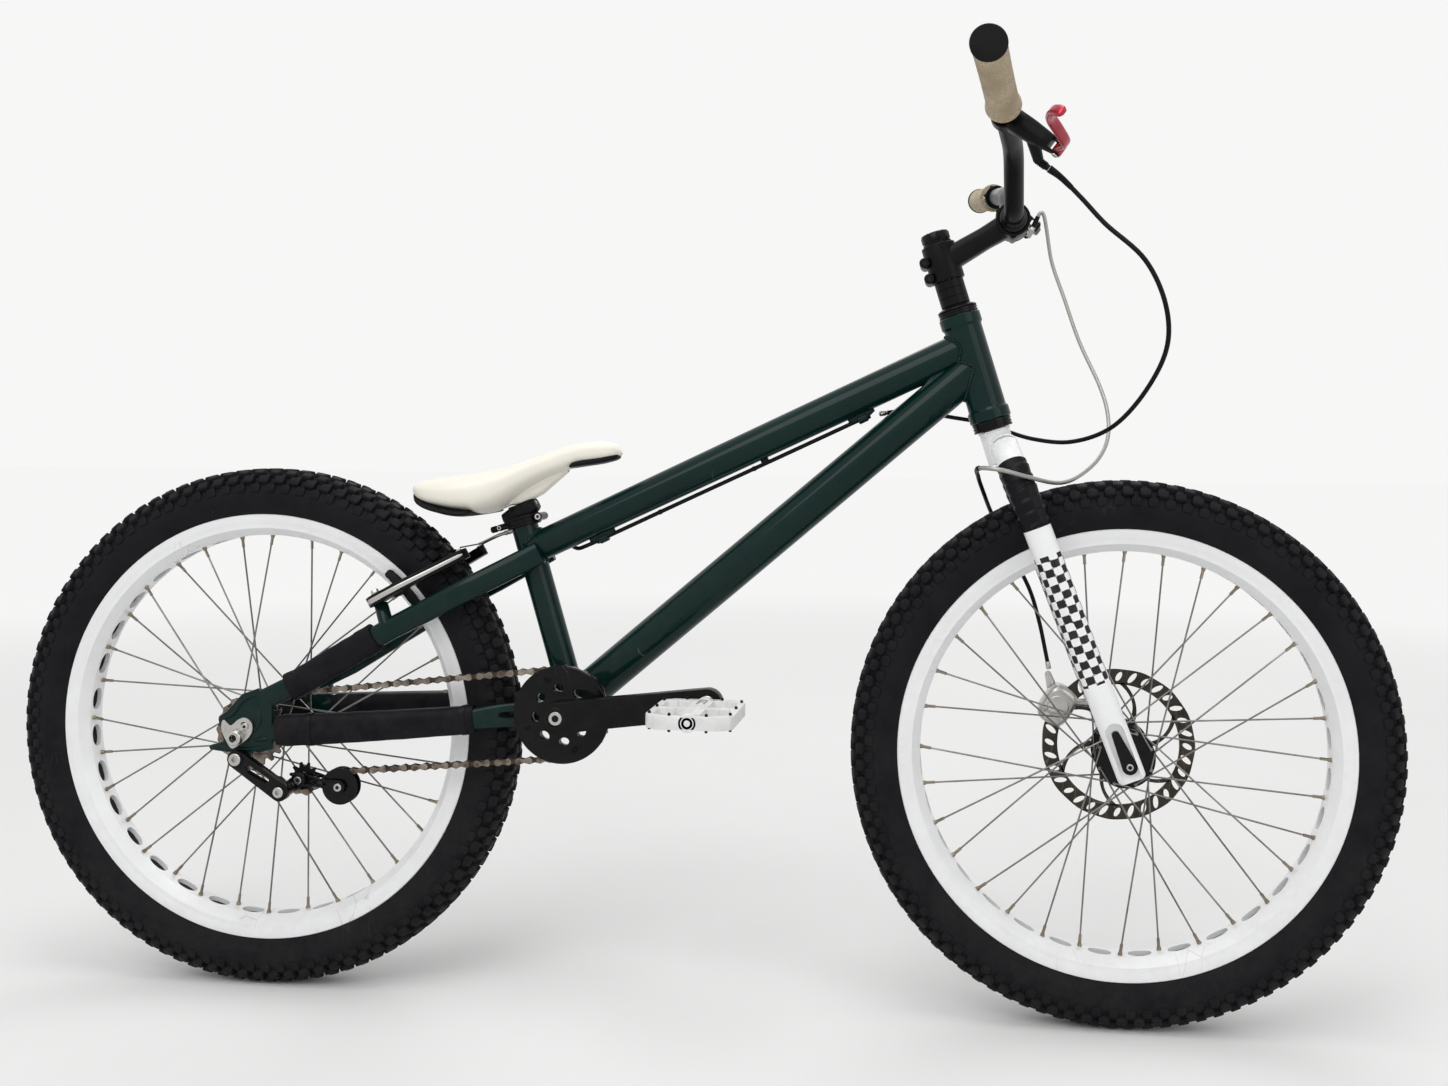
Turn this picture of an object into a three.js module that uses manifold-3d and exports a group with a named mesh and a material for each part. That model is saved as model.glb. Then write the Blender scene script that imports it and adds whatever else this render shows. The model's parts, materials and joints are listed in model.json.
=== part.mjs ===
import * as THREE from 'three';
import { mergeVertices } from 'three/addons/utils/BufferGeometryUtils.js';
import Module from 'manifold-3d';

// A trials bike in millimetres: X forward, Y to the rider's left, Z up. The origin lies on the ground
// midway between the two axles. The drive side is the right side, at negative Y.

const wasm = await Module();
wasm.setup();

// Whole bike
const wheelBase = 1036;
const rimRadius = 260;
const tyreHeight = 56; // above the rim
const tyreRadius = rimRadius + tyreHeight;
const seatGap = 0.3; // between two pieces that touch
const overrun = 4; // of a cut past the surface that it cuts

// Facets
const tyreSteps = 40;
const rimSteps = 32;
const roundSteps = 16;
const tubeSides = 12;
const staySides = 10;
const rodSteps = 10;
const pinSteps = 6;
const cordSides = 8;
const chainStations = 24; // round a whole turn of the chain

// Tyres
const tyreHalfWidth = 31;
const beadDepth = 10; // below the rim's edge
const beadRadius = rimRadius - beadDepth;
const beadWidth = 4;
const lugDepth = 4;
const edgeLugDrop = 7;
const edgeLugShare = 0.72; // of the tyre's half width
const centreLugShare = 0.3;
const tyreOutsideShares = [[0.5, 1], [0.77, 0.94]]; // of height above the rim, half width
const tyreInsideShares = [[0.45, 0.8]];

// Rims
const rimHalfWidth = 22;
const rimWall = 2.5;
const rimSideDepth = 17;
const rimDepth = 26;
const rimBedRadius = rimRadius - rimDepth;
const rimBedHalfWidth = 11;

// Spokes
const spokePairs = 8; // on each side of a wheel
const spokeSweep = 67.5; // degrees round the wheel from flange to rim
const spokeRadius = 1.3;
const spokeCircle = 31;
const spokeSink = 0.9; // of a spoke's start into its flange
const rimSpokeOffset = 5; // of a spoke's end from the wheel's middle

// Hubs
const axleRadius = 5;
const flangeRadius = 34;
const flangeWall = 3;
const hubWaistRadius = 13;
const hubEndRadius = 9;
const hubNeckRadius = 15;
const hubNeckLength = 5;
const frontHubHalfWidth = 50.7;
const frontFlangeRight = 32;
const frontFlangeLeft = 22;
const rotorSeatRadius = 22;
const rearHubHalfWidth = 67.2;
const rearFlangeRight = 26;
const rearFlangeLeft = 33;
const driverRadius = 17;
const driverInner = 33.5;
const driverLength = 26;

// Disc rotor
const rotorRadius = 90;
const rotorOffset = 40;
const rotorWall = 2;
const rotorBand = 19;
const rotorArms = 6;
const rotorArmWidth = 7;
const rotorArmSweep = 28; // degrees
const rotorCentreWidth = 9;

// Drivetrain
const chainOffset = 45;
const chainHalfWidth = 3.5;
const chainHalfHeight = 4.2;
const ringPitchRadius = 52.7;
const cogPitchRadius = 40.6;
const pulleyPitchRadius = 16.6;
const ringTeeth = 26;
const cogTeeth = 20;
const toothDepth = 4;
const toothWall = 2;
const bashRadius = 57.5;
const bashWall = 4;
const bashOffset = 50;
const ringHoles = 10;
const ringHoleCircle = 28;
const ringHoleLength = 11;
const ringHoleWidth = 7.5;
const ringBossRadius = 14;
const ringBoltRadius = 4;
const ringBoltCircle = 42;
const ringBolts = 5;

// Bottom bracket and cranks
const bracketGap = 68; // from the rear tyre to the bottom bracket
const bracketReach = tyreRadius + bracketGap;
const bracketRise = 33;
const bracketRadius = 20;
const bracketHalfWidth = 34;
const cupRadius = 21;
const cupWidth = 7;
const cartridgeRadius = 17;
const spindleRadius = 9;
const spindleHalfLength = 75;
const crankLength = 180;
const crankAngle = 7.5; // degrees above the horizontal, right crank forward
const crankEndRadius = 18;
const crankInner = 58;
const crankInnerAtPedal = 68.5;
const crankWallAtBracket = 18;
const crankWallAtPedal = 14;

// Pedals
const pedalHalfLength = 48;
const pedalHalfHeight = 8;
const pedalInner = 90;
const pedalOuter = 188;
const pedalSpindleRadius = 6;
const pedalSpindleEnd = 183;
const pedalBarrelRadius = 10;
const pedalRail = 9;
const pedalPinHeight = 2;
const pedalPinRadius = 2;
const pedalCornerCut = 14;

// Chain tensioner
const hangerReach = 1;
const hangerDrop = 25.5;
const hangerRadius = 10;
const linkReach = 55;
const linkDrop = 62;
const linkKnuckleRadius = 11;
const linkRailWidth = 5;
const guideReach = 65;
const guideDrop = 54;
const tensionReach = 112;
const tensionDrop = 62;
const linkInner = 76;
const linkWall = 9;
const carrierInner = 54.6;
const carrierWall = 5;
const cageInner = 36;
const cageOuter = 51;
const cageWall = 3;
const cageEndRadius = 8;
const cagePinRadius = 4;
const guardRadius = 22;
const guardWall = 1.6; // from the chain's face
const boltHead = 3;
const linkWindowShares = [0.3, 0.68];

// Dropouts and rear axle
const dropoutInner = 67.5;
const dropoutWall = 8;
const dropoutSpan = 40;
const dropoutShares = [
  [-0.67, 0.44], [-0.63, 0.57], [-0.4, 0.74], [0.06, 1.25], [0.28, 1.32], [0.57, 1.43], [1, 0.95],
  [1.02, -0.38], [0.62, -0.47], [0.3, -0.44], [-0.39, -0.5], [-0.92, -0.44], [-0.97, -0.32],
  [-0.45, -0.16],
];
const hangerShares = [[-0.2, -0.3], [-0.25, -0.72], [0.02, -0.9], [0.3, -0.72], [0.4, -0.3]];
const camWall = 4;
const camShares = [
  [-0.49, 0.41], [-0.41, 0.48], [-0.21, 0.33], [0.01, 0.5], [0.23, 0.57], [0.43, 0.43], [0.46, 0.19],
  [0.33, -0.03], [0.08, -0.22], [-0.17, -0.35], [-0.37, -0.09], [-0.49, 0.19],
];
const axleBoltRadius = 9;
const axleBoltLength = 10;

// Stays: rows of distance forward, distance out, height, half width, half height
const stayHalfWidth = 9;
const stayHalfHeight = 12;
const staySquareness = 0.8;
const chainstayShares = [
  [0.07, 1, 0.01, 0.44, 0.9], [0.13, 0.955, 0.018, 0.85, 1], [0.68, 0.68, 0.056, 1, 1],
  [0.78, 0.552, 0.068, 0.5, 1.15], [0.84, 0.517, 0.073, 0.42, 1.2], [0.97, 0.37, 0.081, 0.42, 1.1],
];
const yokeSlotShares = [0.79, 0.9, 0.35]; // two places along the stay, share of the half height
const seatstayShares = [
  [0.07, 1, 0.12, 0.44, 1], [0.2, 0.92, 0.185, 0.85, 1.05], [0.5, 0.77, 0.368, 0.9, 1.1],
  [0.777, 0.62, 0.516, 0.9, 1.17], [0.945, 0.36, 0.607, 0.8, 1.17], [1, 0.27, 0.637, 0.7, 1.15],
];
const bridgeShare = 0.84;
const bridgeRadius = 8;
const sleeveWallRear = 7;
const sleeveWallFront = 4.5;
const sleeveSideWall = 2.8;
const chainSleeveShares = [0.115, 0.72];
const seatSleeveWall = 4;
const seatSleeveShares = [0.17, 0.46];

// Seat tube, post and saddle
const seatTubeRadius = 16;
const seatTubeLength = 239;
const seatTubeLeanShare = 0.3; // rearward for each unit of height
const seatPostRadius = 13.5;
const seatPostDepth = 80;
const seatPostRise = 14;
const clampWall = 4.5;
const clampHeight = 13;
const clampBoltRadius = 5;
const clampBoltHalfLength = 13;
const clampTabLength = 42;
const clampTabWidth = 9;
const clampTabHeight = 8;
const saddleBehind = 131.3; // of its tail behind the seat tube's top
const saddleLength = 255;
const saddleHeight = 92;
const saddleHalfWidth = 62;
const saddleSquareness = 0.8;
const saddleShares = [
  [0, 0.37, 0.3, 0.3], [0.055, 0.45, 0.16, 0.68], [0.16, 0.51, 0.05, 0.93], [0.3, 0.55, 0, 1],
  [0.45, 0.62, 0.13, 0.82], [0.59, 0.78, 0.38, 0.56], [0.74, 0.93, 0.56, 0.41], [0.88, 1, 0.69, 0.33],
  [0.965, 0.96, 0.76, 0.24], [1, 0.87, 0.81, 0.1],
];
const postHeadLength = 46;
const postHeadWidth = 28;
const postHeadHeight = 20;
const postHeadSlant = 30; // degrees

// Main tubes
const topTubeJoint = 188; // height of its rear end above the bottom bracket
const stayTopAhead = 17; // of the seat tube's middle
const [stayTopShare, , stayTopRise] = seatstayShares[seatstayShares.length - 1];
const stayTopReach = (bracketReach + seatTubeLeanShare * bracketRise + stayTopAhead)
  / (stayTopShare + seatTubeLeanShare * stayTopRise);
const topTubeRearRadius = 18.5;
const topTubeFrontRadius = 20;
const forkGap = 97; // from the front tyre's top to the head tube, along the steering axis
const headBottom = tyreRadius + forkGap;
const headLength = 128;
const headTop = headBottom + headLength;
const topTubeSet = 91; // of the top tube's axis above the head tube's foot
const topTubeHead = headBottom + topTubeSet;
const downTubeSet = 65;
const downTubeHead = headBottom + downTubeSet;
const downTubeRadius = 23.2;
const downTubeFrontRadius = 22.4;
const downTubeStart = 8; // along its axis from the bottom bracket
const downTubeLift = 4.5; // of its axis above the bottom bracket
const gussetWall = 26;
const gussetShares = [[0.86, -0.5], [0.915, -0.98], [0.99, -1.5], [1, 0.4], [0.88, 0.4]];
const stopRadius = 6.5;
const stopLength = 12;

// Steering
const steerTilt = 17.5; // degrees
const forkRake = 33;
const headRadius = 22.5;
const headCollarRadius = 24.6;
const headCollarLength = 13;
const headBoreRadius = 17.3;
const cupDepth = 10;
const lowerCupHeight = 11.5;
const lowerCupRadius = 23.3;
const upperCupHeight = 7;
const upperCupRadius = 23.5;
const coverHeight = 5;
const spacerRadius = 17.3;
const stackHeight = 43; // of the headset and spacers above the head tube
const spacerTop = headTop + stackHeight;
const steererRadius = 14.3;
const crownRadius = 18;
const crownHeight = 40;
const legStandOff = 64;
const legHalfLength = 16;
const legHalfWidth = 13;
const legTip = 17; // below the axle
const legLeanShare = 0.39; // rearward for each unit of height
const legAxleOffset = 2; // of the leg's middle behind the axle
const legTopDrop = 151; // of the straight part's top below the head tube
const legStraight = headBottom - legTopDrop;
const legBendHeight = 92;
const legBendTurn = 76; // degrees
const legBendSteps = 5;
const legSquareness = 0.85;
const pocketDepth = 7;
const pocketWidth = 21;
const leverLength = 38;
const leverTipRadius = 4.5;
const pocketTop = 52;
const leverWall = 5;
const axleCapRadius = 8.5;
const axleCapLength = 5;

// Stem and bars
const stemRadius = 20;
const stemHeight = 44;
const stemBoltRadius = 6;
const stemBoltHalfLength = 17;
const stemBoltSetBack = 21;
const stemBoltShares = [0.16, 0.6]; // of the stem's height
const capRadius = 17;
const capHeight = 15;
const barAhead = 91.4; // of the steering axis
const barLift = 43.5; // above the stem's foot, along that axis
const barClampRadius = 20;
const barClampHalfWidth = 23;
const armHalfWidth = 17;
const armHalfHeight = 14;
const barRadius = 11.1;
const barBulgeRadius = 15.9;
const barBulgeHalfLength = 27;
const barTaper = 22;
const barCentreHalf = 42;
const barRiseEnd = 125;
const barRiseBack = 4;
const barRiseHeight = 56;
const barEnd = 365;
const barEndBack = 35;
const barEndHeight = 95;
const barBend = 24;
const gripRadius = 16.5;
const gripInner = 235;
const plugRadius = 17.5;
const plugWall = 3.5;
const gripLip = 2;

// Hand levers
const leverClamp = 213;
const leverClampWidth = 13;
const leverClampRadius = 15.5;
const leverDrop = 36; // degrees below the horizontal
const leverReach = 66;
const leverBodyShares = [[0.14, 1.05, 1.2], [0.5, 0.9, 1.1], [0.88, 0.8, 0.8], [1.06, 0.5, 0.6]];
const leverBodyHalf = 10;
const leverForkGap = 12;
const barrelLength = 15;
const bladePinRadius = 3;
const bladeLength = 104;
const bladeHalfWidth = 6;
const bladeHalfWall = 3.2;
const bladeEyeRadius = 5.5;
const pinShare = 0.85; // of the body's half height
const bladeShares = [
  [0, 0, 0.9], [0.12, 0.03, 1.1], [0.26, 0.09, 1.1], [0.45, 0.04, 1.05], [0.66, -0.04, 1.1],
  [0.86, -0.02, 1.1], [0.95, 0.05, 1.05], [1, 0.12, 0.8],
];
const barrelRadius = 4.6;

// Rim brake
const brakeInset = 33; // of the arms' pivots inside the rim
const brakeSweep = 45.9; // degrees of the pivots above the horizontal through the axle
const brakeStayShare = 0.5; // place of their bosses along the seatstays
const brakeSlope = 29; // degrees of the arms at rest above the horizontal
const brakePostDepth = 30;
const brakeStandOff = 50;
const brakePostRadius = 4.5;
const brakeBaseRadius = 8;
const brakeArmLength = 112;
const brakeArmShares = [
  [-0.09, 0.08], [0.02, 0.15], [0.3, 0.13], [0.62, 0.02], [1, -0.1], [1.03, -0.18], [0.98, -0.22],
  [0.6, -0.11], [0.3, 0], [0.05, -0.07], [-0.07, -0.05],
];
const brakeArmWall = 12;
const padReach = 25;
const padHalfLength = 28;
const padHalfHeight = 6;
const padWall = 9;
const padGap = 1.8;
const padPostRadius = 4;
const wireRadius = 1;
const noodleSeatOut = 34;
const noodleLead = 12;
const noodleTip = 4;

// Disc brake
const caliperBack = 72;
const caliperRise = 45;
const caliperHalfLength = 19;
const caliperHalfHeight = 24;
const caliperInner = 29;
const caliperOuter = 57;
const caliperSlot = 3.4;
const bracketWall = 6;
const caliperArmLength = 33;
const caliperArmBack = 10;
const caliperArmWall = 4;
const caliperArmRadius = 9;
const caliperPinRadius = 4;

// Cables: the routes' points are measured from the rear axle
const cordRadius = 2.5;
const frontCordRoute = [
  [936, 192, 643], [947, 190, 662], [961, 195, 597], [977, 185, 548], [995, 165, 491], [1019, 130, 430],
  [1026, 110, 400], [1025, 85, 368], [1012, 55, 342], [987, 20, 321], [960, -20, 312], [921, -70, 319],
  [889, -87, 327], [866, -72, 328], [866, -40, 318], [873, -8, 298], [884, 34, 271], [906, 60, 227],
  [931, 64, 179], [943, 64, 140], [950, 63, 108], [955, 62, 84],
];
const rearLoopRoute = [
  [933, -190, 637], [944, -189, 629], [965, -196, 606], [988, -206, 578], [1026, -222, 539],
  [1045, -226, 498], [1051, -212, 460], [1040, -165, 418], [1008, -95, 374], [969, -50, 359],
  [930, -10, 362], [898, 26, 372], [868, 36, 382], [832, 35, 388], [795, 31, 394], [765, 14, 393],
  [750, 3, 390],
];
const rearCordRoute = [
  [735, 0, 387], [640, 0, 342], [520, 0, 285.5], [430, 0, 243], [412, 0, 234.6], [396, 0, 227.4],
  [384, 7, 223.5], [371, 19, 226.5], [357, 27, 236], [340, 28, 242], [318, 28, 246],
  [300, 28, 244], [288, 28, 240],
];
const rearStop = 4; // the place in that list where the cable enters its lower stop
const upperStopShare = 0.755; // of the top tube's length
const lowerStopShare = 0.141;
const stopStandOff = 5.3; // of a stop's axis below the top tube
const noodleReach = 39; // of the cable's end past the left arm's tip
const noodleRise = 4.3;
const noodleOut = 28;
const cordInsetRight = 36.1; // of a cable's start from its lever clamp, toward the stem
const cordInsetLeft = 33.6;
const cordAheadRight = 59.8;
const cordAheadLeft = 59.1;
const cordBelowRight = 11.9;
const cordBelowLeft = 5.4;
const cordPastArm = 6; // of the front cable's end above the caliper arm's tip
const cordOutsideArm = 4.7;
const cordBeforeArm = 1;

// Directions and places
const point = (x, y, z) => new THREE.Vector3(x, y, z);
const forward = point(1, 0, 0);
const left = point(0, 1, 0);
const upward = point(0, 0, 1);
const wholeTurn = 2 * Math.PI;
const radians = THREE.MathUtils.degToRad;
const along = (start, direction, length) => start.clone().addScaledVector(direction, length);
const middle = (a, b) => a.clone().add(b).divideScalar(2);
const rearAxle = point(-wheelBase / 2, 0, tyreRadius);
const frontAxle = point(wheelBase / 2, 0, tyreRadius);
const fromRear = (x, y, z) => rearAxle.clone().add(point(x, y, z));
const bracket = fromRear(bracketReach, 0, bracketRise);
const steerUp = point(-Math.sin(radians(steerTilt)), 0, Math.cos(radians(steerTilt)));
const steerForward = point(Math.cos(radians(steerTilt)), 0, Math.sin(radians(steerTilt)));
const steerBase = along(frontAxle, steerForward, -forkRake);
const onSteer = height => along(steerBase, steerUp, height);
const seatUp = point(-seatTubeLeanShare, 0, 1).normalize();
const crankForward = point(Math.cos(radians(crankAngle)), 0, Math.sin(radians(crankAngle)));

// A closed geometry becomes a solid whose faces point outward.
function solid(geometry) {
  geometry.deleteAttribute('normal');
  geometry.deleteAttribute('uv');
  const merged = mergeVertices(geometry);
  const places = merged.attributes.position;
  const corners = merged.index.array;
  const kept = [];
  let volume = 0;
  for (let k = 0; k < corners.length; k += 3) {
    const [a, b, c] = corners.slice(k, k + 3);
    if (a !== b && b !== c && c !== a) {
      kept.push([a, b, c]);
      const [p, q, r] = [a, b, c].map(corner => new THREE.Vector3().fromBufferAttribute(places, corner));
      volume += p.dot(q.cross(r));
    }
  }
  const faces = volume < 0 ? kept.map(([a, b, c]) => [a, c, b]) : kept;
  const vertProperties = Float32Array.from(places.array);
  return new wasm.Manifold(new wasm.Mesh({ numProp: 3, vertProperties,
    triVerts: Uint32Array.from(faces.flat()) }));
}

const joined = (...pieces) => pieces.reduce((whole, piece) => whole.add(piece));
const cut = (whole, ...tools) => tools.reduce((rest, tool) => rest.subtract(tool), whole);

// Turns a geometry made about Y to the given axis and moves it to the given centre.
function aimed(geometry, centre, axis) {
  geometry.applyQuaternion(new THREE.Quaternion().setFromUnitVectors(left, axis));
  return geometry.translate(centre.x, centre.y, centre.z);
}

// A straight rod or cone between two points.
function rod(from, to, radius, steps = rodSteps, endRadius = radius) {
  const span = to.clone().sub(from);
  const geometry = new THREE.CylinderGeometry(endRadius, radius, span.length(), steps);
  return solid(aimed(geometry, middle(from, to), span.normalize()));
}

// A solid of revolution: the profile's points are [radius, distance along the axis].
function turned(profile, centre, axis, steps = roundSteps) {
  const outline = [...profile, profile[0]].map(
    ([radius, distance]) => new THREE.Vector2(radius, distance));
  return solid(aimed(new THREE.LatheGeometry(outline, steps), centre, axis));
}

// A flat plate: the outline lies on the across and rising directions and grows along their normal.
function plate(outline, origin, across, rising, wall, holes = []) {
  const flat = list => list.map(([a, b]) => new THREE.Vector2(a, b));
  const shape = new THREE.Shape(flat(outline));
  shape.holes = holes.map(hole => new THREE.Path(flat(hole)));
  const geometry = new THREE.ExtrudeGeometry(shape, { depth: wall, bevelEnabled: false });
  const outward = across.clone().cross(rising);
  geometry.applyMatrix4(new THREE.Matrix4().makeBasis(across, rising, outward).setPosition(origin));
  return solid(geometry);
}

// A plate in the bike's side plane, from low to high in Y.
const sidePlate = (outline, centre, low, high, holes) =>
  plate(outline, point(centre.x, high, centre.z), forward, upward, high - low, holes);

function block(centre, length, width, height, across = forward, rising = upward) {
  const geometry = new THREE.BoxGeometry(length, height, width);
  const outward = across.clone().cross(rising);
  geometry.applyMatrix4(new THREE.Matrix4().makeBasis(across, rising, outward).setPosition(centre));
  return solid(geometry);
}

function disc(radius, centre = [0, 0], steps = roundSteps, stretch = radius) {
  return Array.from({ length: steps }, (_, k) => {
    const turn = wholeTurn * k / steps;
    return [centre[0] + radius * Math.cos(turn), centre[1] + stretch * Math.sin(turn)];
  });
}

// The outline round two circles, from one centre to the other.
function strap(a, b, radiusA, radiusB, steps = rodSteps) {
  const lean = Math.atan2(b[1] - a[1], b[0] - a[0]);
  const spread = Math.acos((radiusA - radiusB) / Math.hypot(b[0] - a[0], b[1] - a[1]));
  const arc = (centre, radius, from, to) => Array.from({ length: steps / 2 + 1 }, (_, k) => {
    const turn = from + (to - from) * k / (steps / 2);
    return [centre[0] + radius * Math.cos(turn), centre[1] + radius * Math.sin(turn)];
  });
  return [
    ...arc(a, radiusA, lean + spread, lean + wholeTurn - spread), ...arc(b, radiusB, lean - spread,
      lean + spread),
  ];
}

// A solid through rings of points, closed by flat ends or closed on itself.
function loft(rings, endless = false) {
  const count = rings[0].length;
  const faces = [];
  for (let k = 0; k < rings.length - (endless ? 0 : 1); k += 1) {
    const here = k * count;
    const next = ((k + 1) % rings.length) * count;
    for (let i = 0; i < count; i += 1) {
      const j = (i + 1) % count;
      faces.push(here + i, here + j, next + j, here + i, next + j, next + i);
    }
  }
  const last = (rings.length - 1) * count;
  for (let i = 1; i < count - 1 && !endless; i += 1) {
    faces.push(0, i + 1, i, last, last + i, last + i + 1);
  }
  const geometry = new THREE.BufferGeometry().setFromPoints(rings.flat());
  geometry.setIndex(faces);
  return solid(geometry);
}

// An oval ring of points; a squareness below 1 fills out its corners.
function oval(centre, sideways, rising, halfWidth, halfHeight, sides = tubeSides, squareness = 1) {
  return Array.from({ length: sides }, (_, k) => {
    const turn = wholeTurn * (k + 1 / 2) / sides;
    const reach = value => Math.sign(value) * Math.abs(value) ** squareness;
    return along(along(centre, sideways, halfWidth * reach(Math.cos(turn))), rising,
      halfHeight * reach(Math.sin(turn)));
  });
}

// A route that steps from station to station, so that bends can have more of them than straights.
class Route extends THREE.Curve {
  constructor(stations) {
    super();
    this.stations = stations;
  }

  getPointAt(share) {
    return this.stations[Math.round(share * (this.stations.length - 1))].clone();
  }

  getTangentAt(share) {
    const place = Math.round(share * (this.stations.length - 1));
    const ahead = this.stations[Math.min(place + 1, this.stations.length - 1)];
    const behind = this.stations[Math.max(place - 1, 0)];
    return ahead.clone().sub(behind).normalize();
  }
}

// A round tube through stations.
function tube(stations, radius, sides = tubeSides) {
  const shape = new THREE.Shape(disc(radius, [0, 0], sides).map(([a, b]) => new THREE.Vector2(a, b)));
  const path = { steps: stations.length - 1, extrudePath: new Route(stations), bevelEnabled: false };
  return solid(new THREE.ExtrudeGeometry(shape, path));
}

// Stations along straight runs whose corners are rounded over the given length.
function bent(corners, round, steps = 4) {
  const stations = [corners[0]];
  for (let k = 1; k < corners.length - 1; k += 1) {
    const before = corners[k - 1].clone().sub(corners[k]).normalize();
    const after = corners[k + 1].clone().sub(corners[k]).normalize();
    const bend = new THREE.QuadraticBezierCurve3(
      along(corners[k], before, round), corners[k], along(corners[k], after, round));
    stations.push(...bend.getPoints(steps));
  }
  return [...stations, corners[corners.length - 1]];
}

// A cable's route, moved so that its anchors meet the pieces that they belong to. Each anchor is a
// place in the list and where that place lies.
function fitted(route, anchors) {
  const drawn = route.map(([x, y, z]) => fromRear(x, y, z));
  const moves = anchors.map(([at, place]) => [at, place.clone().sub(drawn[at])]);
  return drawn.map((place, k) => {
    const next = Math.max(1, moves.findIndex(([at]) => at >= k));
    const [[from, first], [to, last]] = [moves[next - 1], moves[next]];
    const share = Math.min(1, drawn[from].distanceTo(place) / drawn[from].distanceTo(drawn[to]));
    return place.clone().add(first.clone().lerp(last, share));
  });
}

function cord(route, steps) {
  const curve = new THREE.CatmullRomCurve3(route, false, 'centripetal');
  return tube(curve.getSpacedPoints(steps), cordRadius, cordSides);
}

// Looks
const looks = {
  greenPaint: { color: 0x0c2f26, roughness: 0.25, metalness: 0.3 },
  blackMetal: { color: 0x15161a, roughness: 0.4, metalness: 0.4 },
  whitePaint: { color: 0xeeeeec, roughness: 0.35, metalness: 0 },
  silver: { color: 0xc3c4c4, roughness: 0.3, metalness: 1 },
  chainSteel: { color: 0x8c7b66, roughness: 0.45, metalness: 0.9 },
  tyreRubber: { color: 0x1b1b1c, roughness: 0.85, metalness: 0 },
  sleeveRubber: { color: 0x17181b, roughness: 0.8, metalness: 0 },
  creamGrip: { color: 0xcfc3a2, roughness: 0.9, metalness: 0 },
  saddleCover: { color: 0xe9e6dc, roughness: 0.6, metalness: 0 },
  redMetal: { color: 0xa01226, roughness: 0.3, metalness: 0.6 },
  blackCord: { color: 0x121214, roughness: 0.5, metalness: 0 },
  greyCord: { color: 0x8f8f8c, roughness: 0.5, metalness: 0.2 },
};

const bike = new THREE.Group();
bike.name = 'trials_bike';

// Adds a solid to a group as a mesh that is placed at its own pivot.
function add(group, name, shape, look, pivot = point(0, 0, 0)) {
  const { vertProperties, triVerts } = shape.getMesh();
  const geometry = new THREE.BufferGeometry();
  geometry.setAttribute('position', new THREE.BufferAttribute(vertProperties, 3));
  geometry.setIndex(new THREE.BufferAttribute(triVerts, 1));
  geometry.translate(-pivot.x, -pivot.y, -pivot.z);
  geometry.computeVertexNormals();
  const mesh = new THREE.Mesh(geometry, new THREE.MeshStandardMaterial({ ...looks[look] }));
  mesh.name = name;
  mesh.position.copy(pivot);
  group.add(mesh);
}

const sides = [['right', -1], ['left', 1]];
const chainTurn = wholeTurn / chainStations;

// Wheels

function tyre(axle) {
  const height = tyreRadius - rimRadius;
  const beadHalfWidth = rimHalfWidth - rimWall - seatGap;
  const placed = shares => shares.map(([rise, width]) => [rimRadius + rise * height,
    width * tyreHalfWidth]);
  const section = high => {
    const outside = [
      [beadRadius, beadHalfWidth - beadWidth],
      [beadRadius, beadHalfWidth],
      [rimRadius + seatGap, beadHalfWidth],
      ...placed(tyreOutsideShares),
      [tyreRadius - edgeLugDrop - (high ? lugDepth : 0), edgeLugShare * tyreHalfWidth],
      [tyreRadius - (high ? 0 : lugDepth), centreLugShare * tyreHalfWidth],
    ];
    const inside = placed(tyreInsideShares);
    const mirrored = list => list.map(([radius, width]) => [radius, -width]);
    return [...mirrored(outside), ...outside.reverse(), ...inside, ...mirrored(inside).reverse()];
  };
  const rings = Array.from({ length: tyreSteps }, (_, k) => {
    const turn = wholeTurn * (k / tyreSteps - 1 / 4);
    const outward = point(Math.cos(turn), 0, Math.sin(turn));
    return section(k % 2 === 0).map(([radius, side]) => along(along(axle, outward, radius), left, side));
  });
  return loft(rings, true);
}

function rim(axle) {
  const outside = [
    [rimRadius, rimHalfWidth], [rimRadius - rimSideDepth, rimHalfWidth], [rimBedRadius, rimBedHalfWidth],
  ];
  const inside = [
    [rimBedRadius + rimWall, rimBedHalfWidth - rimWall / 2],
    [rimRadius - rimSideDepth + rimWall / 2, rimHalfWidth - rimWall], [rimRadius, rimHalfWidth - rimWall],
  ];
  const half = [...outside, ...inside];
  const mirrored = half.map(([radius, side]) => [radius, -side]);
  const loop = [...outside, ...mirrored.slice(0, 3).reverse(), ...mirrored.slice(3).reverse(), ...inside];
  return turned(loop, axle, left, rimSteps);
}

// Leading spokes leave the outer face of a flange and trailing ones its inner face, so they pass clear.
function spokes(axle, side, flange, start) {
  const spokeEnd = rimBedRadius - seatGap - spokeRadius / 4;
  const ringPlace = (degrees, radius, offset) => {
    const turn = radians(degrees);
    return along(axle, point(Math.cos(turn), 0, Math.sin(turn)), radius).add(point(0, side * offset, 0));
  };
  const pieces = [];
  for (let k = 0; k < 2 * spokePairs; k += 1) {
    const leading = k % 2 === 0 ? 1 : -1;
    const hubAngle = start + 360 * k / (2 * spokePairs);
    const standOff = flangeWall / 2 + spokeRadius - spokeSink;
    const inner = ringPlace(hubAngle, spokeCircle, flange + leading * standOff);
    const outer = ringPlace(hubAngle + leading * spokeSweep, spokeEnd, rimSpokeOffset);
    pieces.push(rod(inner, outer, spokeRadius, 3));
  }
  return joined(...pieces);
}

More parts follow.
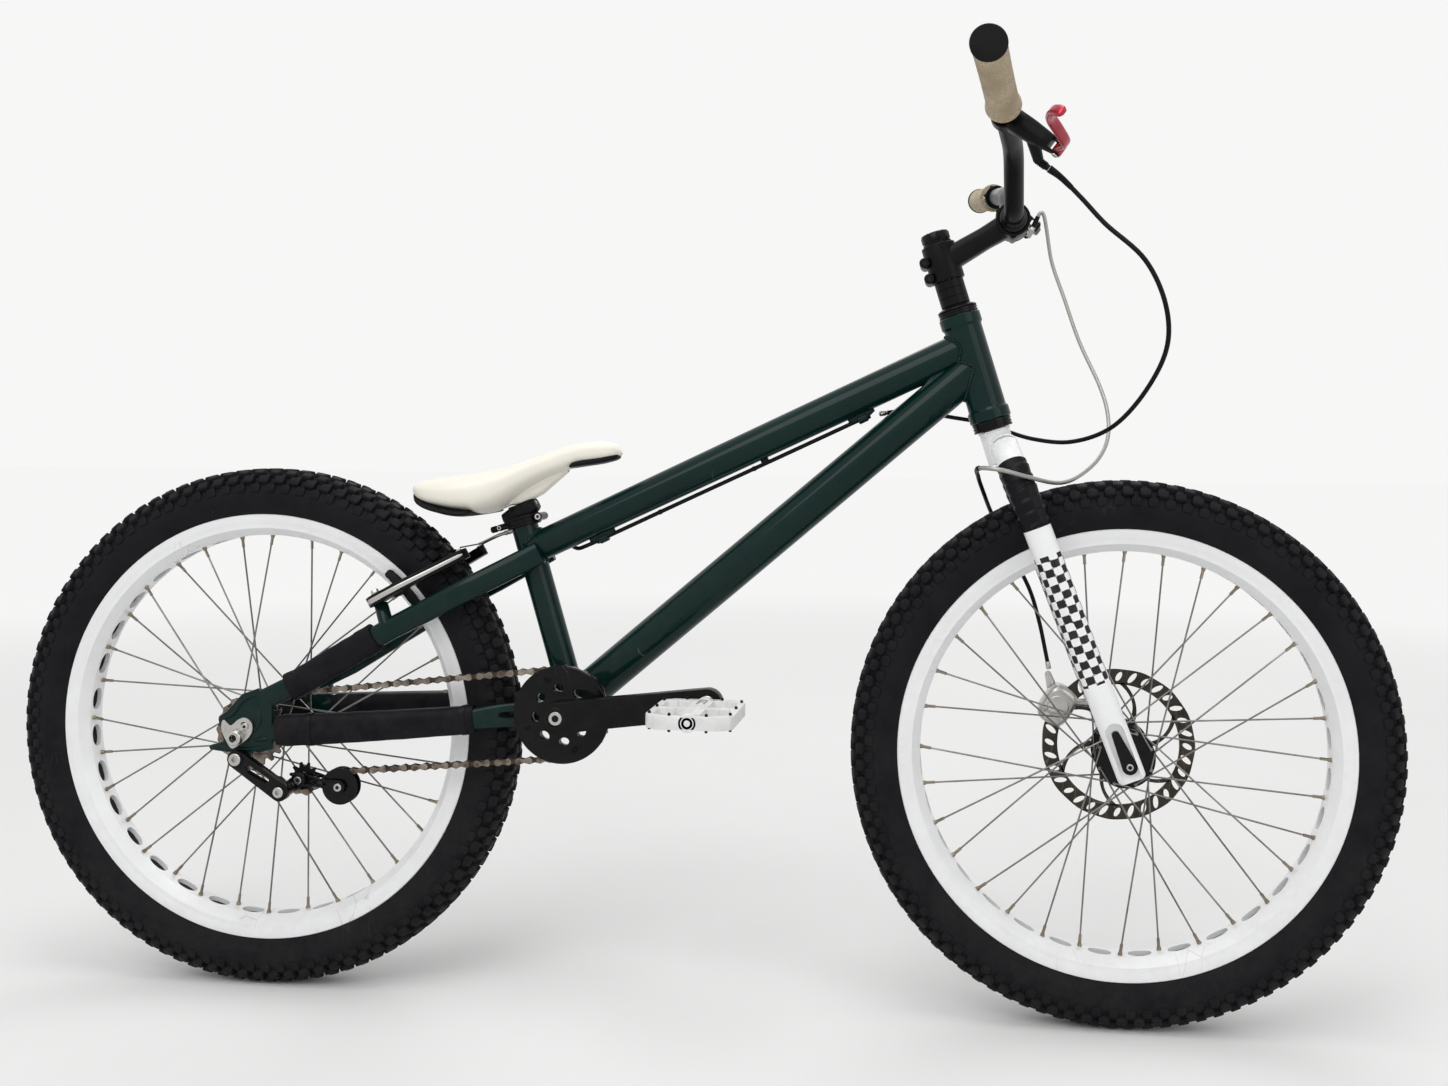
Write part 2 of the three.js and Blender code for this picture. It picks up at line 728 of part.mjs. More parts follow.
// A hub's profile between its two ends, with a neck beside each flange.
function hub(axle, right, leftEnd, flangeRight, flangeLeft, extra, endRadius) {
  const bore = axleRadius + seatGap;
  const profile = [
    [bore, -right], [endRadius, -right], [endRadius, -flangeRight - hubNeckLength],
    [hubNeckRadius, -flangeRight - flangeWall / 2], [flangeRadius, -flangeRight - flangeWall / 2],
    [flangeRadius, -flangeRight + flangeWall / 2], [hubNeckRadius, -flangeRight + flangeWall / 2],
    [hubWaistRadius, -flangeRight + hubNeckLength], [hubWaistRadius, flangeLeft - hubNeckLength],
    [hubNeckRadius, flangeLeft - flangeWall / 2], [flangeRadius, flangeLeft - flangeWall / 2],
    [flangeRadius, flangeLeft + flangeWall / 2], ...extra, [hubEndRadius, leftEnd], [bore, leftEnd],
  ];
  return turned(profile, axle, left);
}

function brakeRotor() {
  const low = rotorOffset - rotorWall / 2;
  const ringAt = (outer, inner, steps) => turned(
    [[inner, low], [outer, low], [outer, low + rotorWall],
      [inner, low + rotorWall]], frontAxle, left, steps);
  const boltCircle = hubEndRadius + 2 * seatGap + rotorCentreWidth;
  const pieces = [
    ringAt(rotorRadius, rotorRadius - rotorBand, rimSteps),
    ringAt(boltCircle, hubEndRadius + 2 * seatGap, roundSteps),
  ];
  for (let k = 0; k < rotorArms; k += 1) {
    const turn = wholeTurn * k / rotorArms;
    const sweep = turn + radians(rotorArmSweep);
    const inner = point(Math.cos(turn), 0, Math.sin(turn))
      .multiplyScalar(boltCircle - rotorCentreWidth / 2);
    const outer = point(Math.cos(sweep), 0, Math.sin(sweep))
      .multiplyScalar(rotorRadius - rotorBand / 2);
    const span = outer.clone().sub(inner);
    const across = span.clone().normalize();
    const centre = middle(inner, outer).add(frontAxle).add(point(0, rotorOffset, 0));
    const rising = across.clone().cross(left);
    pieces.push(block(centre, span.length(), rotorWall, rotorArmWidth, across, rising));
  }
  return joined(...pieces);
}

const rearWheel = new THREE.Group();
const frontWheel = new THREE.Group();
bike.add(rearWheel, frontWheel);
const spokeStep = 360 / (4 * spokePairs);

add(rearWheel, 'rear_tyre', tyre(rearAxle), 'tyreRubber', rearAxle);
add(rearWheel, 'rear_rim', rim(rearAxle), 'whitePaint', rearAxle);
const rearHubNeck = [[hubNeckRadius, rearFlangeLeft + flangeWall / 2],
  [hubNeckRadius, rearFlangeLeft + hubNeckLength]];
const rearHubShape = joined(
  hub(rearAxle, driverInner - seatGap, rearHubHalfWidth, rearFlangeRight, rearFlangeLeft, rearHubNeck,
    hubNeckRadius),
  spokes(rearAxle, -1, rearFlangeRight, 0), spokes(rearAxle, 1, rearFlangeLeft, spokeStep));
add(rearWheel, 'rear_hub', rearHubShape, 'blackMetal', rearAxle);

add(frontWheel, 'front_tyre', tyre(frontAxle), 'tyreRubber', frontAxle);
add(frontWheel, 'front_rim', rim(frontAxle), 'whitePaint', frontAxle);
const rotorSeat = rotorOffset - rotorWall / 2 - seatGap;
const frontHubNeck = [
  [rotorSeatRadius, frontFlangeLeft + flangeWall / 2],
  [rotorSeatRadius, rotorSeat],
  [hubEndRadius, rotorSeat],
];
const frontHubShape = joined(
  hub(frontAxle, frontHubHalfWidth, frontHubHalfWidth, frontFlangeRight, frontFlangeLeft, frontHubNeck,
    hubEndRadius),
  spokes(frontAxle, -1, frontFlangeRight, 0), spokes(frontAxle, 1, frontFlangeLeft, spokeStep));
add(frontWheel, 'front_hub', frontHubShape, 'blackMetal', frontAxle);
add(frontWheel, 'brake_rotor', brakeRotor(), 'silver', frontAxle);

// Frame

const frame = new THREE.Group();
bike.add(frame);

const shellShape = extra => rod(
  along(bracket, left, -bracketHalfWidth - extra), along(bracket, left, bracketHalfWidth + extra),
  bracketRadius + extra, roundSteps);
const seatTop = along(bracket, seatUp, seatTubeLength);
const seatTubeShape = extra => rod(bracket, along(seatTop, seatUp, extra), seatTubeRadius + extra,
  tubeSides);
const topRear = along(bracket, seatUp, topTubeJoint / seatUp.z);
const topFront = onSteer(topTubeHead);
const topTubeShape = extra => rod(
  topRear, topFront, topTubeRearRadius + extra, tubeSides, topTubeFrontRadius + extra);
const headTool = rod(
  onSteer(headBottom - overrun), onSteer(headTop + overrun), headRadius + seatGap, roundSteps);

// The head tube's collars stand out at both ends.
const collarSlope = headCollarRadius - headRadius;
add(frame, 'head_tube', turned([
  [headBoreRadius, headBottom], [headCollarRadius, headBottom], [headCollarRadius,
    headBottom + headCollarLength],
  [headRadius, headBottom + headCollarLength + collarSlope], [headRadius,
    headTop - headCollarLength - collarSlope],
  [headCollarRadius, headTop - headCollarLength], [headCollarRadius, headTop], [headBoreRadius, headTop],
], steerBase, steerUp), 'greenPaint', onSteer(headBottom));

// Brake arms turn on posts that stand square to the seatstays.
const brakeAlong = point(Math.cos(radians(brakeSlope)), 0, Math.sin(radians(brakeSlope)));
const brakeNormal = point(-brakeAlong.z, 0, brakeAlong.x);
function brakePivot(side) {
  const spoke = point(Math.cos(radians(brakeSweep)), 0, Math.sin(radians(brakeSweep)));
  return along(rearAxle, spoke, rimRadius - brakeInset).setY(side * brakeStandOff);
}
const leftTip = along(brakePivot(1), brakeAlong, brakeArmLength);

// The rear cable runs below the top tube between two stops and ends behind the brake.
const topDirection = topFront.clone().sub(topRear).normalize();
const topDown = left.clone().cross(topDirection);
function stopPlace(share) {
  const radius = THREE.MathUtils.lerp(topTubeRearRadius, topTubeFrontRadius, share);
  return along(topRear.clone().lerp(topFront, share), topDown, radius + stopStandOff);
}
const rearRoute = fitted(rearCordRoute, [
  [0, stopPlace(upperStopShare)], [rearStop, stopPlace(lowerStopShare)],
  [rearCordRoute.length - 1, along(along(leftTip, brakeAlong, noodleReach), brakeNormal,
    noodleRise).setY(noodleOut)],
]);

// A stop is a short sleeve below the top tube that holds the end of a cable.
function cableStop(route, at, toward) {
  const start = route[at];
  const direction = route[toward].clone().sub(start).normalize();
  const bore = cordRadius + seatGap;
  const ends = [[bore, 0], [stopRadius, 0], [stopRadius, stopLength], [bore, stopLength]];
  return turned(ends, start, direction, rodSteps);
}
const cordBore = rod(rearRoute[0], rearRoute[1], cordRadius + seatGap, rodSteps);
const topTubeSolid = cut(topTubeShape(0), seatTubeShape(seatGap), headTool);
add(frame, 'top_tube', cut(
  joined(topTubeSolid, cableStop(rearRoute, 0, 1), cableStop(rearRoute, rearStop, rearStop - 1)),
  cordBore,
), 'greenPaint', topRear);

const downRear = bracket.clone().add(point(0, 0, downTubeLift));
const downFront = onSteer(downTubeHead);
const downDirection = downFront.clone().sub(downRear).normalize();
const downTop = downDirection.clone().cross(left).negate();
const downLength = downFront.distanceTo(downRear);
const gusset = plate(
  gussetShares.map(([far, high]) => [far * downLength, high * downTubeRadius]),
  along(downRear, left, -gussetWall / 2), downDirection, downTop, gussetWall);
const downTubeSolid = joined(
  rod(along(downRear, downDirection, downTubeStart), downFront, downTubeRadius, tubeSides,
    downTubeFrontRadius), gusset);
add(frame, 'down_tube', cut(
  downTubeSolid, headTool, topTubeShape(seatGap), seatTubeShape(seatGap), shellShape(seatGap),
), 'greenPaint', downRear);

const postBore = rod(
  along(seatTop, seatUp, -seatPostDepth - overrun), along(seatTop, seatUp,
    overrun), seatPostRadius + seatGap, tubeSides);
add(frame, 'seat_tube', cut(seatTubeShape(0), shellShape(seatGap), postBore), 'greenPaint', bracket);

add(frame, 'bottom_bracket_shell', turned([
  [cartridgeRadius + seatGap, -bracketHalfWidth], [bracketRadius, -bracketHalfWidth],
  [bracketRadius, bracketHalfWidth], [cartridgeRadius + seatGap, bracketHalfWidth],
], bracket, left), 'greenPaint', bracket);

// Stays

const dropoutMiddle = dropoutInner + dropoutWall / 2;

// The row of a stay at a share of its reach, between the rows of its table.
function rowAt(rows, share) {
  const next = Math.max(1, rows.findIndex(row => row[0] >= share));
  const [a, b] = [rows[next - 1], rows[next]];
  const part = (share - a[0]) / (b[0] - a[0]);
  return a.map((value, column) => value + (b[column] - value) * part);
}

function stayRings(rows, side, reach, widen) {
  const centres = rows.map(([far, out, high]) => fromRear(far * reach, side * out * dropoutMiddle,
    high * reach));
  return rows.map(([far, , , width, height], k) => {
    const span = centres[Math.min(k + 1, rows.length - 1)].clone().sub(centres[Math.max(k - 1, 0)]);
    const rising = point(-span.z, 0, span.x).normalize();
    const [extraWidth, extraHeight] = widen(far);
    const halfWidth = width * stayHalfWidth + extraWidth;
    const halfHeight = height * stayHalfHeight + extraHeight;
    return oval(centres[k], left, rising, halfWidth, halfHeight, staySides, staySquareness);
  });
}

const stayShape = (rows, side, reach, extra) => loft(stayRings(rows, side, reach, () => [extra, extra]));

function dropoutPlate(side, extra) {
  const inner = side * (dropoutInner - extra);
  const outer = side * (dropoutInner + dropoutWall + extra);
  const scale = dropoutSpan + 2 * extra;
  const outline = dropoutShares.map(([a, b]) => [a * scale, b * scale]);
  const slot = strap([0, 0], [axleRadius, 0], axleRadius + seatGap, axleRadius + seatGap);
  return sidePlate(outline, rearAxle, Math.min(inner, outer), Math.max(inner, outer),
    extra ? [] : [slot]);
}

const hangerPlate = sidePlate(
  hangerShares.map(([a, b]) => [a * dropoutSpan, b * dropoutSpan]), rearAxle,
  -dropoutInner - dropoutWall, -dropoutInner);

function chainstay(side) {
  const [slotStart, slotEnd, slotHeight] = yokeSlotShares;
  const [, , rise] = rowAt(chainstayShares, (slotStart + slotEnd) / 2);
  const slotLength = (slotEnd - slotStart) * bracketReach;
  const slot = block(
    fromRear((slotStart + slotEnd) / 2 * bracketReach, side * dropoutMiddle / 2, rise * bracketReach),
    slotLength, dropoutMiddle, 2 * slotHeight * stayHalfHeight);
  const body = joined(stayShape(chainstayShares, side, bracketReach, 0), dropoutPlate(side, 0));
  return cut(side < 0 ? joined(body, hangerPlate) : body, slot, shellShape(seatGap));
}

function brakeBoss(side) {
  const pivot = brakePivot(side);
  const shoulder = along(pivot, brakeNormal, -brakeArmWall / 2 - seatGap);
  const neck = along(pivot, brakeNormal, -brakePostDepth / 2);
  const [far, out, high] = rowAt(seatstayShares, brakeStayShare);
  const foot = fromRear(far * stayTopReach, side * out * dropoutMiddle, high * stayTopReach);
  return joined(
    rod(foot, neck, brakeBaseRadius),
    rod(neck, shoulder, brakeBaseRadius),
    rod(along(shoulder, brakeNormal, -overrun), along(pivot, brakeNormal, brakeArmWall),
      brakePostRadius));
}

const seatstaySolid = (side, extra) => stayShape(seatstayShares, side, stayTopReach, extra);
const seatstayCut = (side, solidStay) => cut(
  solidStay, dropoutPlate(side, seatGap), seatTubeShape(seatGap), topTubeShape(seatGap));

const [, bridgeOut, bridgeHigh] = rowAt(seatstayShares, bridgeShare);
const bridgeEnd = side => fromRear(
  bridgeShare * stayTopReach, side * bridgeOut * dropoutMiddle, bridgeHigh * stayTopReach);
const bridge = cut(rod(bridgeEnd(-1), bridgeEnd(1), bridgeRadius), seatstaySolid(-1, seatGap));

function sleeve(rows, side, reach, [start, end], wallAt) {
  const inside = rows.filter(([far]) => far > start && far < end);
  const outer = loft(stayRings([rowAt(rows, start), ...inside, rowAt(rows, end)], side, reach, wallAt));
  return cut(outer, stayShape(rows, side, reach, seatGap));
}

const [sleeveStart, sleeveEnd] = chainSleeveShares;
const sleeveWallAt = far => [
  sleeveSideWall, THREE.MathUtils.mapLinear(far, sleeveStart, sleeveEnd, sleeveWallRear,
    sleeveWallFront)];
for (const [name, side] of sides) {
  const stay = seatstayCut(side, joined(seatstaySolid(side, 0), brakeBoss(side)));
  add(frame, `chainstay_${name}`, chainstay(side), 'greenPaint', rearAxle);
  add(frame, `seatstay_${name}`, side > 0 ? joined(stay, bridge) : stay, 'greenPaint', rearAxle);
  add(frame, `chainstay_sleeve_${name}`, sleeve(
    chainstayShares, side, bracketReach, chainSleeveShares, sleeveWallAt), 'sleeveRubber', rearAxle);
}
add(frame, 'seatstay_sleeve_right', sleeve(
  seatstayShares, -1, stayTopReach, seatSleeveShares, () => [sleeveSideWall,
    seatSleeveWall]), 'sleeveRubber', rearAxle);

// Headset

// A pressed cup: a neck inside the head tube and a shoulder outside it.
const bearingCup = (seat, way, height, radius, inner) => turned([
  [inner, -cupDepth], [headBoreRadius - seatGap, -cupDepth], [headBoreRadius - seatGap, seatGap],
  [radius, seatGap], [radius, height], [inner, height],
].map(([reach, distance]) => [reach, seat + way * distance]), steerBase, steerUp);
const steererBore = steererRadius + seatGap;
add(frame, 'headset_bearing_lower', bearingCup(
  headBottom, -1, lowerCupHeight, lowerCupRadius, steererBore), 'blackMetal', onSteer(headBottom));
add(frame, 'headset_bearing_upper', bearingCup(
  headTop, 1, upperCupHeight, upperCupRadius, steererBore), 'blackMetal', onSteer(headTop));

// Seat

const clampRadius = seatTubeRadius + clampWall;
const clampLow = along(seatTop, seatUp, -clampHeight);
const clampMiddle = middle(clampLow, seatTop);
const seatForward = left.clone().cross(seatUp);
const clampBolt = along(clampMiddle, seatForward, clampRadius + clampBoltRadius / 2);
const clampTab = block(
  along(clampMiddle, seatForward, -clampTabLength / 2), clampTabLength, clampTabWidth, clampTabHeight,
  seatForward, seatUp);
const clampBore = rod(
  along(clampLow, seatUp, -overrun), along(seatTop, seatUp,
    overrun), seatTubeRadius + seatGap, tubeSides);
add(frame, 'seat_clamp', cut(joined(
  rod(clampLow, seatTop, clampRadius, roundSteps), clampTab,
  rod(along(clampBolt, left, -clampBoltHalfLength), along(clampBolt, left, clampBoltHalfLength),
    clampBoltRadius),
), clampBore), 'blackMetal', clampMiddle);

const saddleShape = extra => loft(saddleShares.map(([far, top, bottom, width]) => oval(
  seatTop.clone().add(point(far * saddleLength - saddleBehind, 0,
    (top + bottom) / 2 * saddleHeight)), left, upward,
  width * saddleHalfWidth + extra, (top - bottom) / 2 * saddleHeight + extra, tubeSides, saddleSquareness)));
const postTop = along(seatTop, seatUp, seatPostRise);
const headTilt = radians(postHeadSlant);
const postHead = block(
  along(postTop, seatUp, postHeadHeight / 4), postHeadLength, postHeadWidth, postHeadHeight,
  point(Math.cos(headTilt), 0, Math.sin(headTilt)), point(-Math.sin(headTilt), 0, Math.cos(headTilt)));
const postBody = rod(along(seatTop, seatUp, -seatPostDepth), postTop, seatPostRadius, tubeSides);
add(frame, 'seat_post', cut(joined(postBody, postHead), saddleShape(seatGap)), 'blackMetal', seatTop);
add(frame, 'saddle', saddleShape(0), 'saddleCover', postTop);

// Bottom bracket, cranks and pedals

const drive = new THREE.Group();
bike.add(drive);
const cupOuter = bracketHalfWidth + cupWidth;
const bracketBore = spindleRadius + seatGap;
add(frame, 'bottom_bracket', turned([
  [bracketBore, -cupOuter], [cupRadius, -cupOuter], [cupRadius, -bracketHalfWidth - seatGap],
  [cartridgeRadius, -bracketHalfWidth - seatGap], [cartridgeRadius, bracketHalfWidth + seatGap],
  [cupRadius, bracketHalfWidth + seatGap], [cupRadius, cupOuter], [bracketBore, cupOuter],
], bracket, left), 'blackMetal', bracket);
add(drive, 'crank_spindle', rod(
  along(bracket, left, -spindleHalfLength), along(bracket, left,
    spindleHalfLength), spindleRadius, roundSteps,
), 'silver', bracket);

// A crank arm leans outward and thins toward the pedal.
function crankArm(side) {
  const direction = crankForward.clone().multiplyScalar(-side);
  const rising = point(-direction.z, 0, direction.x);
  const outline = strap([0, 0], [crankLength, 0], crankEndRadius, crankEndRadius, roundSteps);
  const shape = new THREE.Shape(outline.map(([a, b]) => new THREE.Vector2(a, b)));
  const bore = bracketBore;
  shape.holes = [new THREE.Path(disc(bore, [0, 0], roundSteps).map(([a, b]) => new THREE.Vector2(a, b)))];
  const geometry = new THREE.ExtrudeGeometry(shape, { depth: 1, bevelEnabled: false });
  const places = geometry.attributes.position;
  for (let k = 0; k < places.count; k += 1) {
    const far = THREE.MathUtils.clamp(places.getX(k) / crankLength, 0, 1);
    const inner = THREE.MathUtils.lerp(crankInner, crankInnerAtPedal, far);
    const wall = THREE.MathUtils.lerp(crankWallAtBracket, crankWallAtPedal, far);
    const place = along(along(bracket, direction, places.getX(k)), rising, places.getY(k));
    place.y = side * (inner + places.getZ(k) * wall);
    places.setXYZ(k, place.x, place.y, place.z);
  }
  const pedal = pedalCentre(side);
  const pedalEnd = point(pedal.x, side * pedalSpindleEnd, pedal.z);
  const pedalRoot = point(pedal.x, side * (crankInnerAtPedal + crankWallAtPedal / 2), pedal.z);
  return joined(solid(geometry), rod(pedalRoot, pedalEnd, pedalSpindleRadius, roundSteps));
}

const pedalCentre = side => along(bracket, crankForward, -side * crankLength);

// A pedal is a plate with four windows round a barrel, with corners cut and pins above and below.
function pedal(side) {
  const centre = pedalCentre(side);
  const width = pedalOuter - pedalInner;
  const outline = [
    [-pedalHalfLength, pedalCornerCut], [-pedalHalfLength + pedalCornerCut,
      0], [pedalHalfLength - pedalCornerCut, 0],
    [pedalHalfLength, pedalCornerCut], [pedalHalfLength, width - pedalCornerCut],
    [pedalHalfLength - pedalCornerCut, width], [-pedalHalfLength + pedalCornerCut, width],
    [-pedalHalfLength, width - pedalCornerCut],
  ];
  const windowsOf = end => [[0, 1], [1, 2]].map(([near, far]) => {
    const step = width / 2;
    const low = near * step + (near ? pedalRail / 2 : pedalRail);
    const high = far * step - (near ? pedalRail : pedalRail / 2);
    const [a, b] = [pedalBarrelRadius * end, (pedalHalfLength - pedalRail) * end];
    return [[a, low], [b, low + (near ? 0 : pedalRail)], [b, high - (near ? pedalRail : 0)], [a, high]];
  });
  const outward = point(0, side, 0);
  const rising = forward.clone().cross(outward);
  const origin = point(centre.x, side * pedalInner, centre.z);
  const slab = (shape, half) => plate(shape, along(origin, rising, -half), forward, outward, 2 * half);
  const openings = [...windowsOf(1), ...windowsOf(-1)].map(shape => slab(shape,
    pedalHalfHeight + overrun));
  const barrelEnd = point(centre.x, side * pedalOuter, centre.z);
  const pins = [];
  for (const end of [-1, 1]) {
    for (const far of [pedalCornerCut, width / 2, width - pedalCornerCut]) {
      const foot = along(along(origin, forward, end * (pedalHalfLength - pedalRail / 2)), outward, far);
      pins.push(rod(
        along(foot, upward, -pedalHalfHeight - pedalPinHeight), along(foot, upward,
          pedalHalfHeight + pedalPinHeight),
        pedalPinRadius, 4));
    }
  }
  const bore = rod(
    along(origin, outward, -overrun), point(centre.x, side * (pedalSpindleEnd + seatGap), centre.z),
    pedalSpindleRadius + seatGap, roundSteps);
  return cut(joined(cut(slab(outline, pedalHalfHeight), ...openings),
    rod(origin, barrelEnd, pedalBarrelRadius), ...pins), bore);
}

for (const [name, side] of sides) {
  add(drive, `crank_arm_${name}`, crankArm(side), 'blackMetal', bracket);
  add(drive, `pedal_${name}`, pedal(side), 'whitePaint', pedalCentre(side));
}

// Teeth of a chain wheel, as an outline that rises and falls once for each tooth.
function toothed(teeth, radius) {
  return Array.from({ length: 2 * teeth }, (_, k) => {
    const turn = wholeTurn * k / (2 * teeth);
    const reach = radius - (k % 2 ? toothDepth : 0);
    return [reach * Math.cos(turn), reach * Math.sin(turn)];
  });
}

// The chain's inner edge runs straight between its stations, so the teeth end below the middle of a run.
const toothTip = pitchRadius => (pitchRadius - chainHalfHeight) * Math.cos(chainTurn / 2) - seatGap;

function ringHoleOutlines() {
  return Array.from({ length: ringHoles }, (_, k) => {
    const turn = wholeTurn * k / ringHoles;
    const place = offset => [
      ringHoleCircle * Math.cos(turn) - offset * Math.sin(turn),
      ringHoleCircle * Math.sin(turn) + offset * Math.cos(turn),
    ];
    const half = (ringHoleLength - ringHoleWidth) / 2;
    return strap(place(-half), place(half), ringHoleWidth / 2, ringHoleWidth / 2, pinSteps);
  });
}

const ringBoltRods = (low, high) => Array.from({ length: ringBolts }, (_, k) => {
  const turn = wholeTurn * (k + 1 / 2) / ringBolts;
  const foot = bracket.clone().add(point(ringBoltCircle * Math.cos(turn), 0,
    ringBoltCircle * Math.sin(turn)));
  return rod(point(foot.x, low, foot.z), point(foot.x, high, foot.z), ringBoltRadius, pinSteps);
});
const wheelHole = disc(bracketBore);
const ringFace = -chainOffset - toothWall / 2;
const ringPlate = sidePlate(
  toothed(ringTeeth, toothTip(ringPitchRadius)), bracket, ringFace, ringFace + toothWall, [wheelHole]);
const ringBoss = turned([
  [bracketBore, -bashOffset + seatGap], [ringBossRadius, -bashOffset + seatGap], [ringBossRadius,
    ringFace],
  [bracketBore, ringFace],
], bracket, left);
add(drive, 'chainring', joined(ringPlate, ringBoss), 'blackMetal', bracket);
const bashPlate = sidePlate(
  disc(bashRadius, [0, 0], rimSteps), bracket, -bashOffset - bashWall, -bashOffset, [wheelHole,
    ...ringHoleOutlines()]);
const bashBoss = turned([
  [bracketBore, -crankInner + seatGap], [ringBossRadius, -crankInner + seatGap], [ringBossRadius,
    -bashOffset],
  [bracketBore, -bashOffset],
], bracket, left);
add(drive, 'bash_guard', joined(bashPlate, bashBoss,
  ...ringBoltRods(-bashOffset - bashWall, ringFace - seatGap)), 'blackMetal', bracket);

// Rear sprocket on its driver body
const driverOuter = driverInner + driverLength;
const driverBore = axleRadius + seatGap;
const driverBody = turned([
  [driverBore, -rearHubHalfWidth], [hubEndRadius, -rearHubHalfWidth], [hubEndRadius, -driverOuter],
  [driverRadius, -driverOuter], [driverRadius, -driverInner], [driverBore, -driverInner],
], rearAxle, left);
const sprocket = sidePlate(
  toothed(cogTeeth, toothTip(cogPitchRadius)), rearAxle, ringFace, ringFace + toothWall, [disc(driverBore)]);
add(drive, 'rear_sprocket', joined(sprocket, driverBody), 'silver', rearAxle);

// Rear axle with a cam and a bolt outside each dropout
const camInner = dropoutInner + dropoutWall + seatGap;
const axleEnd = camInner + camWall + axleBoltLength;
const axlePieces = [rod(along(rearAxle, left, -axleEnd), along(rearAxle, left, axleEnd), axleRadius)];
for (const [, side] of sides) {
  const [a, b] = [side * camInner, side * (camInner + camWall)];
  axlePieces.push(sidePlate(
    camShares.map(([x, z]) => [x * dropoutSpan, z * dropoutSpan]), rearAxle, Math.min(a, b), Math.max(a,
      b)));
  axlePieces.push(rod(along(rearAxle, left, b), along(rearAxle, left, side * axleEnd), axleBoltRadius));
}
add(frame, 'rear_axle', joined(...axlePieces), 'silver', rearAxle);

// Chain line: circles in the side plane, passed anticlockwise (1) or clockwise (-1) seen from the right

const guidePlace = fromRear(guideReach, 0, -guideDrop);
const tensionPlace = fromRear(tensionReach, 0, -tensionDrop);
const chainWheels = [
  { centre: bracket, radius: ringPitchRadius, way: 1 },
  { centre: rearAxle, radius: cogPitchRadius, way: 1 },
  { centre: guidePlace, radius: pulleyPitchRadius, way: 1 },
  { centre: tensionPlace, radius: pulleyPitchRadius, way: -1 },
];

// The heading of the straight run from one wheel to the next.
function runHeading(a, b) {
  const dx = b.centre.x - a.centre.x;
  const dz = b.centre.z - a.centre.z;
  return Math.atan2(dz, dx) + Math.asin((a.way * a.radius - b.way * b.radius) / Math.hypot(dx, dz));
}

// Where a chain with a heading touches a wheel, and the direction away from the chain's left side.
const touch = (wheel, heading) => wheel.centre.clone().add(
  point(Math.sin(heading), 0, -Math.cos(heading)).multiplyScalar(wheel.way * wheel.radius));

function chainPieces() {
  const count = chainWheels.length;
  const headings = chainWheels.map((wheel, k) => runHeading(wheel, chainWheels[(k + 1) % count]));
  return chainWheels.flatMap((wheel, k) => {
    const next = chainWheels[(k + 1) % count];
    const arriving = headings[(k + count - 1) % count];
    const turning = wheel.way * THREE.MathUtils.euclideanModulo(wheel.way * (headings[k] - arriving),
      wholeTurn);
    const start = touch(wheel, headings[k]);
    const end = touch(next, headings[k]);
    return [
      { steps: Math.ceil(Math.abs(turning) / chainTurn), at: share => ({
        place: touch(wheel, arriving + turning * share), heading: arriving + turning * share }) },
      { steps: 1, at: share => ({ place: start.clone().lerp(end, share), heading: headings[k] }) },
    ];
  });
}

function chain() {
  const rings = chainPieces().flatMap(piece => Array.from({ length: piece.steps }, (_, k) => {
    const { place, heading } = piece.at(k / piece.steps);
    const outward = point(Math.sin(heading), 0, -Math.cos(heading));
    const corner = (side, reach) => along(
      along(place, outward, reach * chainHalfHeight), left, -chainOffset + side * chainHalfWidth);
    return [corner(-1, -1), corner(-1, 1), corner(1, 1), corner(1, -1)];
  }));
  return loft(rings, true);
}
add(frame, 'chain', chain(), 'chainSteel', bracket);

// Chain tensioner: two rails from the hanger bolt to a knuckle, a carrier to the guide pulley's pin
const hangerBolt = fromRear(hangerReach, 0, -hangerDrop);
const linkKnuckle = fromRear(linkReach, 0, -linkDrop);
const flatPlace = place => [place.x - rearAxle.x, place.z - rearAxle.z];
const linkOutline = strap(flatPlace(hangerBolt), flatPlace(linkKnuckle), hangerRadius,
  linkKnuckleRadius, roundSteps);
const windowA = hangerBolt.clone().lerp(linkKnuckle, linkWindowShares[0]);
const windowB = hangerBolt.clone().lerp(linkKnuckle, linkWindowShares[1]);
const windowRadius = hangerRadius - linkRailWidth;
const linkWindow = strap(flatPlace(windowA), flatPlace(windowB), windowRadius, windowRadius, rodSteps);
const linkPlate = sidePlate(linkOutline, rearAxle, -linkInner - linkWall, -linkInner, [linkWindow]);
const yLine = (place, low, high, radius, steps) => rod(
  point(place.x, low, place.z), point(place.x, high, place.z), radius, steps);
const carrier = sidePlate(
  strap(flatPlace(linkKnuckle), flatPlace(guidePlace), linkKnuckleRadius, cageEndRadius), rearAxle,
  -carrierInner - carrierWall, -carrierInner);
const cageFar = -cageInner - seatGap;
const tensioner = joined(
  linkPlate, carrier, yLine(linkKnuckle, -linkInner - linkWall, -carrierInner,
    linkKnuckleRadius - linkRailWidth),
  yLine(guidePlace, -carrierInner - carrierWall, cageFar + cageWall, cagePinRadius),
  yLine(hangerBolt, -linkInner - linkWall - boltHead, -linkInner, hangerRadius - linkRailWidth / 2),
  yLine(linkKnuckle, -linkInner - linkWall - boltHead, -linkInner, linkRailWidth));
add(frame, 'tensioner_arm', tensioner, 'blackMetal', hangerBolt);

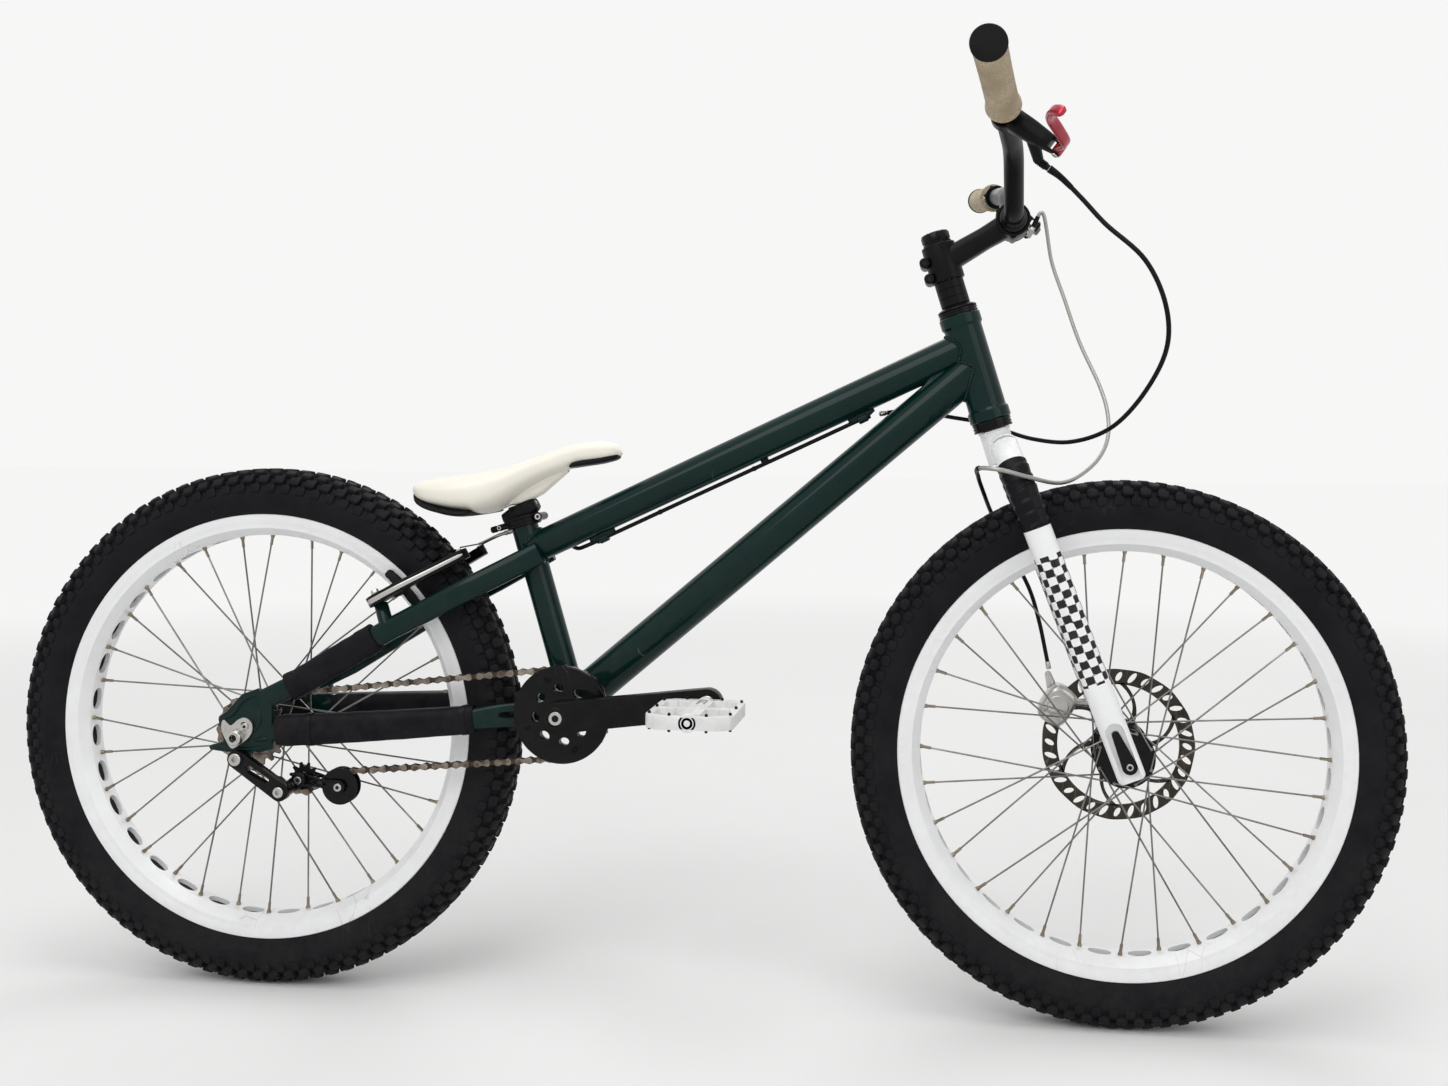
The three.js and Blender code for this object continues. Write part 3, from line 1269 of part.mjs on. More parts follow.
const cageOutline = strap(flatPlace(guidePlace), flatPlace(tensionPlace), cageEndRadius, cageEndRadius);
const pinHole = disc(cagePinRadius + seatGap, flatPlace(guidePlace), rodSteps);
const cagePlate = low => sidePlate(cageOutline, rearAxle, low, low + cageWall, [pinHole]);
add(drive, 'tensioner_cage', joined(
  cagePlate(-cageOuter - cageWall), cagePlate(-cageInner - cageWall),
  yLine(tensionPlace, -cageOuter - cageWall - boltHead, -cageInner,
    cagePinRadius)), 'blackMetal', guidePlace);

const pulleyHalf = chainHalfWidth;
const pulleyProfile = guard => [
  [cagePinRadius + seatGap, -pulleyHalf - guard], [guard ? guardRadius : toothTip(pulleyPitchRadius),
    -pulleyHalf - guard],
  ...(guard ? [[guardRadius, -pulleyHalf - seatGap],
    [toothTip(pulleyPitchRadius), -pulleyHalf - seatGap]] : []),
  [toothTip(pulleyPitchRadius), pulleyHalf], [cagePinRadius + seatGap, pulleyHalf],
];
const pulley = (place, guard) => turned(
  pulleyProfile(guard), point(place.x, -chainOffset, place.z), left, guard ? roundSteps : tubeSides);
add(drive, 'guide_pulley', pulley(guidePlace, 0), 'blackMetal', guidePlace);
add(drive, 'tension_pulley', pulley(tensionPlace, guardWall), 'blackMetal', tensionPlace);

// Fork

const steering = new THREE.Group();
bike.add(steering);

// The middle of a fork leg at a height above the axle; the turn is how far its top bends inward.
function legPlace(side, height, turn) {
  const rise = height + legBendHeight * Math.sin(turn);
  return frontAxle.clone().add(
    point(-legAxleOffset - legLeanShare * rise, side * legStandOff * Math.cos(turn), rise));
}

function forkLeg(side, extra) {
  const places = [legPlace(side, -legTip, 0), legPlace(side, legStraight, 0)];
  for (let k = 1; k <= legBendSteps; k += 1) {
    places.push(legPlace(side, legStraight, radians(legBendTurn) * k / legBendSteps));
  }
  const fore = point(1, 0, legLeanShare).normalize();
  return loft(places.map((place, k) => {
    const next = places[Math.min(k + 1, places.length - 1)];
    const span = next.clone().sub(places[Math.max(k - 1, 0)]).normalize();
    const across = span.clone().cross(fore).normalize();
    return oval(place, fore, across, legHalfLength + extra, legHalfWidth + extra, tubeSides,
      legSquareness);
  }));
}

const steererTop = spacerTop + stemHeight + capHeight / 2;
const crownTop = headBottom - lowerCupHeight - seatGap;
const axleBore = extra => rod(
  along(frontAxle, left, -pedalOuter), along(frontAxle, left, pedalOuter), axleRadius + extra);
const legOuter = legStandOff + legHalfWidth;
const legUp = point(-legLeanShare, 0, 1).normalize();
const legFore = point(1, 0, legLeanShare).normalize();
const pocketFloor = point(frontAxle.x, -legOuter + pocketDepth, frontAxle.z);
const pocket = plate(
  strap([-legAxleOffset, -legTip - pocketWidth], [-legAxleOffset, pocketTop - pocketWidth / 2],
    pocketWidth / 2,
    pocketWidth / 2), pocketFloor, legFore, legUp, pocketDepth + overrun);
const fork = cut(joined(
  forkLeg(-1, 0), forkLeg(1, 0), rod(onSteer(crownTop - crownHeight), onSteer(crownTop), crownRadius,
    roundSteps),
  rod(onSteer(crownTop - overrun), onSteer(steererTop), steererRadius,
    roundSteps)), pocket, axleBore(seatGap));
add(steering, 'fork', fork, 'whitePaint', onSteer(crownTop));

// Front axle: its caps bear on the legs and its lever lies in the right leg's pocket.
const capSeat = side => point(frontAxle.x, side * (legOuter + seatGap), frontAxle.z);
const capEnd = side => point(frontAxle.x, side * (legOuter + seatGap + axleCapLength), frontAxle.z);
const lever = plate(
  strap([0, 0], [-legAxleOffset, leverLength], axleCapRadius, leverTipRadius),
  along(pocketFloor, left, -seatGap), legFore, legUp, leverWall);
add(steering, 'front_axle', joined(
  rod(along(pocketFloor, left, -leverWall), capSeat(1), axleRadius), rod(capSeat(1), capEnd(1),
    axleCapRadius), lever,
), 'blackMetal', frontAxle);

// Headset cover, spacers, stem and cap
const coverLow = headTop + upperCupHeight + seatGap;
const coverTop = coverLow + coverHeight;
add(steering, 'headset_cover', turned([
  [steererBore, coverLow], [upperCupRadius, coverLow], [spacerRadius, coverTop], [steererBore, coverTop],
], steerBase, steerUp), 'blackMetal', onSteer(coverLow));
const spacerLow = coverTop + seatGap;
add(steering, 'headset_spacers', turned([
  [steererBore, spacerLow], [spacerRadius, spacerLow], [spacerRadius, spacerTop - seatGap],
  [steererBore, spacerTop - seatGap],
], steerBase, steerUp), 'blackMetal', onSteer(spacerLow));

const barCentre = along(onSteer(spacerTop + barLift), steerForward, barAhead);
const stemLow = spacerTop;
const stemTop = spacerTop + stemHeight;
const stemMiddle = onSteer((stemLow + stemTop) / 2);
const armSpan = barCentre.clone().sub(stemMiddle).normalize();
const armRising = armSpan.clone().cross(left).negate();
const stemBolts = stemBoltShares.map(share => {
  const seat = along(onSteer(stemLow + share * stemHeight), steerForward, -stemBoltSetBack);
  return rod(along(seat, left, -stemBoltHalfLength), along(seat, left, stemBoltHalfLength),
    stemBoltRadius);
});
const barBore = rod(
  along(barCentre, left, -barBulgeHalfLength - overrun), along(barCentre, left,
    barBulgeHalfLength + overrun),
  barBulgeRadius + seatGap, roundSteps);
const stem = cut(joined(
  rod(onSteer(stemLow), onSteer(stemTop), stemRadius, roundSteps), ...stemBolts,
  loft([stemMiddle, barCentre].map(place => oval(
    place, left, armRising, armHalfWidth, armHalfHeight, staySides, staySquareness))),
  rod(along(barCentre, left, -barClampHalfWidth), along(barCentre, left, barClampHalfWidth),
    barClampRadius, roundSteps),
), barBore, rod(onSteer(stemLow - overrun), onSteer(stemTop + overrun), steererBore, roundSteps));
add(steering, 'stem', stem, 'blackMetal', stemMiddle);
const capLow = stemTop + seatGap;
add(steering, 'top_cap', turned([
  [0, steererTop + seatGap], [steererBore, steererTop + seatGap], [steererBore, capLow], [capRadius,
    capLow],
  [capRadius, stemTop + capHeight], [0, stemTop + capHeight],
], steerBase, steerUp), 'blackMetal', onSteer(stemTop));

// Handlebar and grips

const barPlace = (side, out, back, rise) => barCentre.clone().add(point(-back, side * out, rise));
const barCorner = side => [
  barPlace(side, barEnd, barEndBack, barEndHeight), barPlace(side, barRiseEnd, barRiseBack,
    barRiseHeight),
  barPlace(side, barCentreHalf, 0, 0),
];
const barStations = bent([...barCorner(-1), ...barCorner(1).reverse()], barBend, 3);
const bulge = turned([
  [0, -barBulgeHalfLength - barTaper / 2], [barRadius, -barBulgeHalfLength - barTaper / 2],
  [barBulgeRadius, -barBulgeHalfLength], [barBulgeRadius, barBulgeHalfLength],
  [barRadius, barBulgeHalfLength + barTaper / 2], [0, barBulgeHalfLength + barTaper / 2],
], barCentre, left);
add(steering, 'handlebar', joined(tube(barStations, barRadius), bulge), 'blackMetal', barCentre);

const barTip = side => barPlace(side, barEnd, barEndBack, barEndHeight);
const barShoulder = side => barPlace(side, barRiseEnd, barRiseBack, barRiseHeight);
const barOutward = side => barTip(side).sub(barShoulder(side)).normalize();
// A place on the sloping end of the bar at a distance out from the bike's middle.
const onBar = (side, out) => {
  const direction = barOutward(side);
  return along(barShoulder(side), direction, (out - barRiseEnd) / Math.abs(direction.y));
};

function grip(side) {
  const direction = barOutward(side);
  const length = onBar(side, gripInner).distanceTo(barTip(side));
  const bore = barRadius + seatGap;
  const tip = length + seatGap;
  const body = turned([
    [bore, 0], [gripRadius + gripLip, 0], [gripRadius + gripLip, gripLip], [gripRadius, 2 * gripLip],
    [gripRadius, length], [plugRadius, length], [plugRadius, tip + 2 * plugWall], [0, tip + 2 * plugWall],
    [0, tip], [bore, tip],
  ], onBar(side, gripInner), direction);
  const trim = block(
    point(barTip(side).x, side * (barEnd + plugWall + overrun),
      barTip(side).z), 3 * plugRadius, 2 * overrun, 3 * plugRadius);
  return cut(body, trim);
}

// Hand levers: a clamp and a tapering body, and a curved blade on a pin between the body's cheeks

const leverAxes = side => {
  const outward = barOutward(side);
  const aim = point(Math.cos(radians(leverDrop)), 0, -Math.sin(radians(leverDrop)));
  const reach = aim.addScaledVector(outward, -aim.dot(outward)).normalize();
  return { outward, reach, normal: outward.clone().cross(reach).normalize() };
};
const leverSeat = side => onBar(side, leverClamp);
const bladePin = side => along(leverSeat(side), leverAxes(side).reach, leverReach);

// Each cable starts at a lever; the front one ends above the caliper's arm.
const caliperCentre = frontAxle.clone().add(point(-caliperBack, 0, caliperRise));
const armPivot = point(caliperCentre.x, caliperOuter + seatGap, caliperCentre.z);
const armTip = armPivot.clone().add(point(-caliperArmBack, 0, caliperArmLength));
function cordStart(side, inset, ahead, below) {
  const { outward, reach, normal } = leverAxes(side);
  return along(along(along(leverSeat(side), outward, -inset), reach, ahead), normal, side * below);
}
const frontRoute = fitted(frontCordRoute, [
  [0, cordStart(1, cordInsetLeft, cordAheadLeft, cordBelowLeft)],
  [frontCordRoute.length - 1, armTip.clone().add(point(cordBeforeArm, cordOutsideArm, cordPastArm))],
]);
const rearStart = fromRear(...rearCordRoute[0]);
const loopFinish = fromRear(...rearLoopRoute[rearLoopRoute.length - 1]);
const loopRoute = fitted(rearLoopRoute, [
  [0, cordStart(-1, cordInsetRight, cordAheadRight, cordBelowRight)],
  [rearLoopRoute.length - 1, loopFinish.add(rearRoute[0]).sub(rearStart)],
]);

function leverBody(side) {
  const { outward, reach, normal } = leverAxes(side);
  const seat = leverSeat(side);
  const clamp = turned([
    [barRadius + seatGap, -leverClampWidth / 2], [leverClampRadius, -leverClampWidth / 2],
    [leverClampRadius, leverClampWidth / 2], [barRadius + seatGap, leverClampWidth / 2],
  ], seat, outward);
  const rings = leverBodyShares.map(([far, width, height]) => oval(
    along(seat, reach, far * leverReach), outward, normal, width * leverBodyHalf,
    height * leverBodyHalf, staySides, staySquareness));
  const pin = bladePin(side);
  const forkCut = block(
    along(pin, reach, leverBodyHalf / 2), 3 * leverBodyHalf, leverForkGap, 3 * leverBodyHalf, reach, outward);
  const pinRod = rod(along(pin, normal, -leverBodyHalf * pinShare),
    along(pin, normal, leverBodyHalf * pinShare), bladePinRadius);
  const route = side < 0 ? loopRoute : frontRoute;
  const leaving = route[1].clone().sub(route[0]).normalize();
  const barrelBack = along(route[0], leaving, -barrelLength);
  const barrel = joined(
    rod(barrelBack, along(route[0], leaving, -seatGap), barrelRadius, cordSides),
    rod(barrelBack, along(seat, reach, leverReach / 2), barrelRadius, cordSides));
  const bore = rod(along(seat, outward, -leverReach), along(seat, outward, leverReach),
    barRadius + seatGap, roundSteps);
  const body = loft(rings);
  return cut(joined(clamp, cut(body, forkCut), pinRod, barrel), bore);
}

function leverBlade(side) {
  const { outward, reach, normal } = leverAxes(side);
  const pin = bladePin(side);
  const rings = bladeShares.map(([far, ahead, size]) => oval(
    along(along(pin, outward, far * bladeLength), reach, ahead * bladeLength), reach, normal,
    size * bladeHalfWall, Math.min(size * bladeHalfWidth,
      leverForkGap / 2 - seatGap), cordSides, staySquareness));
  const bore = rod(
    along(pin, normal, -leverForkGap), along(pin, normal, leverForkGap), bladePinRadius + seatGap);
  const eye = rod(
    along(pin, normal, -leverForkGap / 2 + seatGap), along(pin, normal,
      leverForkGap / 2 - seatGap), bladeEyeRadius);
  return cut(joined(loft(rings), eye), bore);
}

for (const [name, side] of sides) {
  add(steering, `grip_${name}`, grip(side), 'creamGrip', onBar(side, gripInner));
  add(steering, `lever_body_${name}`, leverBody(side), 'blackMetal', leverSeat(side));
  add(steering, `lever_blade_${name}`, leverBlade(side), side < 0 ? 'redMetal' : 'blackMetal',
    bladePin(side));
}

// Rim brake arms with their pads

function brakeArm(side) {
  const pivot = brakePivot(side);
  const outward = point(0, side, 0);
  const origin = along(pivot, brakeNormal, -brakeArmWall / 2);
  const outline = brakeArmShares.map(([far, out]) => [far * brakeArmLength, out * brakeArmLength]);
  const growing = brakeAlong.clone().cross(outward);
  const base = growing.dot(brakeNormal) > 0 ? origin : along(pivot, brakeNormal, brakeArmWall / 2);
  const body = plate(outline, base, brakeAlong, outward, brakeArmWall);
  const bore = rod(
    along(pivot, brakeNormal, -brakeArmWall), along(pivot, brakeNormal,
      2 * brakeArmWall), brakePostRadius + seatGap);
  const padPlace = along(pivot, brakeAlong, padReach);
  const padSpoke = padPlace.clone().sub(rearAxle).setY(0).normalize();
  const padAlong = point(-padSpoke.z, 0, padSpoke.x);
  const padFace = rimHalfWidth + padGap;
  const pad = block(
    point(padPlace.x, side * (padFace + padWall / 2),
      padPlace.z), 2 * padHalfLength, padWall, 2 * padHalfHeight,
    padAlong, padSpoke);
  const post = rod(
    point(padPlace.x, side * (padFace + padWall / 2), padPlace.z),
    point(padPlace.x, side * (brakeStandOff + padPostRadius), padPlace.z), padPostRadius);
  return joined(cut(body, bore), pad, post);
}

for (const [name, side] of sides) {
  add(drive, `brake_arm_${name}`, brakeArm(side), 'blackMetal', brakePivot(side));
}

// The noodle leads the cable into the left arm, and a bare wire goes on to the right arm.
const cordEnd = rearRoute[rearRoute.length - 1];
const cordFinish = cordEnd.clone().sub(rearRoute[rearRoute.length - 2]).normalize();
const noodleStart = along(cordEnd, cordFinish, seatGap);
const noodleSeat = along(leftTip, brakeNormal,
  brakeArmWall / 2 + cordRadius + seatGap).setY(noodleSeatOut);
const noodleBend = new THREE.CatmullRomCurve3([
  noodleStart, along(noodleStart, cordFinish, noodleLead), noodleSeat, along(noodleSeat, left,
    -noodleTip),
], false, 'centripetal');
const wireFar = along(noodleSeat, left, -2 * noodleSeatOut);
const noodle = joined(
  tube(noodleBend.getSpacedPoints(8), cordRadius - seatGap, cordSides),
  rod(noodleSeat, wireFar, wireRadius, 4));
add(drive, 'brake_noodle', noodle, 'silver', leftTip);

// Disc brake

const caliperAim = caliperCentre.clone().sub(frontAxle).setY(0).normalize();
const caliperSide = point(-caliperAim.z, 0, caliperAim.x);
const caliperWidth = caliperOuter - caliperInner;
const caliperMiddle = point(caliperCentre.x, (caliperInner + caliperOuter) / 2, caliperCentre.z);
const caliperBody = block(
  caliperMiddle, 2 * caliperHalfLength, caliperWidth, 2 * caliperHalfHeight, caliperAim, caliperSide);
const rotorSlot = rod(
  point(frontAxle.x, rotorOffset - caliperSlot / 2, frontAxle.z),
  point(frontAxle.x, rotorOffset + caliperSlot / 2,
    frontAxle.z), rotorRadius + seatGap * overrun, rimSteps);
const bracketArm = rod(
  point(caliperCentre.x, caliperOuter - bracketWall, caliperCentre.z),
  legPlace(1, caliperRise, 0).setY(caliperOuter - bracketWall), bracketWall);
const caliper = cut(joined(caliperBody, bracketArm), rotorSlot, forkLeg(1, seatGap));
add(steering, 'brake_caliper', caliper, 'silver', caliperMiddle);

add(steering, 'caliper_arm', joined(sidePlate(
  strap(
    [armPivot.x - frontAxle.x, armPivot.z - frontAxle.z], [armTip.x - frontAxle.x,
      armTip.z - frontAxle.z],
    caliperArmRadius, caliperPinRadius),
  frontAxle, armPivot.y, armPivot.y + caliperArmWall)), 'silver', armPivot);

// Cables

add(steering, 'front_brake_cable', cord(frontRoute, 42), 'greyCord', frontRoute[0]);
add(frame, 'rear_brake_loop', cord(loopRoute, 36), 'blackCord', loopRoute[0]);
add(frame, 'rear_brake_cable', cord(rearRoute, 24), 'blackCord', rearRoute[0]);

export default bike;
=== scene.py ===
import bpy
import bmesh
import json
import math
from mathutils import Vector, Matrix
from mathutils.geometry import tessellate_polygon


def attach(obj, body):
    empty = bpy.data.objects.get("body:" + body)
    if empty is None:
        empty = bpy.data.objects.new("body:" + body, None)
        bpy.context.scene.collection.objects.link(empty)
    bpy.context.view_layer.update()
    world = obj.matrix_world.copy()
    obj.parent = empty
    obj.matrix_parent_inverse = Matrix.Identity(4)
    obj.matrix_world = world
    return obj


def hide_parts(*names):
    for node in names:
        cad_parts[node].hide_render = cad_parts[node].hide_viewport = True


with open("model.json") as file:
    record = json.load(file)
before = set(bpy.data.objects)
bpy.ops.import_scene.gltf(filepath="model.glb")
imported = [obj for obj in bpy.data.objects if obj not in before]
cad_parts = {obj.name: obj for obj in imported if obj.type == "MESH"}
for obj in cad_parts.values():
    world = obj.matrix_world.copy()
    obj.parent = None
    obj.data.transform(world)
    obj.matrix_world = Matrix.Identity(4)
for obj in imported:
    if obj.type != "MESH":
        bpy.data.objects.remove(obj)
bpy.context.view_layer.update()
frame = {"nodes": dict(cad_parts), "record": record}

print("frame loaded:", len(frame["nodes"]), "nodes")

# Places are in millimetres until a mesh is made: X forward, Y to the left, Z up.
mm = 0.001
bike = {"wheelBase": 1036, "wheelRadius": 316, "steerTilt": 17.5, "forkRake": 33}
forward, leftward, upward = Vector((1, 0, 0)), Vector((0, 1, 0)), Vector((0, 0, 1))
rearAxle = Vector((-bike["wheelBase"] / 2, 0, bike["wheelRadius"]))
frontAxle = Vector((bike["wheelBase"] / 2, 0, bike["wheelRadius"]))
tilt = math.radians(bike["steerTilt"])
steerUp = Vector((-math.sin(tilt), 0, math.cos(tilt)))
steerForward = Vector((math.cos(tilt), 0, math.sin(tilt)))
steerBase = frontAxle - steerForward * bike["forkRake"]
bracket = rearAxle + Vector((384, 0, 33))


def fromRear(x, y, z):
    return rearAxle + Vector((x, y, z))


def onSteer(height):
    return steerBase + steerUp * height


# A direction in the bike's middle plane, by its angle above forward.
def heading(angle):
    turn = math.radians(angle)
    return Vector((math.cos(turn), 0, math.sin(turn)))


# The direction a quarter turn above another one in the middle plane.
def risingFrom(way):
    return Vector((-way.z, 0, way.x))


def polar(radius, angle):
    return (radius * math.cos(angle), radius * math.sin(angle))


sideNames = {-1: "Right", 1: "Left"}


# The camera stands where the photograph was taken from.
cameraView = {"place": (334.06, -1531.38, 662.73), "yaw": -0.100333, "pitch": -0.001869, "roll": 0.0116845,
              "focalPixels": 1296.714, "centre": (835.71, 452.41), "frame": (1448, 1086)}


def makeCamera(v):
    yaw, pitch, roll = v["yaw"], v["pitch"], v["roll"]
    ahead = Vector((math.sin(yaw) * math.cos(pitch), math.cos(yaw) * math.cos(pitch), math.sin(pitch)))
    level = Vector((math.cos(yaw), -math.sin(yaw), 0))
    raised = level.cross(ahead)
    across = math.cos(roll) * level + math.sin(roll) * raised
    above = -math.sin(roll) * level + math.cos(roll) * raised
    camera = bpy.data.objects.new("camera", bpy.data.cameras.new("camera"))
    bpy.context.scene.collection.objects.link(camera)
    turn = Matrix((across, above, -ahead)).transposed().to_4x4()
    camera.matrix_world = Matrix.Translation(Vector(v["place"]) * mm) @ turn
    width, height = v["frame"]
    camera.data.sensor_width = 36
    camera.data.lens = v["focalPixels"] / width * 36
    camera.data.shift_x = (width / 2 - v["centre"][0]) / width
    camera.data.shift_y = (v["centre"][1] - height / 2) / width
    camera.data.clip_start, camera.data.clip_end = 0.05, 100
    bpy.context.scene.camera = camera


makeCamera(cameraView)
bpy.context.scene.view_settings.view_transform = "Standard"


def addNode(tree, kind, place=None, **settings):
    node = tree.nodes.new(kind)
    for key, value in settings.items():
        setattr(node, key, value)
    for key, value in (place or {}).items():
        node.inputs[key].default_value = value
    return node


def join(tree, source, target):
    tree.links.new(source, target)
    return target


def maths(tree, kind, a, b=0.0, c=None):
    node = addNode(tree, "ShaderNodeMath", operation=kind)
    for index, value in enumerate((a, b) if c is None else (a, b, c)):
        if hasattr(value, "is_linked"):
            join(tree, value, node.inputs[index])
        else:
            node.inputs[index].default_value = value
    return node.outputs[0]


def remap(tree, value, low, high, outLow=0.0, outHigh=1.0):
    limits = {"From Min": low, "From Max": high, "To Min": outLow, "To Max": outHigh}
    node = addNode(tree, "ShaderNodeMapRange", limits)
    join(tree, value, node.inputs["Value"])
    return node.outputs[0]


def mixColour(tree, factor, a, b):
    node = addNode(tree, "ShaderNodeMix", data_type="RGBA")
    for socket, value in ((node.inputs[0], factor), (node.inputs[6], a), (node.inputs[7], b)):
        if hasattr(value, "is_linked"):
            join(tree, value, socket)
        else:
            socket.default_value = (*value, 1) if isinstance(value, tuple) and len(value) == 3 else value
    return node.outputs[2]


# Coordinates taken apart into X, Y and Z.
def splitPlace(tree, source):
    split = addNode(tree, "ShaderNodeSeparateXYZ")
    join(tree, source, split.inputs[0])
    return split.outputs


def texture(tree, kind, place, values=None, **settings):
    node = addNode(tree, "ShaderNodeTex" + kind, values, **settings)
    join(tree, place, node.inputs["Vector"])
    return node


def newGroup(name, ins, outs, kind="ShaderNodeTree"):
    group = bpy.data.node_groups.new(name, kind)
    for label, kind, value in ins:
        socket = group.interface.new_socket(name=label, in_out="INPUT", socket_type=kind)
        if value is not None:
            socket.default_value = value
    for label, kind in outs:
        group.interface.new_socket(name=label, in_out="OUTPUT", socket_type=kind)
    return group, group.nodes.new("NodeGroupInput"), group.nodes.new("NodeGroupOutput")


# Blotches and fine grain in one mask, for uneven colour and gloss.
def mottleGroup():
    g, start, end = newGroup("mottle",
                             [("Vector", "NodeSocketVector", None), ("Scale", "NodeSocketFloat", 20.0),
                              ("Fineness", "NodeSocketFloat", 8.0), ("Contrast", "NodeSocketFloat", 1.0)],
                             [("Mask", "NodeSocketFloat"), ("Grain", "NodeSocketFloat")])
    big = texture(g, "Noise", start.outputs["Vector"], {"Detail": 4.0, "Roughness": 0.6})
    fine = texture(g, "Noise", start.outputs["Vector"], {"Detail": 2.0, "Roughness": 0.7})
    join(g, start.outputs["Scale"], big.inputs["Scale"])
    join(g, maths(g, "MULTIPLY", start.outputs["Scale"], start.outputs["Fineness"]), fine.inputs["Scale"])
    centred = maths(g, "MULTIPLY", maths(g, "SUBTRACT", big.outputs["Fac"], 0.5), start.outputs["Contrast"])
    mask = maths(g, "ADD", maths(g, "MULTIPLY", centred, 2.0), 0.5)
    clamp = addNode(g, "ShaderNodeClamp")
    join(g, mask, clamp.inputs["Value"])
    join(g, clamp.outputs[0], end.inputs["Mask"])
    join(g, fine.outputs["Fac"], end.inputs["Grain"])
    return g


# Thin scratches: the narrow edges of stretched, warped cells, kept in scattered patches.
def scratchGroup():
    g, start, end = newGroup("scratches",
                             [("Vector", "NodeSocketVector", None), ("Scale", "NodeSocketFloat", 60.0),
                              ("Amount", "NodeSocketFloat", 0.3)],
                             [("Mask", "NodeSocketFloat")])
    stretch = addNode(g, "ShaderNodeVectorMath", operation="MULTIPLY")
    stretch.inputs[1].default_value = (1.0, 0.8, 0.22)
    join(g, start.outputs["Vector"], stretch.inputs[0])
    cells = texture(g, "Voronoi", stretch.outputs[0], feature="DISTANCE_TO_EDGE")
    join(g, start.outputs["Scale"], cells.inputs["Scale"])
    line = remap(g, cells.outputs["Distance"], 0.0, 0.02, 1.0, 0.0)
    patch = texture(g, "Noise", start.outputs["Vector"], {"Scale": 14.0, "Detail": 5.0})
    limit = maths(g, "SUBTRACT", 0.78, maths(g, "MULTIPLY", start.outputs["Amount"], 0.4))
    where = maths(g, "GREATER_THAN", patch.outputs["Fac"], limit)
    join(g, maths(g, "MULTIPLY", line, where), end.inputs["Mask"])
    return g


# Dirt that thickens toward the ground and in blotches.
def dirtGroup():
    g, start, end = newGroup("dirt",
                             [("Vector", "NodeSocketVector", None), ("Top", "NodeSocketFloat", 0.5),
                              ("Amount", "NodeSocketFloat", 0.5)],
                             [("Mask", "NodeSocketFloat")])
    height = splitPlace(g, start.outputs["Vector"])["Z"]
    low = maths(g, "SUBTRACT", 1.0, maths(g, "DIVIDE", height, start.outputs["Top"]))
    noise = texture(g, "Noise", start.outputs["Vector"], {"Scale": 42.0, "Detail": 8.0, "Roughness": 0.7})
    spots = remap(g, noise.outputs["Fac"], 0.42, 0.72)
    lowClamp = addNode(g, "ShaderNodeClamp", {"Min": 0.08})
    join(g, low, lowClamp.inputs["Value"])
    lowSpots = maths(g, "MULTIPLY", spots, lowClamp.outputs[0])
    join(g, maths(g, "MULTIPLY", lowSpots, start.outputs["Amount"]), end.inputs["Mask"])
    return g


groups = {"mottle": mottleGroup(), "scratches": scratchGroup(), "dirt": dirtGroup()}


def useGroup(tree, name, vector, **values):
    node = addNode(tree, "ShaderNodeGroup", node_tree=groups[name])
    join(tree, vector, node.inputs["Vector"])
    for key, value in values.items():
        node.inputs[key].default_value = value
    return node


def startMaterial(name, values):
    material = bpy.data.materials.new(name)
    material.use_nodes = True
    tree = material.node_tree
    tree.nodes.clear()
    shader = addNode(tree, "ShaderNodeBsdfPrincipled")
    output = addNode(tree, "ShaderNodeOutputMaterial")
    join(tree, shader.outputs[0], output.inputs["Surface"])
    place = addNode(tree, "ShaderNodeTexCoord").outputs["Object"]
    for key, value in values.get("shader", {}).items():
        shader.inputs[key].default_value = value
    return material, tree, shader, place


def finishSurface(tree, shader, place, colour, v):
    mottle = useGroup(tree, "mottle", place, Scale=v.get("blotchScale", 18), Fineness=v.get("fineness", 20),
                      Contrast=v.get("contrast", 1))
    scratch = useGroup(tree, "scratches", place, Scale=v.get("scratchScale", 55),
                       Amount=v.get("scratches", 0.3))
    dirt = useGroup(tree, "dirt", place, Top=v.get("dirtTop", 0.7), Amount=v.get("dirt", 0.35))
    if "shade" in v:
        colour = mixColour(tree, mottle.outputs["Mask"], colour, v["shade"])
    scratchShown = maths(tree, "MULTIPLY", scratch.outputs["Mask"], v.get("scratchShow", 0.5))
    colour = mixColour(tree, scratchShown, colour, v.get("scratchColour", (0.4, 0.4, 0.38)))
    colour = mixColour(tree, dirt.outputs["Mask"], colour, v.get("dirtColour", (0.16, 0.13, 0.1)))
    join(tree, colour, shader.inputs["Base Color"])
    low, high = v.get("roughness", (0.3, 0.45))
    rough = remap(tree, mottle.outputs["Mask"], 0.0, 1.0, low, high)
    rough = maths(tree, "ADD", rough, maths(tree, "MULTIPLY", dirt.outputs["Mask"], 0.4))
    rough = maths(tree, "ADD", rough, maths(tree, "MULTIPLY", scratch.outputs["Mask"], 0.2))
    rough = maths(tree, "MINIMUM", rough, 1.0)
    join(tree, rough, shader.inputs["Roughness"])
    height = maths(tree, "ADD", maths(tree, "MULTIPLY", mottle.outputs["Grain"], v.get("grain", 0.3)),
                   maths(tree, "MULTIPLY", scratch.outputs["Mask"], -v.get("scratchDepth", 0.3)))
    if "height" in v:
        height = maths(tree, "ADD", height, v["height"])
    bump = addNode(tree, "ShaderNodeBump",
                   {"Strength": v.get("bump", 0.2), "Distance": v.get("bumpDistance", 0.0004)})
    join(tree, height, bump.inputs["Height"])
    join(tree, bump.outputs[0], shader.inputs["Normal"])


def plainFinish(name, v):
    material, tree, shader, place = startMaterial(name, v)
    finishSurface(tree, shader, place, v["colour"], v)
    return material


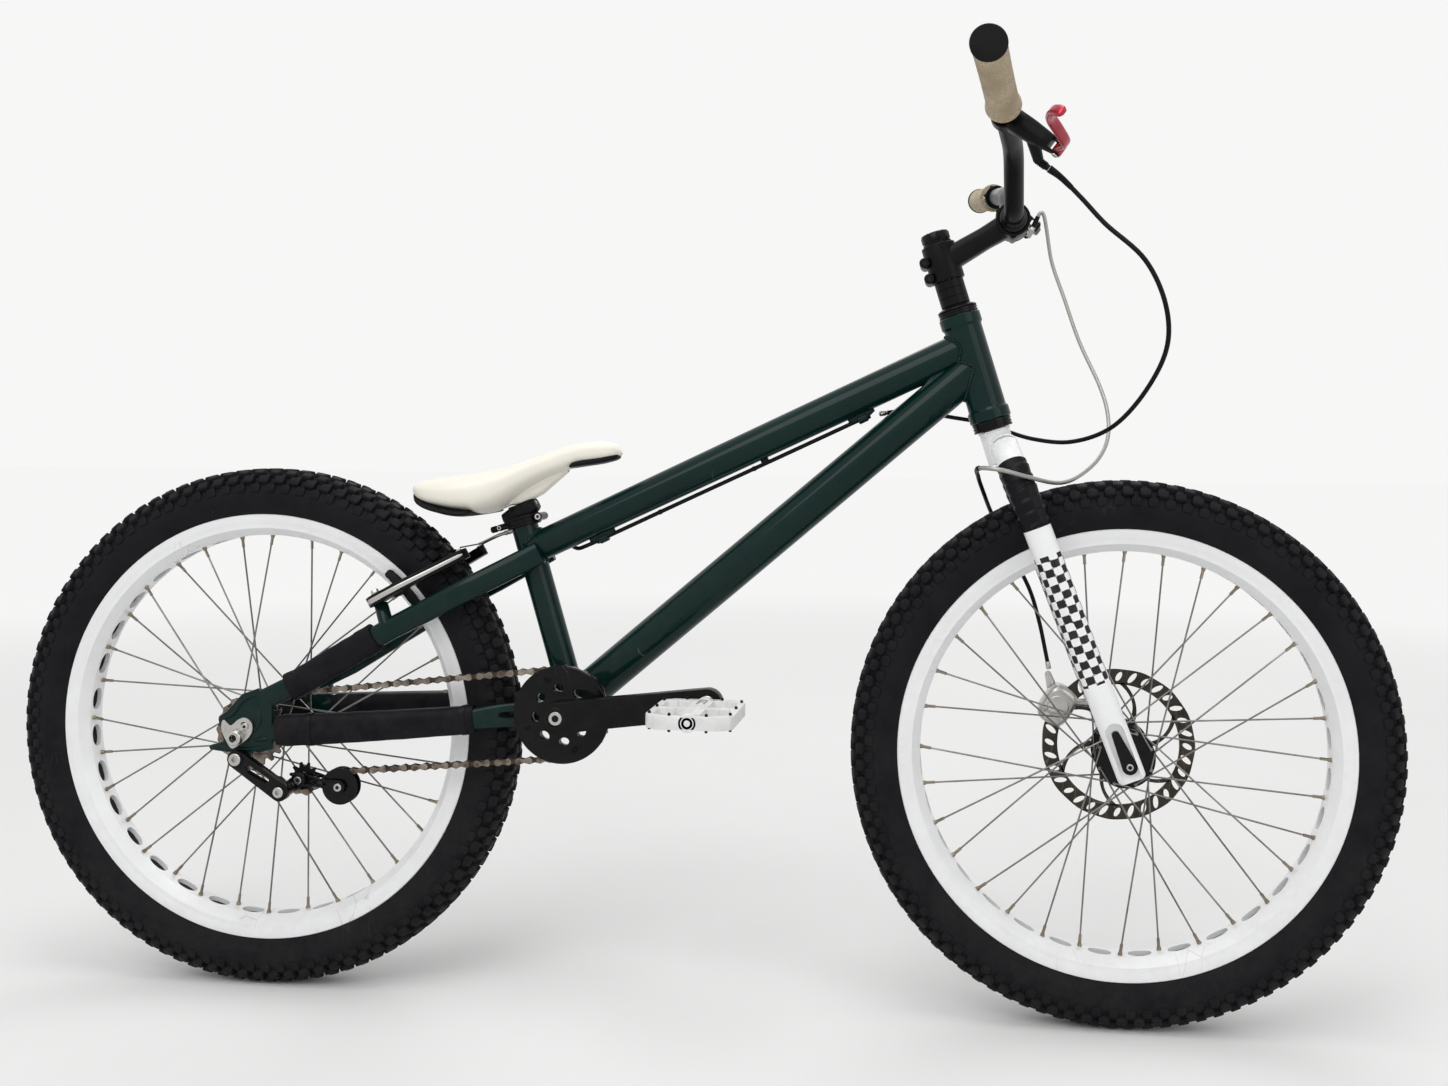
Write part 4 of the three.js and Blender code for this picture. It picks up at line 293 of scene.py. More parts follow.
# Each finish: its colour, the shade it drifts to, gloss, grain, scratches, dirt and shader settings.
finishes = {
    "greenPaint": {"colour": (0.0004, 0.0185, 0.015), "shade": (0.0002, 0.0105, 0.0095),
                   "roughness": (0.3, 0.42), "contrast": 0.8, "blotchScale": 6, "fineness": 160,
                   "grain": 0.25, "bump": 0.06, "scratches": 0.25, "scratchColour": (0.1, 0.14, 0.13),
                   "dirt": 0.1,
                   "shader": {"Specular IOR Level": 0.05, "Coat Weight": 0.55, "Coat IOR": 1.32,
                              "Coat Roughness": 0.05}},
    "blackMetal": {"colour": (0.003, 0.003, 0.0036), "shade": (0.005, 0.005, 0.0056),
                   "roughness": (0.28, 0.42), "blotchScale": 30, "fineness": 40, "grain": 0.5,
                   "bump": 0.1, "scratches": 0.3, "scratchColour": (0.06, 0.06, 0.06), "dirt": 0.08,
                   "shader": {"Specular IOR Level": 0.11}},
    "blackGloss": {"colour": (0.0028, 0.0028, 0.0034), "shade": (0.0045, 0.0045, 0.005),
                   "roughness": (0.14, 0.26), "blotchScale": 14, "fineness": 60, "grain": 0.3,
                   "bump": 0.06, "scratches": 0.2, "scratchColour": (0.05, 0.05, 0.05), "dirt": 0.06,
                   "shader": {"Specular IOR Level": 0.08, "Coat Weight": 0.3, "Coat IOR": 1.3,
                              "Coat Roughness": 0.12}},
    "whitePaint": {"colour": (0.86, 0.865, 0.875), "shade": (0.8, 0.802, 0.805), "roughness": (0.28, 0.4),
                   "blotchScale": 9, "fineness": 60, "grain": 0.3, "bump": 0.05, "scratches": 0.35,
                   "scratchColour": (0.4, 0.39, 0.37), "dirt": 0.16, "dirtColour": (0.4, 0.37, 0.32),
                   "shader": {"Coat Weight": 0.4, "Coat Roughness": 0.15}},
    "silver": {"colour": (0.56, 0.55, 0.53), "shade": (0.42, 0.41, 0.39), "roughness": (0.2, 0.4),
               "blotchScale": 40, "fineness": 30, "grain": 0.5, "bump": 0.12, "scratches": 0.4,
               "scratchColour": (0.2, 0.19, 0.18), "dirt": 0.4, "shader": {"Metallic": 1.0}},
    "spokeSteel": {"colour": (0.26, 0.255, 0.245), "shade": (0.13, 0.128, 0.12),
                   "roughness": (0.25, 0.42), "blotchScale": 25, "fineness": 30, "grain": 0.3,
                   "bump": 0.08, "dirt": 0.35, "shader": {"Metallic": 1.0}},
    "nippleBrass": {"colour": (0.34, 0.29, 0.23), "shade": (0.22, 0.18, 0.13), "roughness": (0.3, 0.5),
                    "blotchScale": 90, "fineness": 20, "dirt": 0.5, "shader": {"Metallic": 0.9}},
    "chainSteel": {"colour": (0.33, 0.285, 0.235), "shade": (0.09, 0.07, 0.055), "roughness": (0.3, 0.5),
                   "blotchScale": 70, "fineness": 12, "contrast": 1.6, "dirt": 0.35,
                   "dirtColour": (0.06, 0.05, 0.04), "shader": {"Metallic": 0.9}},
    # Dark rotor steel; the chain's inner plates and rollers also use it as painted shade between the outer
    # plates.
    "rotorSteel": {"colour": (0.045, 0.037, 0.028), "shade": (0.024, 0.02, 0.016),
                   "roughness": (0.3, 0.45), "blotchScale": 30, "fineness": 40, "scratches": 0.7,
                   "scratchColour": (0.25, 0.22, 0.18), "dirt": 0.5, "shader": {"Metallic": 0.7}},
    "redMetal": {"colour": (0.42, 0.006, 0.03), "shade": (0.3, 0.004, 0.02), "roughness": (0.26, 0.36),
                 "blotchScale": 40, "fineness": 30, "grain": 0.3, "bump": 0.08, "scratches": 0.25,
                 "scratchColour": (0.6, 0.35, 0.35), "dirt": 0.1,
                 "shader": {"Metallic": 0.55, "Coat Weight": 0.5, "Coat Roughness": 0.15}},
    "whitePlastic": {"colour": (0.8, 0.805, 0.81), "shade": (0.7, 0.7, 0.69), "roughness": (0.35, 0.5),
                     "blotchScale": 22, "fineness": 30, "grain": 0.4, "bump": 0.1, "scratches": 0.8,
                     "scratchColour": (0.3, 0.29, 0.28), "dirt": 0.5, "dirtColour": (0.3, 0.27, 0.22)},
    "sleeveRubber": {"colour": (0.0034, 0.0036, 0.0058), "shade": (0.006, 0.006, 0.0085),
                     "roughness": (0.45, 0.62), "blotchScale": 16, "fineness": 60, "grain": 1.0,
                     "bump": 0.25, "bumpDistance": 0.0006, "dirt": 0.12, "scratches": 0.3,
                     "scratchColour": (0.04, 0.04, 0.04), "shader": {"Specular IOR Level": 0.1}},
    "tapeBlack": {"colour": (0.0035, 0.0037, 0.0052), "shade": (0.006, 0.006, 0.0075),
                  "roughness": (0.25, 0.45), "blotchScale": 30, "fineness": 30, "grain": 0.7, "bump": 0.2,
                  "dirt": 0.05, "scratches": 0.2, "scratchColour": (0.05, 0.05, 0.05),
                  "shader": {"Specular IOR Level": 0.12}},
    "cableBlack": {"colour": (0.0035, 0.0035, 0.0042), "shade": (0.005, 0.005, 0.006),
                   "roughness": (0.28, 0.4), "blotchScale": 20, "fineness": 40, "grain": 0.15,
                   "bump": 0.03, "dirt": 0.0, "scratches": 0.0, "shader": {"Specular IOR Level": 0.12}},
    "plasticBlack": {"colour": (0.0038, 0.004, 0.0046), "shade": (0.006, 0.006, 0.007),
                     "roughness": (0.4, 0.55), "blotchScale": 35, "fineness": 30, "grain": 0.8,
                     "bump": 0.2, "dirt": 0.12, "dirtColour": (0.06, 0.05, 0.04),
                     "scratchColour": (0.05, 0.05, 0.05), "shader": {"Specular IOR Level": 0.12}},
    # Dark rim tape; the same finish is also the painted shade in bolt recesses and sockets.
    "rimTape": {"colour": (0.012, 0.012, 0.013), "shade": (0.02, 0.02, 0.02), "roughness": (0.6, 0.8),
                "blotchScale": 60, "fineness": 10, "grain": 1.0, "bump": 0.5, "dirt": 0.3,
                "shader": {"Specular IOR Level": 0.1}},
    "padRubber": {"colour": (0.01, 0.01, 0.011), "shade": (0.016, 0.016, 0.016), "roughness": (0.6, 0.8),
                  "blotchScale": 60, "fineness": 14, "grain": 1.0, "bump": 0.3, "dirt": 0.2,
                  "shader": {"Specular IOR Level": 0.12}}}
materials = {name: plainFinish(name, values) for name, values in finishes.items()}


# Tyre rubber: blue-black flanks, knobs scuffed grey on top, dust toward the tread and the ground.
def tyreFinish(name, centre):
    material, tree, shader, place = startMaterial(name, {"shader": {"Specular IOR Level": 0.1}})
    away = addNode(tree, "ShaderNodeVectorMath", operation="SUBTRACT")
    away.inputs[1].default_value = centre * mm
    join(tree, place, away.inputs[0])
    split = splitPlace(tree, away.outputs[0])
    squares = [maths(tree, "MULTIPLY", split[label], split[label]) for label in ("X", "Z")]
    reach = maths(tree, "SQRT", maths(tree, "ADD", *squares))
    tread = remap(tree, reach, 0.302, 0.3155)
    worn = mixColour(tree, tread, (0.0042, 0.0044, 0.0066), (0.017, 0.017, 0.0185))
    rings = maths(tree, "MULTIPLY", maths(tree, "SINE", maths(tree, "MULTIPLY", reach, 3600.0)), 0.25)
    flank = remap(tree, reach, 0.27, 0.3, 1.0, 0.0)
    finishSurface(tree, shader, place, worn,
                  {"blotchScale": 26, "fineness": 26, "contrast": 1.2, "shade": (0.0115, 0.0115, 0.013),
                   "roughness": (0.5, 0.72), "grain": 0.8, "bump": 0.35, "bumpDistance": 0.0005,
                   "dirt": 0.3, "dirtTop": 0.5, "dirtColour": (0.045, 0.04, 0.034), "scratches": 0.35,
                   "scratchColour": (0.035, 0.035, 0.035),
                   "height": maths(tree, "MULTIPLY", rings, flank)})
    return material


# Foam grip: speckled cream foam whose pits are painted darker where they sink, as painted shade; greyer where
# hands hold it.
def foamFinish():
    material, tree, shader, place = startMaterial("creamFoam",
                                                  {"shader": {"Sheen Weight": 0.3,
                                                              "Specular IOR Level": 0.2}})
    speck = texture(tree, "Voronoi", place, {"Scale": 900.0})
    poreDepthAndShade = remap(tree, speck.outputs["Distance"], 0.1, 0.7)
    # The pits are painted darker where the bump sinks, as painted shade in them.
    colour = mixColour(tree, poreDepthAndShade, (0.2, 0.15, 0.085), (0.6, 0.495, 0.32))
    finishSurface(tree, shader, place, colour,
                  {"blotchScale": 32, "fineness": 5, "contrast": 2.0, "shade": (0.36, 0.275, 0.16),
                   "roughness": (0.8, 0.95), "grain": 1.0, "bump": 0.7, "bumpDistance": 0.0007,
                   "dirt": 0.0, "scratches": 0.1, "height": maths(tree, "MULTIPLY", poreDepthAndShade, 1.2)})
    return material


# Saddle cover: cream leathercloth with a fine pebble, yellowed and scuffed.
def coverFinish():
    material, tree, shader, place = startMaterial("saddleCover",
                                                  {"shader": {"Coat Weight": 0.15,
                                                              "Coat Roughness": 0.35}})
    pebble = texture(tree, "Voronoi", place, {"Scale": 650.0})
    finishSurface(tree, shader, place, (0.86, 0.83, 0.745),
                  {"blotchScale": 12, "fineness": 40, "contrast": 0.9, "shade": (0.8, 0.765, 0.67),
                   "roughness": (0.38, 0.55), "grain": 0.4, "bump": 0.14, "bumpDistance": 0.0003,
                   "dirt": 0.05, "dirtTop": 1.4, "dirtColour": (0.5, 0.43, 0.33), "scratches": 0.4,
                   "scratchShow": 0.3, "scratchColour": (0.5, 0.44, 0.35),
                   "height": maths(tree, "MULTIPLY", pebble.outputs["Distance"], 1.0)})
    return material


# Fork legs: white paint with a wrap of small black squares between two heights of the leg's own map.
def checkFinish(v):
    gloss = {"Specular IOR Level": 0.25, "Coat Weight": 0.15, "Coat Roughness": 0.12}
    material, tree, shader, place = startMaterial("forkCheck", {"shader": gloss})
    chart = splitPlace(tree, addNode(tree, "ShaderNodeUVMap", uv_map="wrap").outputs[0])
    cell = v["cell"] * mm
    row = maths(tree, "DIVIDE", chart["Y"], cell)
    column = maths(tree, "DIVIDE", chart["X"], cell)
    wave = maths(tree, "MULTIPLY",
                 *(maths(tree, "SINE", maths(tree, "MULTIPLY", way, math.pi)) for way in (row, column)))
    wobble = texture(tree, "Noise", place, {"Scale": 420.0, "Detail": 2.0})
    uneven = maths(tree, "MULTIPLY", maths(tree, "SUBTRACT", wobble.outputs["Fac"], 0.5), 0.5)
    edge = maths(tree, "ADD", wave, uneven)
    square = remap(tree, edge, -0.06, 0.06)
    inside = maths(tree, "MULTIPLY", maths(tree, "GREATER_THAN", chart["Y"], v["low"] * mm),
                   maths(tree, "LESS_THAN", chart["Y"], v["high"] * mm))
    colour = mixColour(tree, maths(tree, "MULTIPLY", square, inside), (0.86, 0.865, 0.875),
                       (0.0035, 0.0035, 0.004))
    finishSurface(tree, shader, place, colour,
                  {"blotchScale": 12, "fineness": 60, "roughness": (0.22, 0.36), "grain": 0.3,
                   "bump": 0.06, "dirt": 0.14, "dirtColour": (0.4, 0.37, 0.32), "scratches": 0.3,
                   "scratchColour": (0.4, 0.39, 0.37)})
    return material


# Braided cable cover: fine crossing wires wound along the cable's own map, painted darker in the grooves
# between them as shade.
def braidFinish():
    material, tree, shader, place = startMaterial("braidGrey",
                                                  {"shader": {"Metallic": 0.7, "Coat Weight": 0.4,
                                                              "Coat Roughness": 0.15}})
    chart = splitPlace(tree, addNode(tree, "ShaderNodeUVMap", uv_map="wrap").outputs[0])
    along = maths(tree, "MULTIPLY", chart["Y"], 2600.0)
    about = maths(tree, "MULTIPLY", chart["X"], 3600.0)
    crossing = [maths(tree, "SINE", maths(tree, kind, along, about)) for kind in ("ADD", "SUBTRACT")]
    strandDepthAndShade = maths(tree, "MULTIPLY", *crossing)
    # The grooves between the wires are painted darker than their tops, as painted shade.
    colour = mixColour(tree, remap(tree, strandDepthAndShade, -1.0, 1.0), (0.24, 0.24, 0.23), (0.4, 0.39, 0.365))
    finishSurface(tree, shader, place, colour,
                  {"blotchScale": 40, "fineness": 20, "roughness": (0.3, 0.45), "grain": 0.2, "bump": 0.1,
                   "dirt": 0.05, "scratches": 0.0, "height": strandDepthAndShade})
    return material


checks = {"cell": 9.0, "low": 96, "high": 249}
materials["frontTyreRubber"] = tyreFinish("frontTyreRubber", frontAxle)
materials["rearTyreRubber"] = tyreFinish("rearTyreRubber", rearAxle)
materials["creamFoam"] = foamFinish()
materials["saddleCover"] = coverFinish()
materials["forkCheck"] = checkFinish(checks)
materials["braidGrey"] = braidFinish()
print("materials made:", len(materials))


stageValues = {"floor": (0.86, 0.86, 0.855), "background": (0.93, 0.93, 0.925), "fade": (0.5, 4.5),
               "lamps": [("key", (-0.9, -2.6, 3.0), 42.0, 2.2), ("fill", (2.6, -2.2, 1.9), 16.0, 2.0),
                         ("back", (0.3, 2.4, 2.7), 20.0, 2.4), ("top", (0.1, -0.5, 3.3), 26.0, 1.6)],
               "sky": 0.56}


# One for rays that show a thing to the camera: straight, mirrored or through glass.
def shownRays(tree):
    path = addNode(tree, "ShaderNodeLightPath").outputs
    mirrored = maths(tree, "MAXIMUM", path["Is Glossy Ray"], path["Is Transmission Ray"])
    return maths(tree, "MAXIMUM", path["Is Camera Ray"], mirrored)


def mixShaders(tree, share, first, second, output):
    choose = addNode(tree, "ShaderNodeMixShader")
    join(tree, share, choose.inputs[0])
    join(tree, first.outputs[0], choose.inputs[1])
    join(tree, second.outputs[0], choose.inputs[2])
    join(tree, choose.outputs[0], output.inputs["Surface"])


def makeStage(v):
    bpy.ops.mesh.primitive_plane_add(size=60, location=(0, 0, 0))
    floor = bpy.context.object
    floor.name = "floor"
    # Far from the bike the floor fades into the background.
    material = bpy.data.materials.new("floorPaint")
    material.use_nodes = True
    tree = material.node_tree
    tree.nodes.clear()
    output = addNode(tree, "ShaderNodeOutputMaterial")
    paint = addNode(tree, "ShaderNodeBsdfDiffuse")
    place = addNode(tree, "ShaderNodeTexCoord").outputs["Object"]
    noise = texture(tree, "Noise", place, {"Scale": 3.0, "Detail": 6.0})
    darker = tuple(c * 0.95 for c in v["floor"])
    join(tree, mixColour(tree, noise.outputs["Fac"], v["floor"], darker), paint.inputs["Color"])
    far = addNode(tree, "ShaderNodeVectorMath", operation="LENGTH")
    join(tree, place, far.inputs[0])
    fade = maths(tree, "SMOOTH_MIN", remap(tree, far.outputs["Value"], *v["fade"]), 1.0, 0.2)
    glow = addNode(tree, "ShaderNodeEmission", {"Color": (*v["background"], 1), "Strength": 1.0})
    mixShaders(tree, maths(tree, "MULTIPLY", fade, shownRays(tree)), paint, glow, output)
    floor.data.materials.append(material)
    world = bpy.data.worlds.new("studio")
    bpy.context.scene.world = world
    world.use_nodes = True
    tree = world.node_tree
    tree.nodes.clear()
    output = addNode(tree, "ShaderNodeOutputWorld")
    seen = addNode(tree, "ShaderNodeBackground", {"Color": (*v["background"], 1), "Strength": 1.0})
    light = addNode(tree, "ShaderNodeBackground", {"Color": (1, 1, 1, 1), "Strength": v["sky"]})
    mixShaders(tree, shownRays(tree), light, seen, output)
    for name, spot, power, size in v["lamps"]:
        lamp = bpy.data.objects.new(name, bpy.data.lights.new(name, "AREA"))
        lamp.data.energy, lamp.data.size = power, size
        lamp.location = spot
        lamp.rotation_euler = (Vector((0, 0, 0.45)) - Vector(spot)).to_track_quat("-Z", "Y").to_euler()
        bpy.context.scene.collection.objects.link(lamp)


makeStage(stageValues)
print("stage and light made")

# Shapes are lists of points in millimetres and of faces, with the corner places of a map where one is used.
def loft(rings, endless=False, chart=None):
    size, faces, corners = len(rings[0]), [], []
    for row in range(len(rings) if endless else len(rings) - 1):
        here, there = row * size, (row + 1) % len(rings) * size
        for k in range(size):
            n = (k + 1) % size
            faces.append((here + k, here + n, there + n, there + k))
            if chart:
                corners.append([chart(row, k), chart(row, k + 1), chart(row + 1, k + 1), chart(row + 1, k)])
    if not endless:
        last = (len(rings) - 1) * size
        faces += [tuple(reversed(range(size))), tuple(range(last, last + size))]
        corners += [[(0, 0)] * size, [(0, 0)] * size] if chart else []
    points = [point for ring in rings for point in ring]
    return (points, faces, corners) if chart else (points, faces)


# Points on a circle, from two directions across its axis.
def circle(centre, across, up, radius, sides, start=0.0):
    turns = [start + 2 * math.pi * k / sides for k in range(sides)]
    return [centre + (across * math.cos(a) + up * math.sin(a)) * radius for a in turns]


# A round tube along a path, without twist; the radius may be a function of the share of its length.
def sweep(points, radius, sides=16, endless=False, chart=False):
    points = [Vector(p) for p in points]
    count = len(points)
    ways = []
    for i in range(count):
        before = points[i - 1] if endless or i else points[0]
        after = points[(i + 1) % count] if endless or i < count - 1 else points[-1]
        ways.append((after - before).normalized())
    side = ways[0].orthogonal().normalized()
    first, frames = side, []
    for way in ways:
        side = (side - way * side.dot(way)).normalized()
        frames.append((side, way.cross(side)))
    twist = 0.0
    if endless:
        side = (side - ways[0] * side.dot(ways[0])).normalized()
        twist = math.atan2(ways[0].cross(first).dot(side), first.dot(side))
    size = [radius(i / max(1, count - 1)) if callable(radius) else radius for i in range(count)]
    rings = [circle(points[i], frames[i][0], frames[i][1], size[i], sides, -twist * i / count)
             for i in range(count)]
    if not chart:
        return loft(rings, endless)
    along = [0.0]
    for i in range(1, count + 1):
        along.append(along[-1] + (points[i % count] - points[i - 1]).length)
    return loft(rings, endless, lambda row, k: (2 * math.pi * size[0] * k / sides * mm, along[row] * mm))


# A smooth path through points, with a few steps between each pair.
def smoothPath(points, steps=8, endless=False):
    points = [Vector(p) for p in points]
    count, out = len(points), []
    for i in range(count if endless else count - 1):
        a, b, c, d = [points[(i + k) % count] if endless else points[min(max(i + k, 0), count - 1)]
                      for k in (-1, 0, 1, 2)]
        for step in range(steps):
            t = step / steps
            out.append(0.5 * (2 * b + (c - a) * t + (2 * a - 5 * b + 4 * c - d) * t * t
                              + (3 * b - a - 3 * c + d) * t ** 3))
    return out if endless else [*out, points[-1]]


# A profile of (radius, distance along the axis) turned about an axis.
def lathe(profile, centre, axis=leftward, steps=64, start=0.0):
    across = forward if abs(axis.dot(forward)) < 0.9 else upward
    across = (across - axis * across.dot(axis)).normalized()
    up = axis.cross(across)
    rings = []
    for k in range(steps):
        a = start + 2 * math.pi * k / steps
        out = across * math.cos(a) + up * math.sin(a)
        rings.append([centre + out * radius + axis * along for radius, along in profile])
    return loft(rings, True)


def rod(start, end, radius, sides=20, endRadius=None, lip=0.0):
    way = (end - start).normalized()
    size = (end - start).length
    tip = radius if endRadius is None else endRadius
    profile = [(0, 0), (radius - lip, 0), (radius, lip), (tip, size - lip), (tip - lip, size), (0, size)]
    return lathe(profile, start, way, sides)


# A flat plate with holes, from its outline in two directions.
def plate(outline, origin, across, rising, wall, holes=()):
    loops = [outline, *holes]
    flat = [origin + across * u + rising * v for loop in loops for u, v in loop]
    triangles = tessellate_polygon([[Vector((u, v, 0)) for u, v in loop] for loop in loops])
    normal, count = across.cross(rising), len(flat)
    faces = [tuple(t) for t in triangles] + [tuple(count + k for k in reversed(t)) for t in triangles]
    start = 0
    for loop in loops:
        for k in range(len(loop)):
            n = (k + 1) % len(loop)
            faces.append((start + k, start + n, count + start + n, count + start + k))
        start += len(loop)
    return flat + [point + normal * wall for point in flat], faces


def ovalLoop(centre, halfLong, halfWide, turn=0.0, sides=20):
    out = []
    for k in range(sides):
        a = 2 * math.pi * k / sides
        u, v = halfLong * math.cos(a), halfWide * math.sin(a)
        out.append((centre[0] + u * math.cos(turn) - v * math.sin(turn),
                    centre[1] + u * math.sin(turn) + v * math.cos(turn)))
    return out


# One ring of a rounded box shape: its centre, two directions with half sizes, and how square it is.
def squareRing(centre, across, up, halfWide, halfTall, square=0.8, sides=32, start=0.0):
    ring = []
    for k in range(sides):
        a = start + 2 * math.pi * k / sides
        c, s = math.cos(a), math.sin(a)
        power = 1 - 0.6 * square
        ring.append(centre + across * (halfWide * math.copysign(abs(c) ** power, c))
                    + up * (halfTall * math.copysign(abs(s) ** power, s)))
    return ring


def spin(shape, centre, axis, angle):
    turn = Matrix.Rotation(angle, 3, axis)
    return ([centre + turn @ (point - centre) for point in shape[0]], *shape[1:])


# Several shapes become one mesh, each with its own look.
def buildMesh(name, parts):
    looks = list(dict.fromkeys(look for shape, look in parts))
    points, faces, marks, chart = [], [], [], []
    for shape, look in parts:
        base = len(points)
        points += [point * mm for point in shape[0]]
        faces += [tuple(base + k for k in face) for face in shape[1]]
        marks += [looks.index(look)] * len(shape[1])
        chart += shape[2] if len(shape) > 2 else [[(0, 0)] * len(face) for face in shape[1]]
    mesh = bpy.data.meshes.new(name)
    mesh.from_pydata(points, [], faces)
    mesh.polygons.foreach_set("material_index", marks)
    if any(len(shape) > 2 for shape, look in parts):
        layer = mesh.uv_layers.new(name="wrap")
        for polygon in mesh.polygons:
            for corner, place in zip(polygon.loop_indices, chart[polygon.index]):
                layer.data[corner].uv = place
    work = bmesh.new()
    work.from_mesh(mesh)
    bmesh.ops.remove_doubles(work, verts=work.verts, dist=2e-6)
    bmesh.ops.dissolve_degenerate(work, dist=1e-6, edges=work.edges)
    bmesh.ops.recalc_face_normals(work, faces=work.faces)
    work.to_mesh(mesh)
    work.free()
    for look in looks:
        mesh.materials.append(materials[look])
    return mesh


def addObject(name, mesh):
    piece = bpy.data.objects.new(name, mesh)
    bpy.context.scene.collection.objects.link(piece)
    return piece


# The modifiers of an object are worked out into a plain mesh, and removed.
def settle(piece):
    graph = bpy.context.evaluated_depsgraph_get()
    mesh = bpy.data.meshes.new_from_object(piece.evaluated_get(graph), preserve_all_data_layers=True,
                                           depsgraph=graph)
    piece.modifiers.clear()
    piece.data = mesh
    mesh.name = piece.name


def smoothByAngle(piece, angle):
    piece.data.shade_smooth()
    piece.data.set_sharp_from_angle(angle=math.radians(angle))


# A piece that rides a body and takes the place of named solids.
def makePiece(name, parts, body, replaces=(), bevel=0.0, angle=38, cuts=(), levels=0):
    piece = addObject(name, buildMesh(name, parts))
    cutters = []
    for number, cut in enumerate(cuts):
        if not hasattr(cut, "modifiers"):
            cut = addObject(name + "Cutter" + str(number), buildMesh(name + "Cutter", [(cut, parts[0][1])]))
        cutters.append(cut)
        modifier = piece.modifiers.new("cut", "BOOLEAN")
        modifier.object, modifier.operation, modifier.solver = cutters[-1], "DIFFERENCE", "EXACT"
    if bevel:
        modifier = piece.modifiers.new("bevel", "BEVEL")
        modifier.width, modifier.segments, modifier.limit_method = bevel * mm, 2, "ANGLE"
        modifier.angle_limit = math.radians(angle)
    if levels:
        modifier = piece.modifiers.new("round", "SUBSURF")
        modifier.levels = modifier.render_levels = levels
    if len(piece.modifiers):
        settle(piece)
    for cutter in cutters:
        bpy.data.objects.remove(cutter)
    smoothByAngle(piece, angle)
    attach(piece, body)
    if replaces:
        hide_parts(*replaces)
    return piece


# The last part of both repeating trees: copies at the points, made into one mesh and painted.
def setCopies(tree, start, end, points, unit, turn):
    copies = addNode(tree, "GeometryNodeInstanceOnPoints")
    for source, label in ((points, "Points"), (unit, "Instance"), (turn, "Rotation")):
        join(tree, source, copies.inputs[label])
    real = addNode(tree, "GeometryNodeRealizeInstances")
    join(tree, copies.outputs[0], real.inputs[0])
    paint = addNode(tree, "GeometryNodeSetMaterial")
    join(tree, real.outputs[0], paint.inputs["Geometry"])
    join(tree, start.outputs["Material"], paint.inputs["Material"])
    join(tree, paint.outputs[0], end.inputs[0])


# A tree of geometry nodes that repeats the object's own mesh evenly round an axle.
def ringTree():
    tree, start, end = newGroup("ringPattern",
                                [("Geometry", "NodeSocketGeometry", None), ("Count", "NodeSocketInt", 12),
                                 ("Centre", "NodeSocketVector", None),
                                 ("Material", "NodeSocketMaterial", None)],
                                [("Geometry", "NodeSocketGeometry")], "GeometryNodeTree")
    back = addNode(tree, "ShaderNodeVectorMath", operation="SCALE")
    back.inputs["Scale"].default_value = -1.0
    join(tree, start.outputs["Centre"], back.inputs[0])
    unit = addNode(tree, "GeometryNodeTransform")
    join(tree, start.outputs["Geometry"], unit.inputs["Geometry"])
    join(tree, back.outputs[0], unit.inputs["Translation"])
    line = addNode(tree, "GeometryNodeMeshLine", {"Offset": (0, 0, 0)})
    join(tree, start.outputs["Count"], line.inputs["Count"])
    join(tree, start.outputs["Centre"], line.inputs["Start Location"])
    share = maths(tree, "DIVIDE", addNode(tree, "GeometryNodeInputIndex").outputs[0],
                  start.outputs["Count"])
    turn = addNode(tree, "ShaderNodeCombineXYZ")
    join(tree, maths(tree, "MULTIPLY", share, -2 * math.pi), turn.inputs["Y"])
    euler = addNode(tree, "FunctionNodeEulerToRotation")
    join(tree, turn.outputs[0], euler.inputs[0])
    setCopies(tree, start, end, line.outputs[0], unit.outputs[0], euler.outputs[0])
    return tree


# A tree that sets copies of another object along the object's own closed path.
def pathTree():
    tree, start, end = newGroup("pathPattern",
                                [("Geometry", "NodeSocketGeometry", None),
                                 ("Unit", "NodeSocketObject", None), ("Count", "NodeSocketInt", 40),
                                 ("Material", "NodeSocketMaterial", None)],
                                [("Geometry", "NodeSocketGeometry")], "GeometryNodeTree")
    curve = addNode(tree, "GeometryNodeMeshToCurve")
    join(tree, start.outputs["Geometry"], curve.inputs["Mesh"])
    points = addNode(tree, "GeometryNodeCurveToPoints", mode="COUNT")
    join(tree, curve.outputs[0], points.inputs["Curve"])
    join(tree, start.outputs["Count"], points.inputs["Count"])
    unit = addNode(tree, "GeometryNodeObjectInfo", transform_space="ORIGINAL")
    join(tree, start.outputs["Unit"], unit.inputs["Object"])
    align = addNode(tree, "FunctionNodeAlignRotationToVector", axis="X", pivot_axis="Y")
    join(tree, points.outputs["Tangent"], align.inputs["Vector"])
    setCopies(tree, start, end, points.outputs["Points"], unit.outputs["Geometry"], align.outputs[0])
    return tree


trees = {"ringPattern": ringTree(), "pathPattern": pathTree()}


def grow(piece, treeName, **values):
    tree = trees[treeName]
    modifier = piece.modifiers.new(treeName, "NODES")
    modifier.node_group = tree
    sockets = [item for item in tree.interface.items_tree if item.item_type == "SOCKET"]
    names = {item.name: item.identifier for item in sockets if item.in_out == "INPUT"}
    for key, value in values.items():
        modifier[names[key]] = value
    settle(piece)
    return piece


def ringPiece(name, shapes, look, count, centre, body=None, angle=38, replaces=()):
    piece = addObject(name, buildMesh(name, [(shape, look) for shape in shapes]))
    grow(piece, "ringPattern", Count=count, Centre=tuple(centre * mm), Material=materials[look])
    smoothByAngle(piece, angle)
    if body:
        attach(piece, body)
    if replaces:
        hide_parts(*replaces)
    return piece


def aroundAxle(axle, radius, angle, y=0.0):
    a = math.radians(angle)
    return axle + Vector((radius * math.cos(a), y, radius * math.sin(a)))


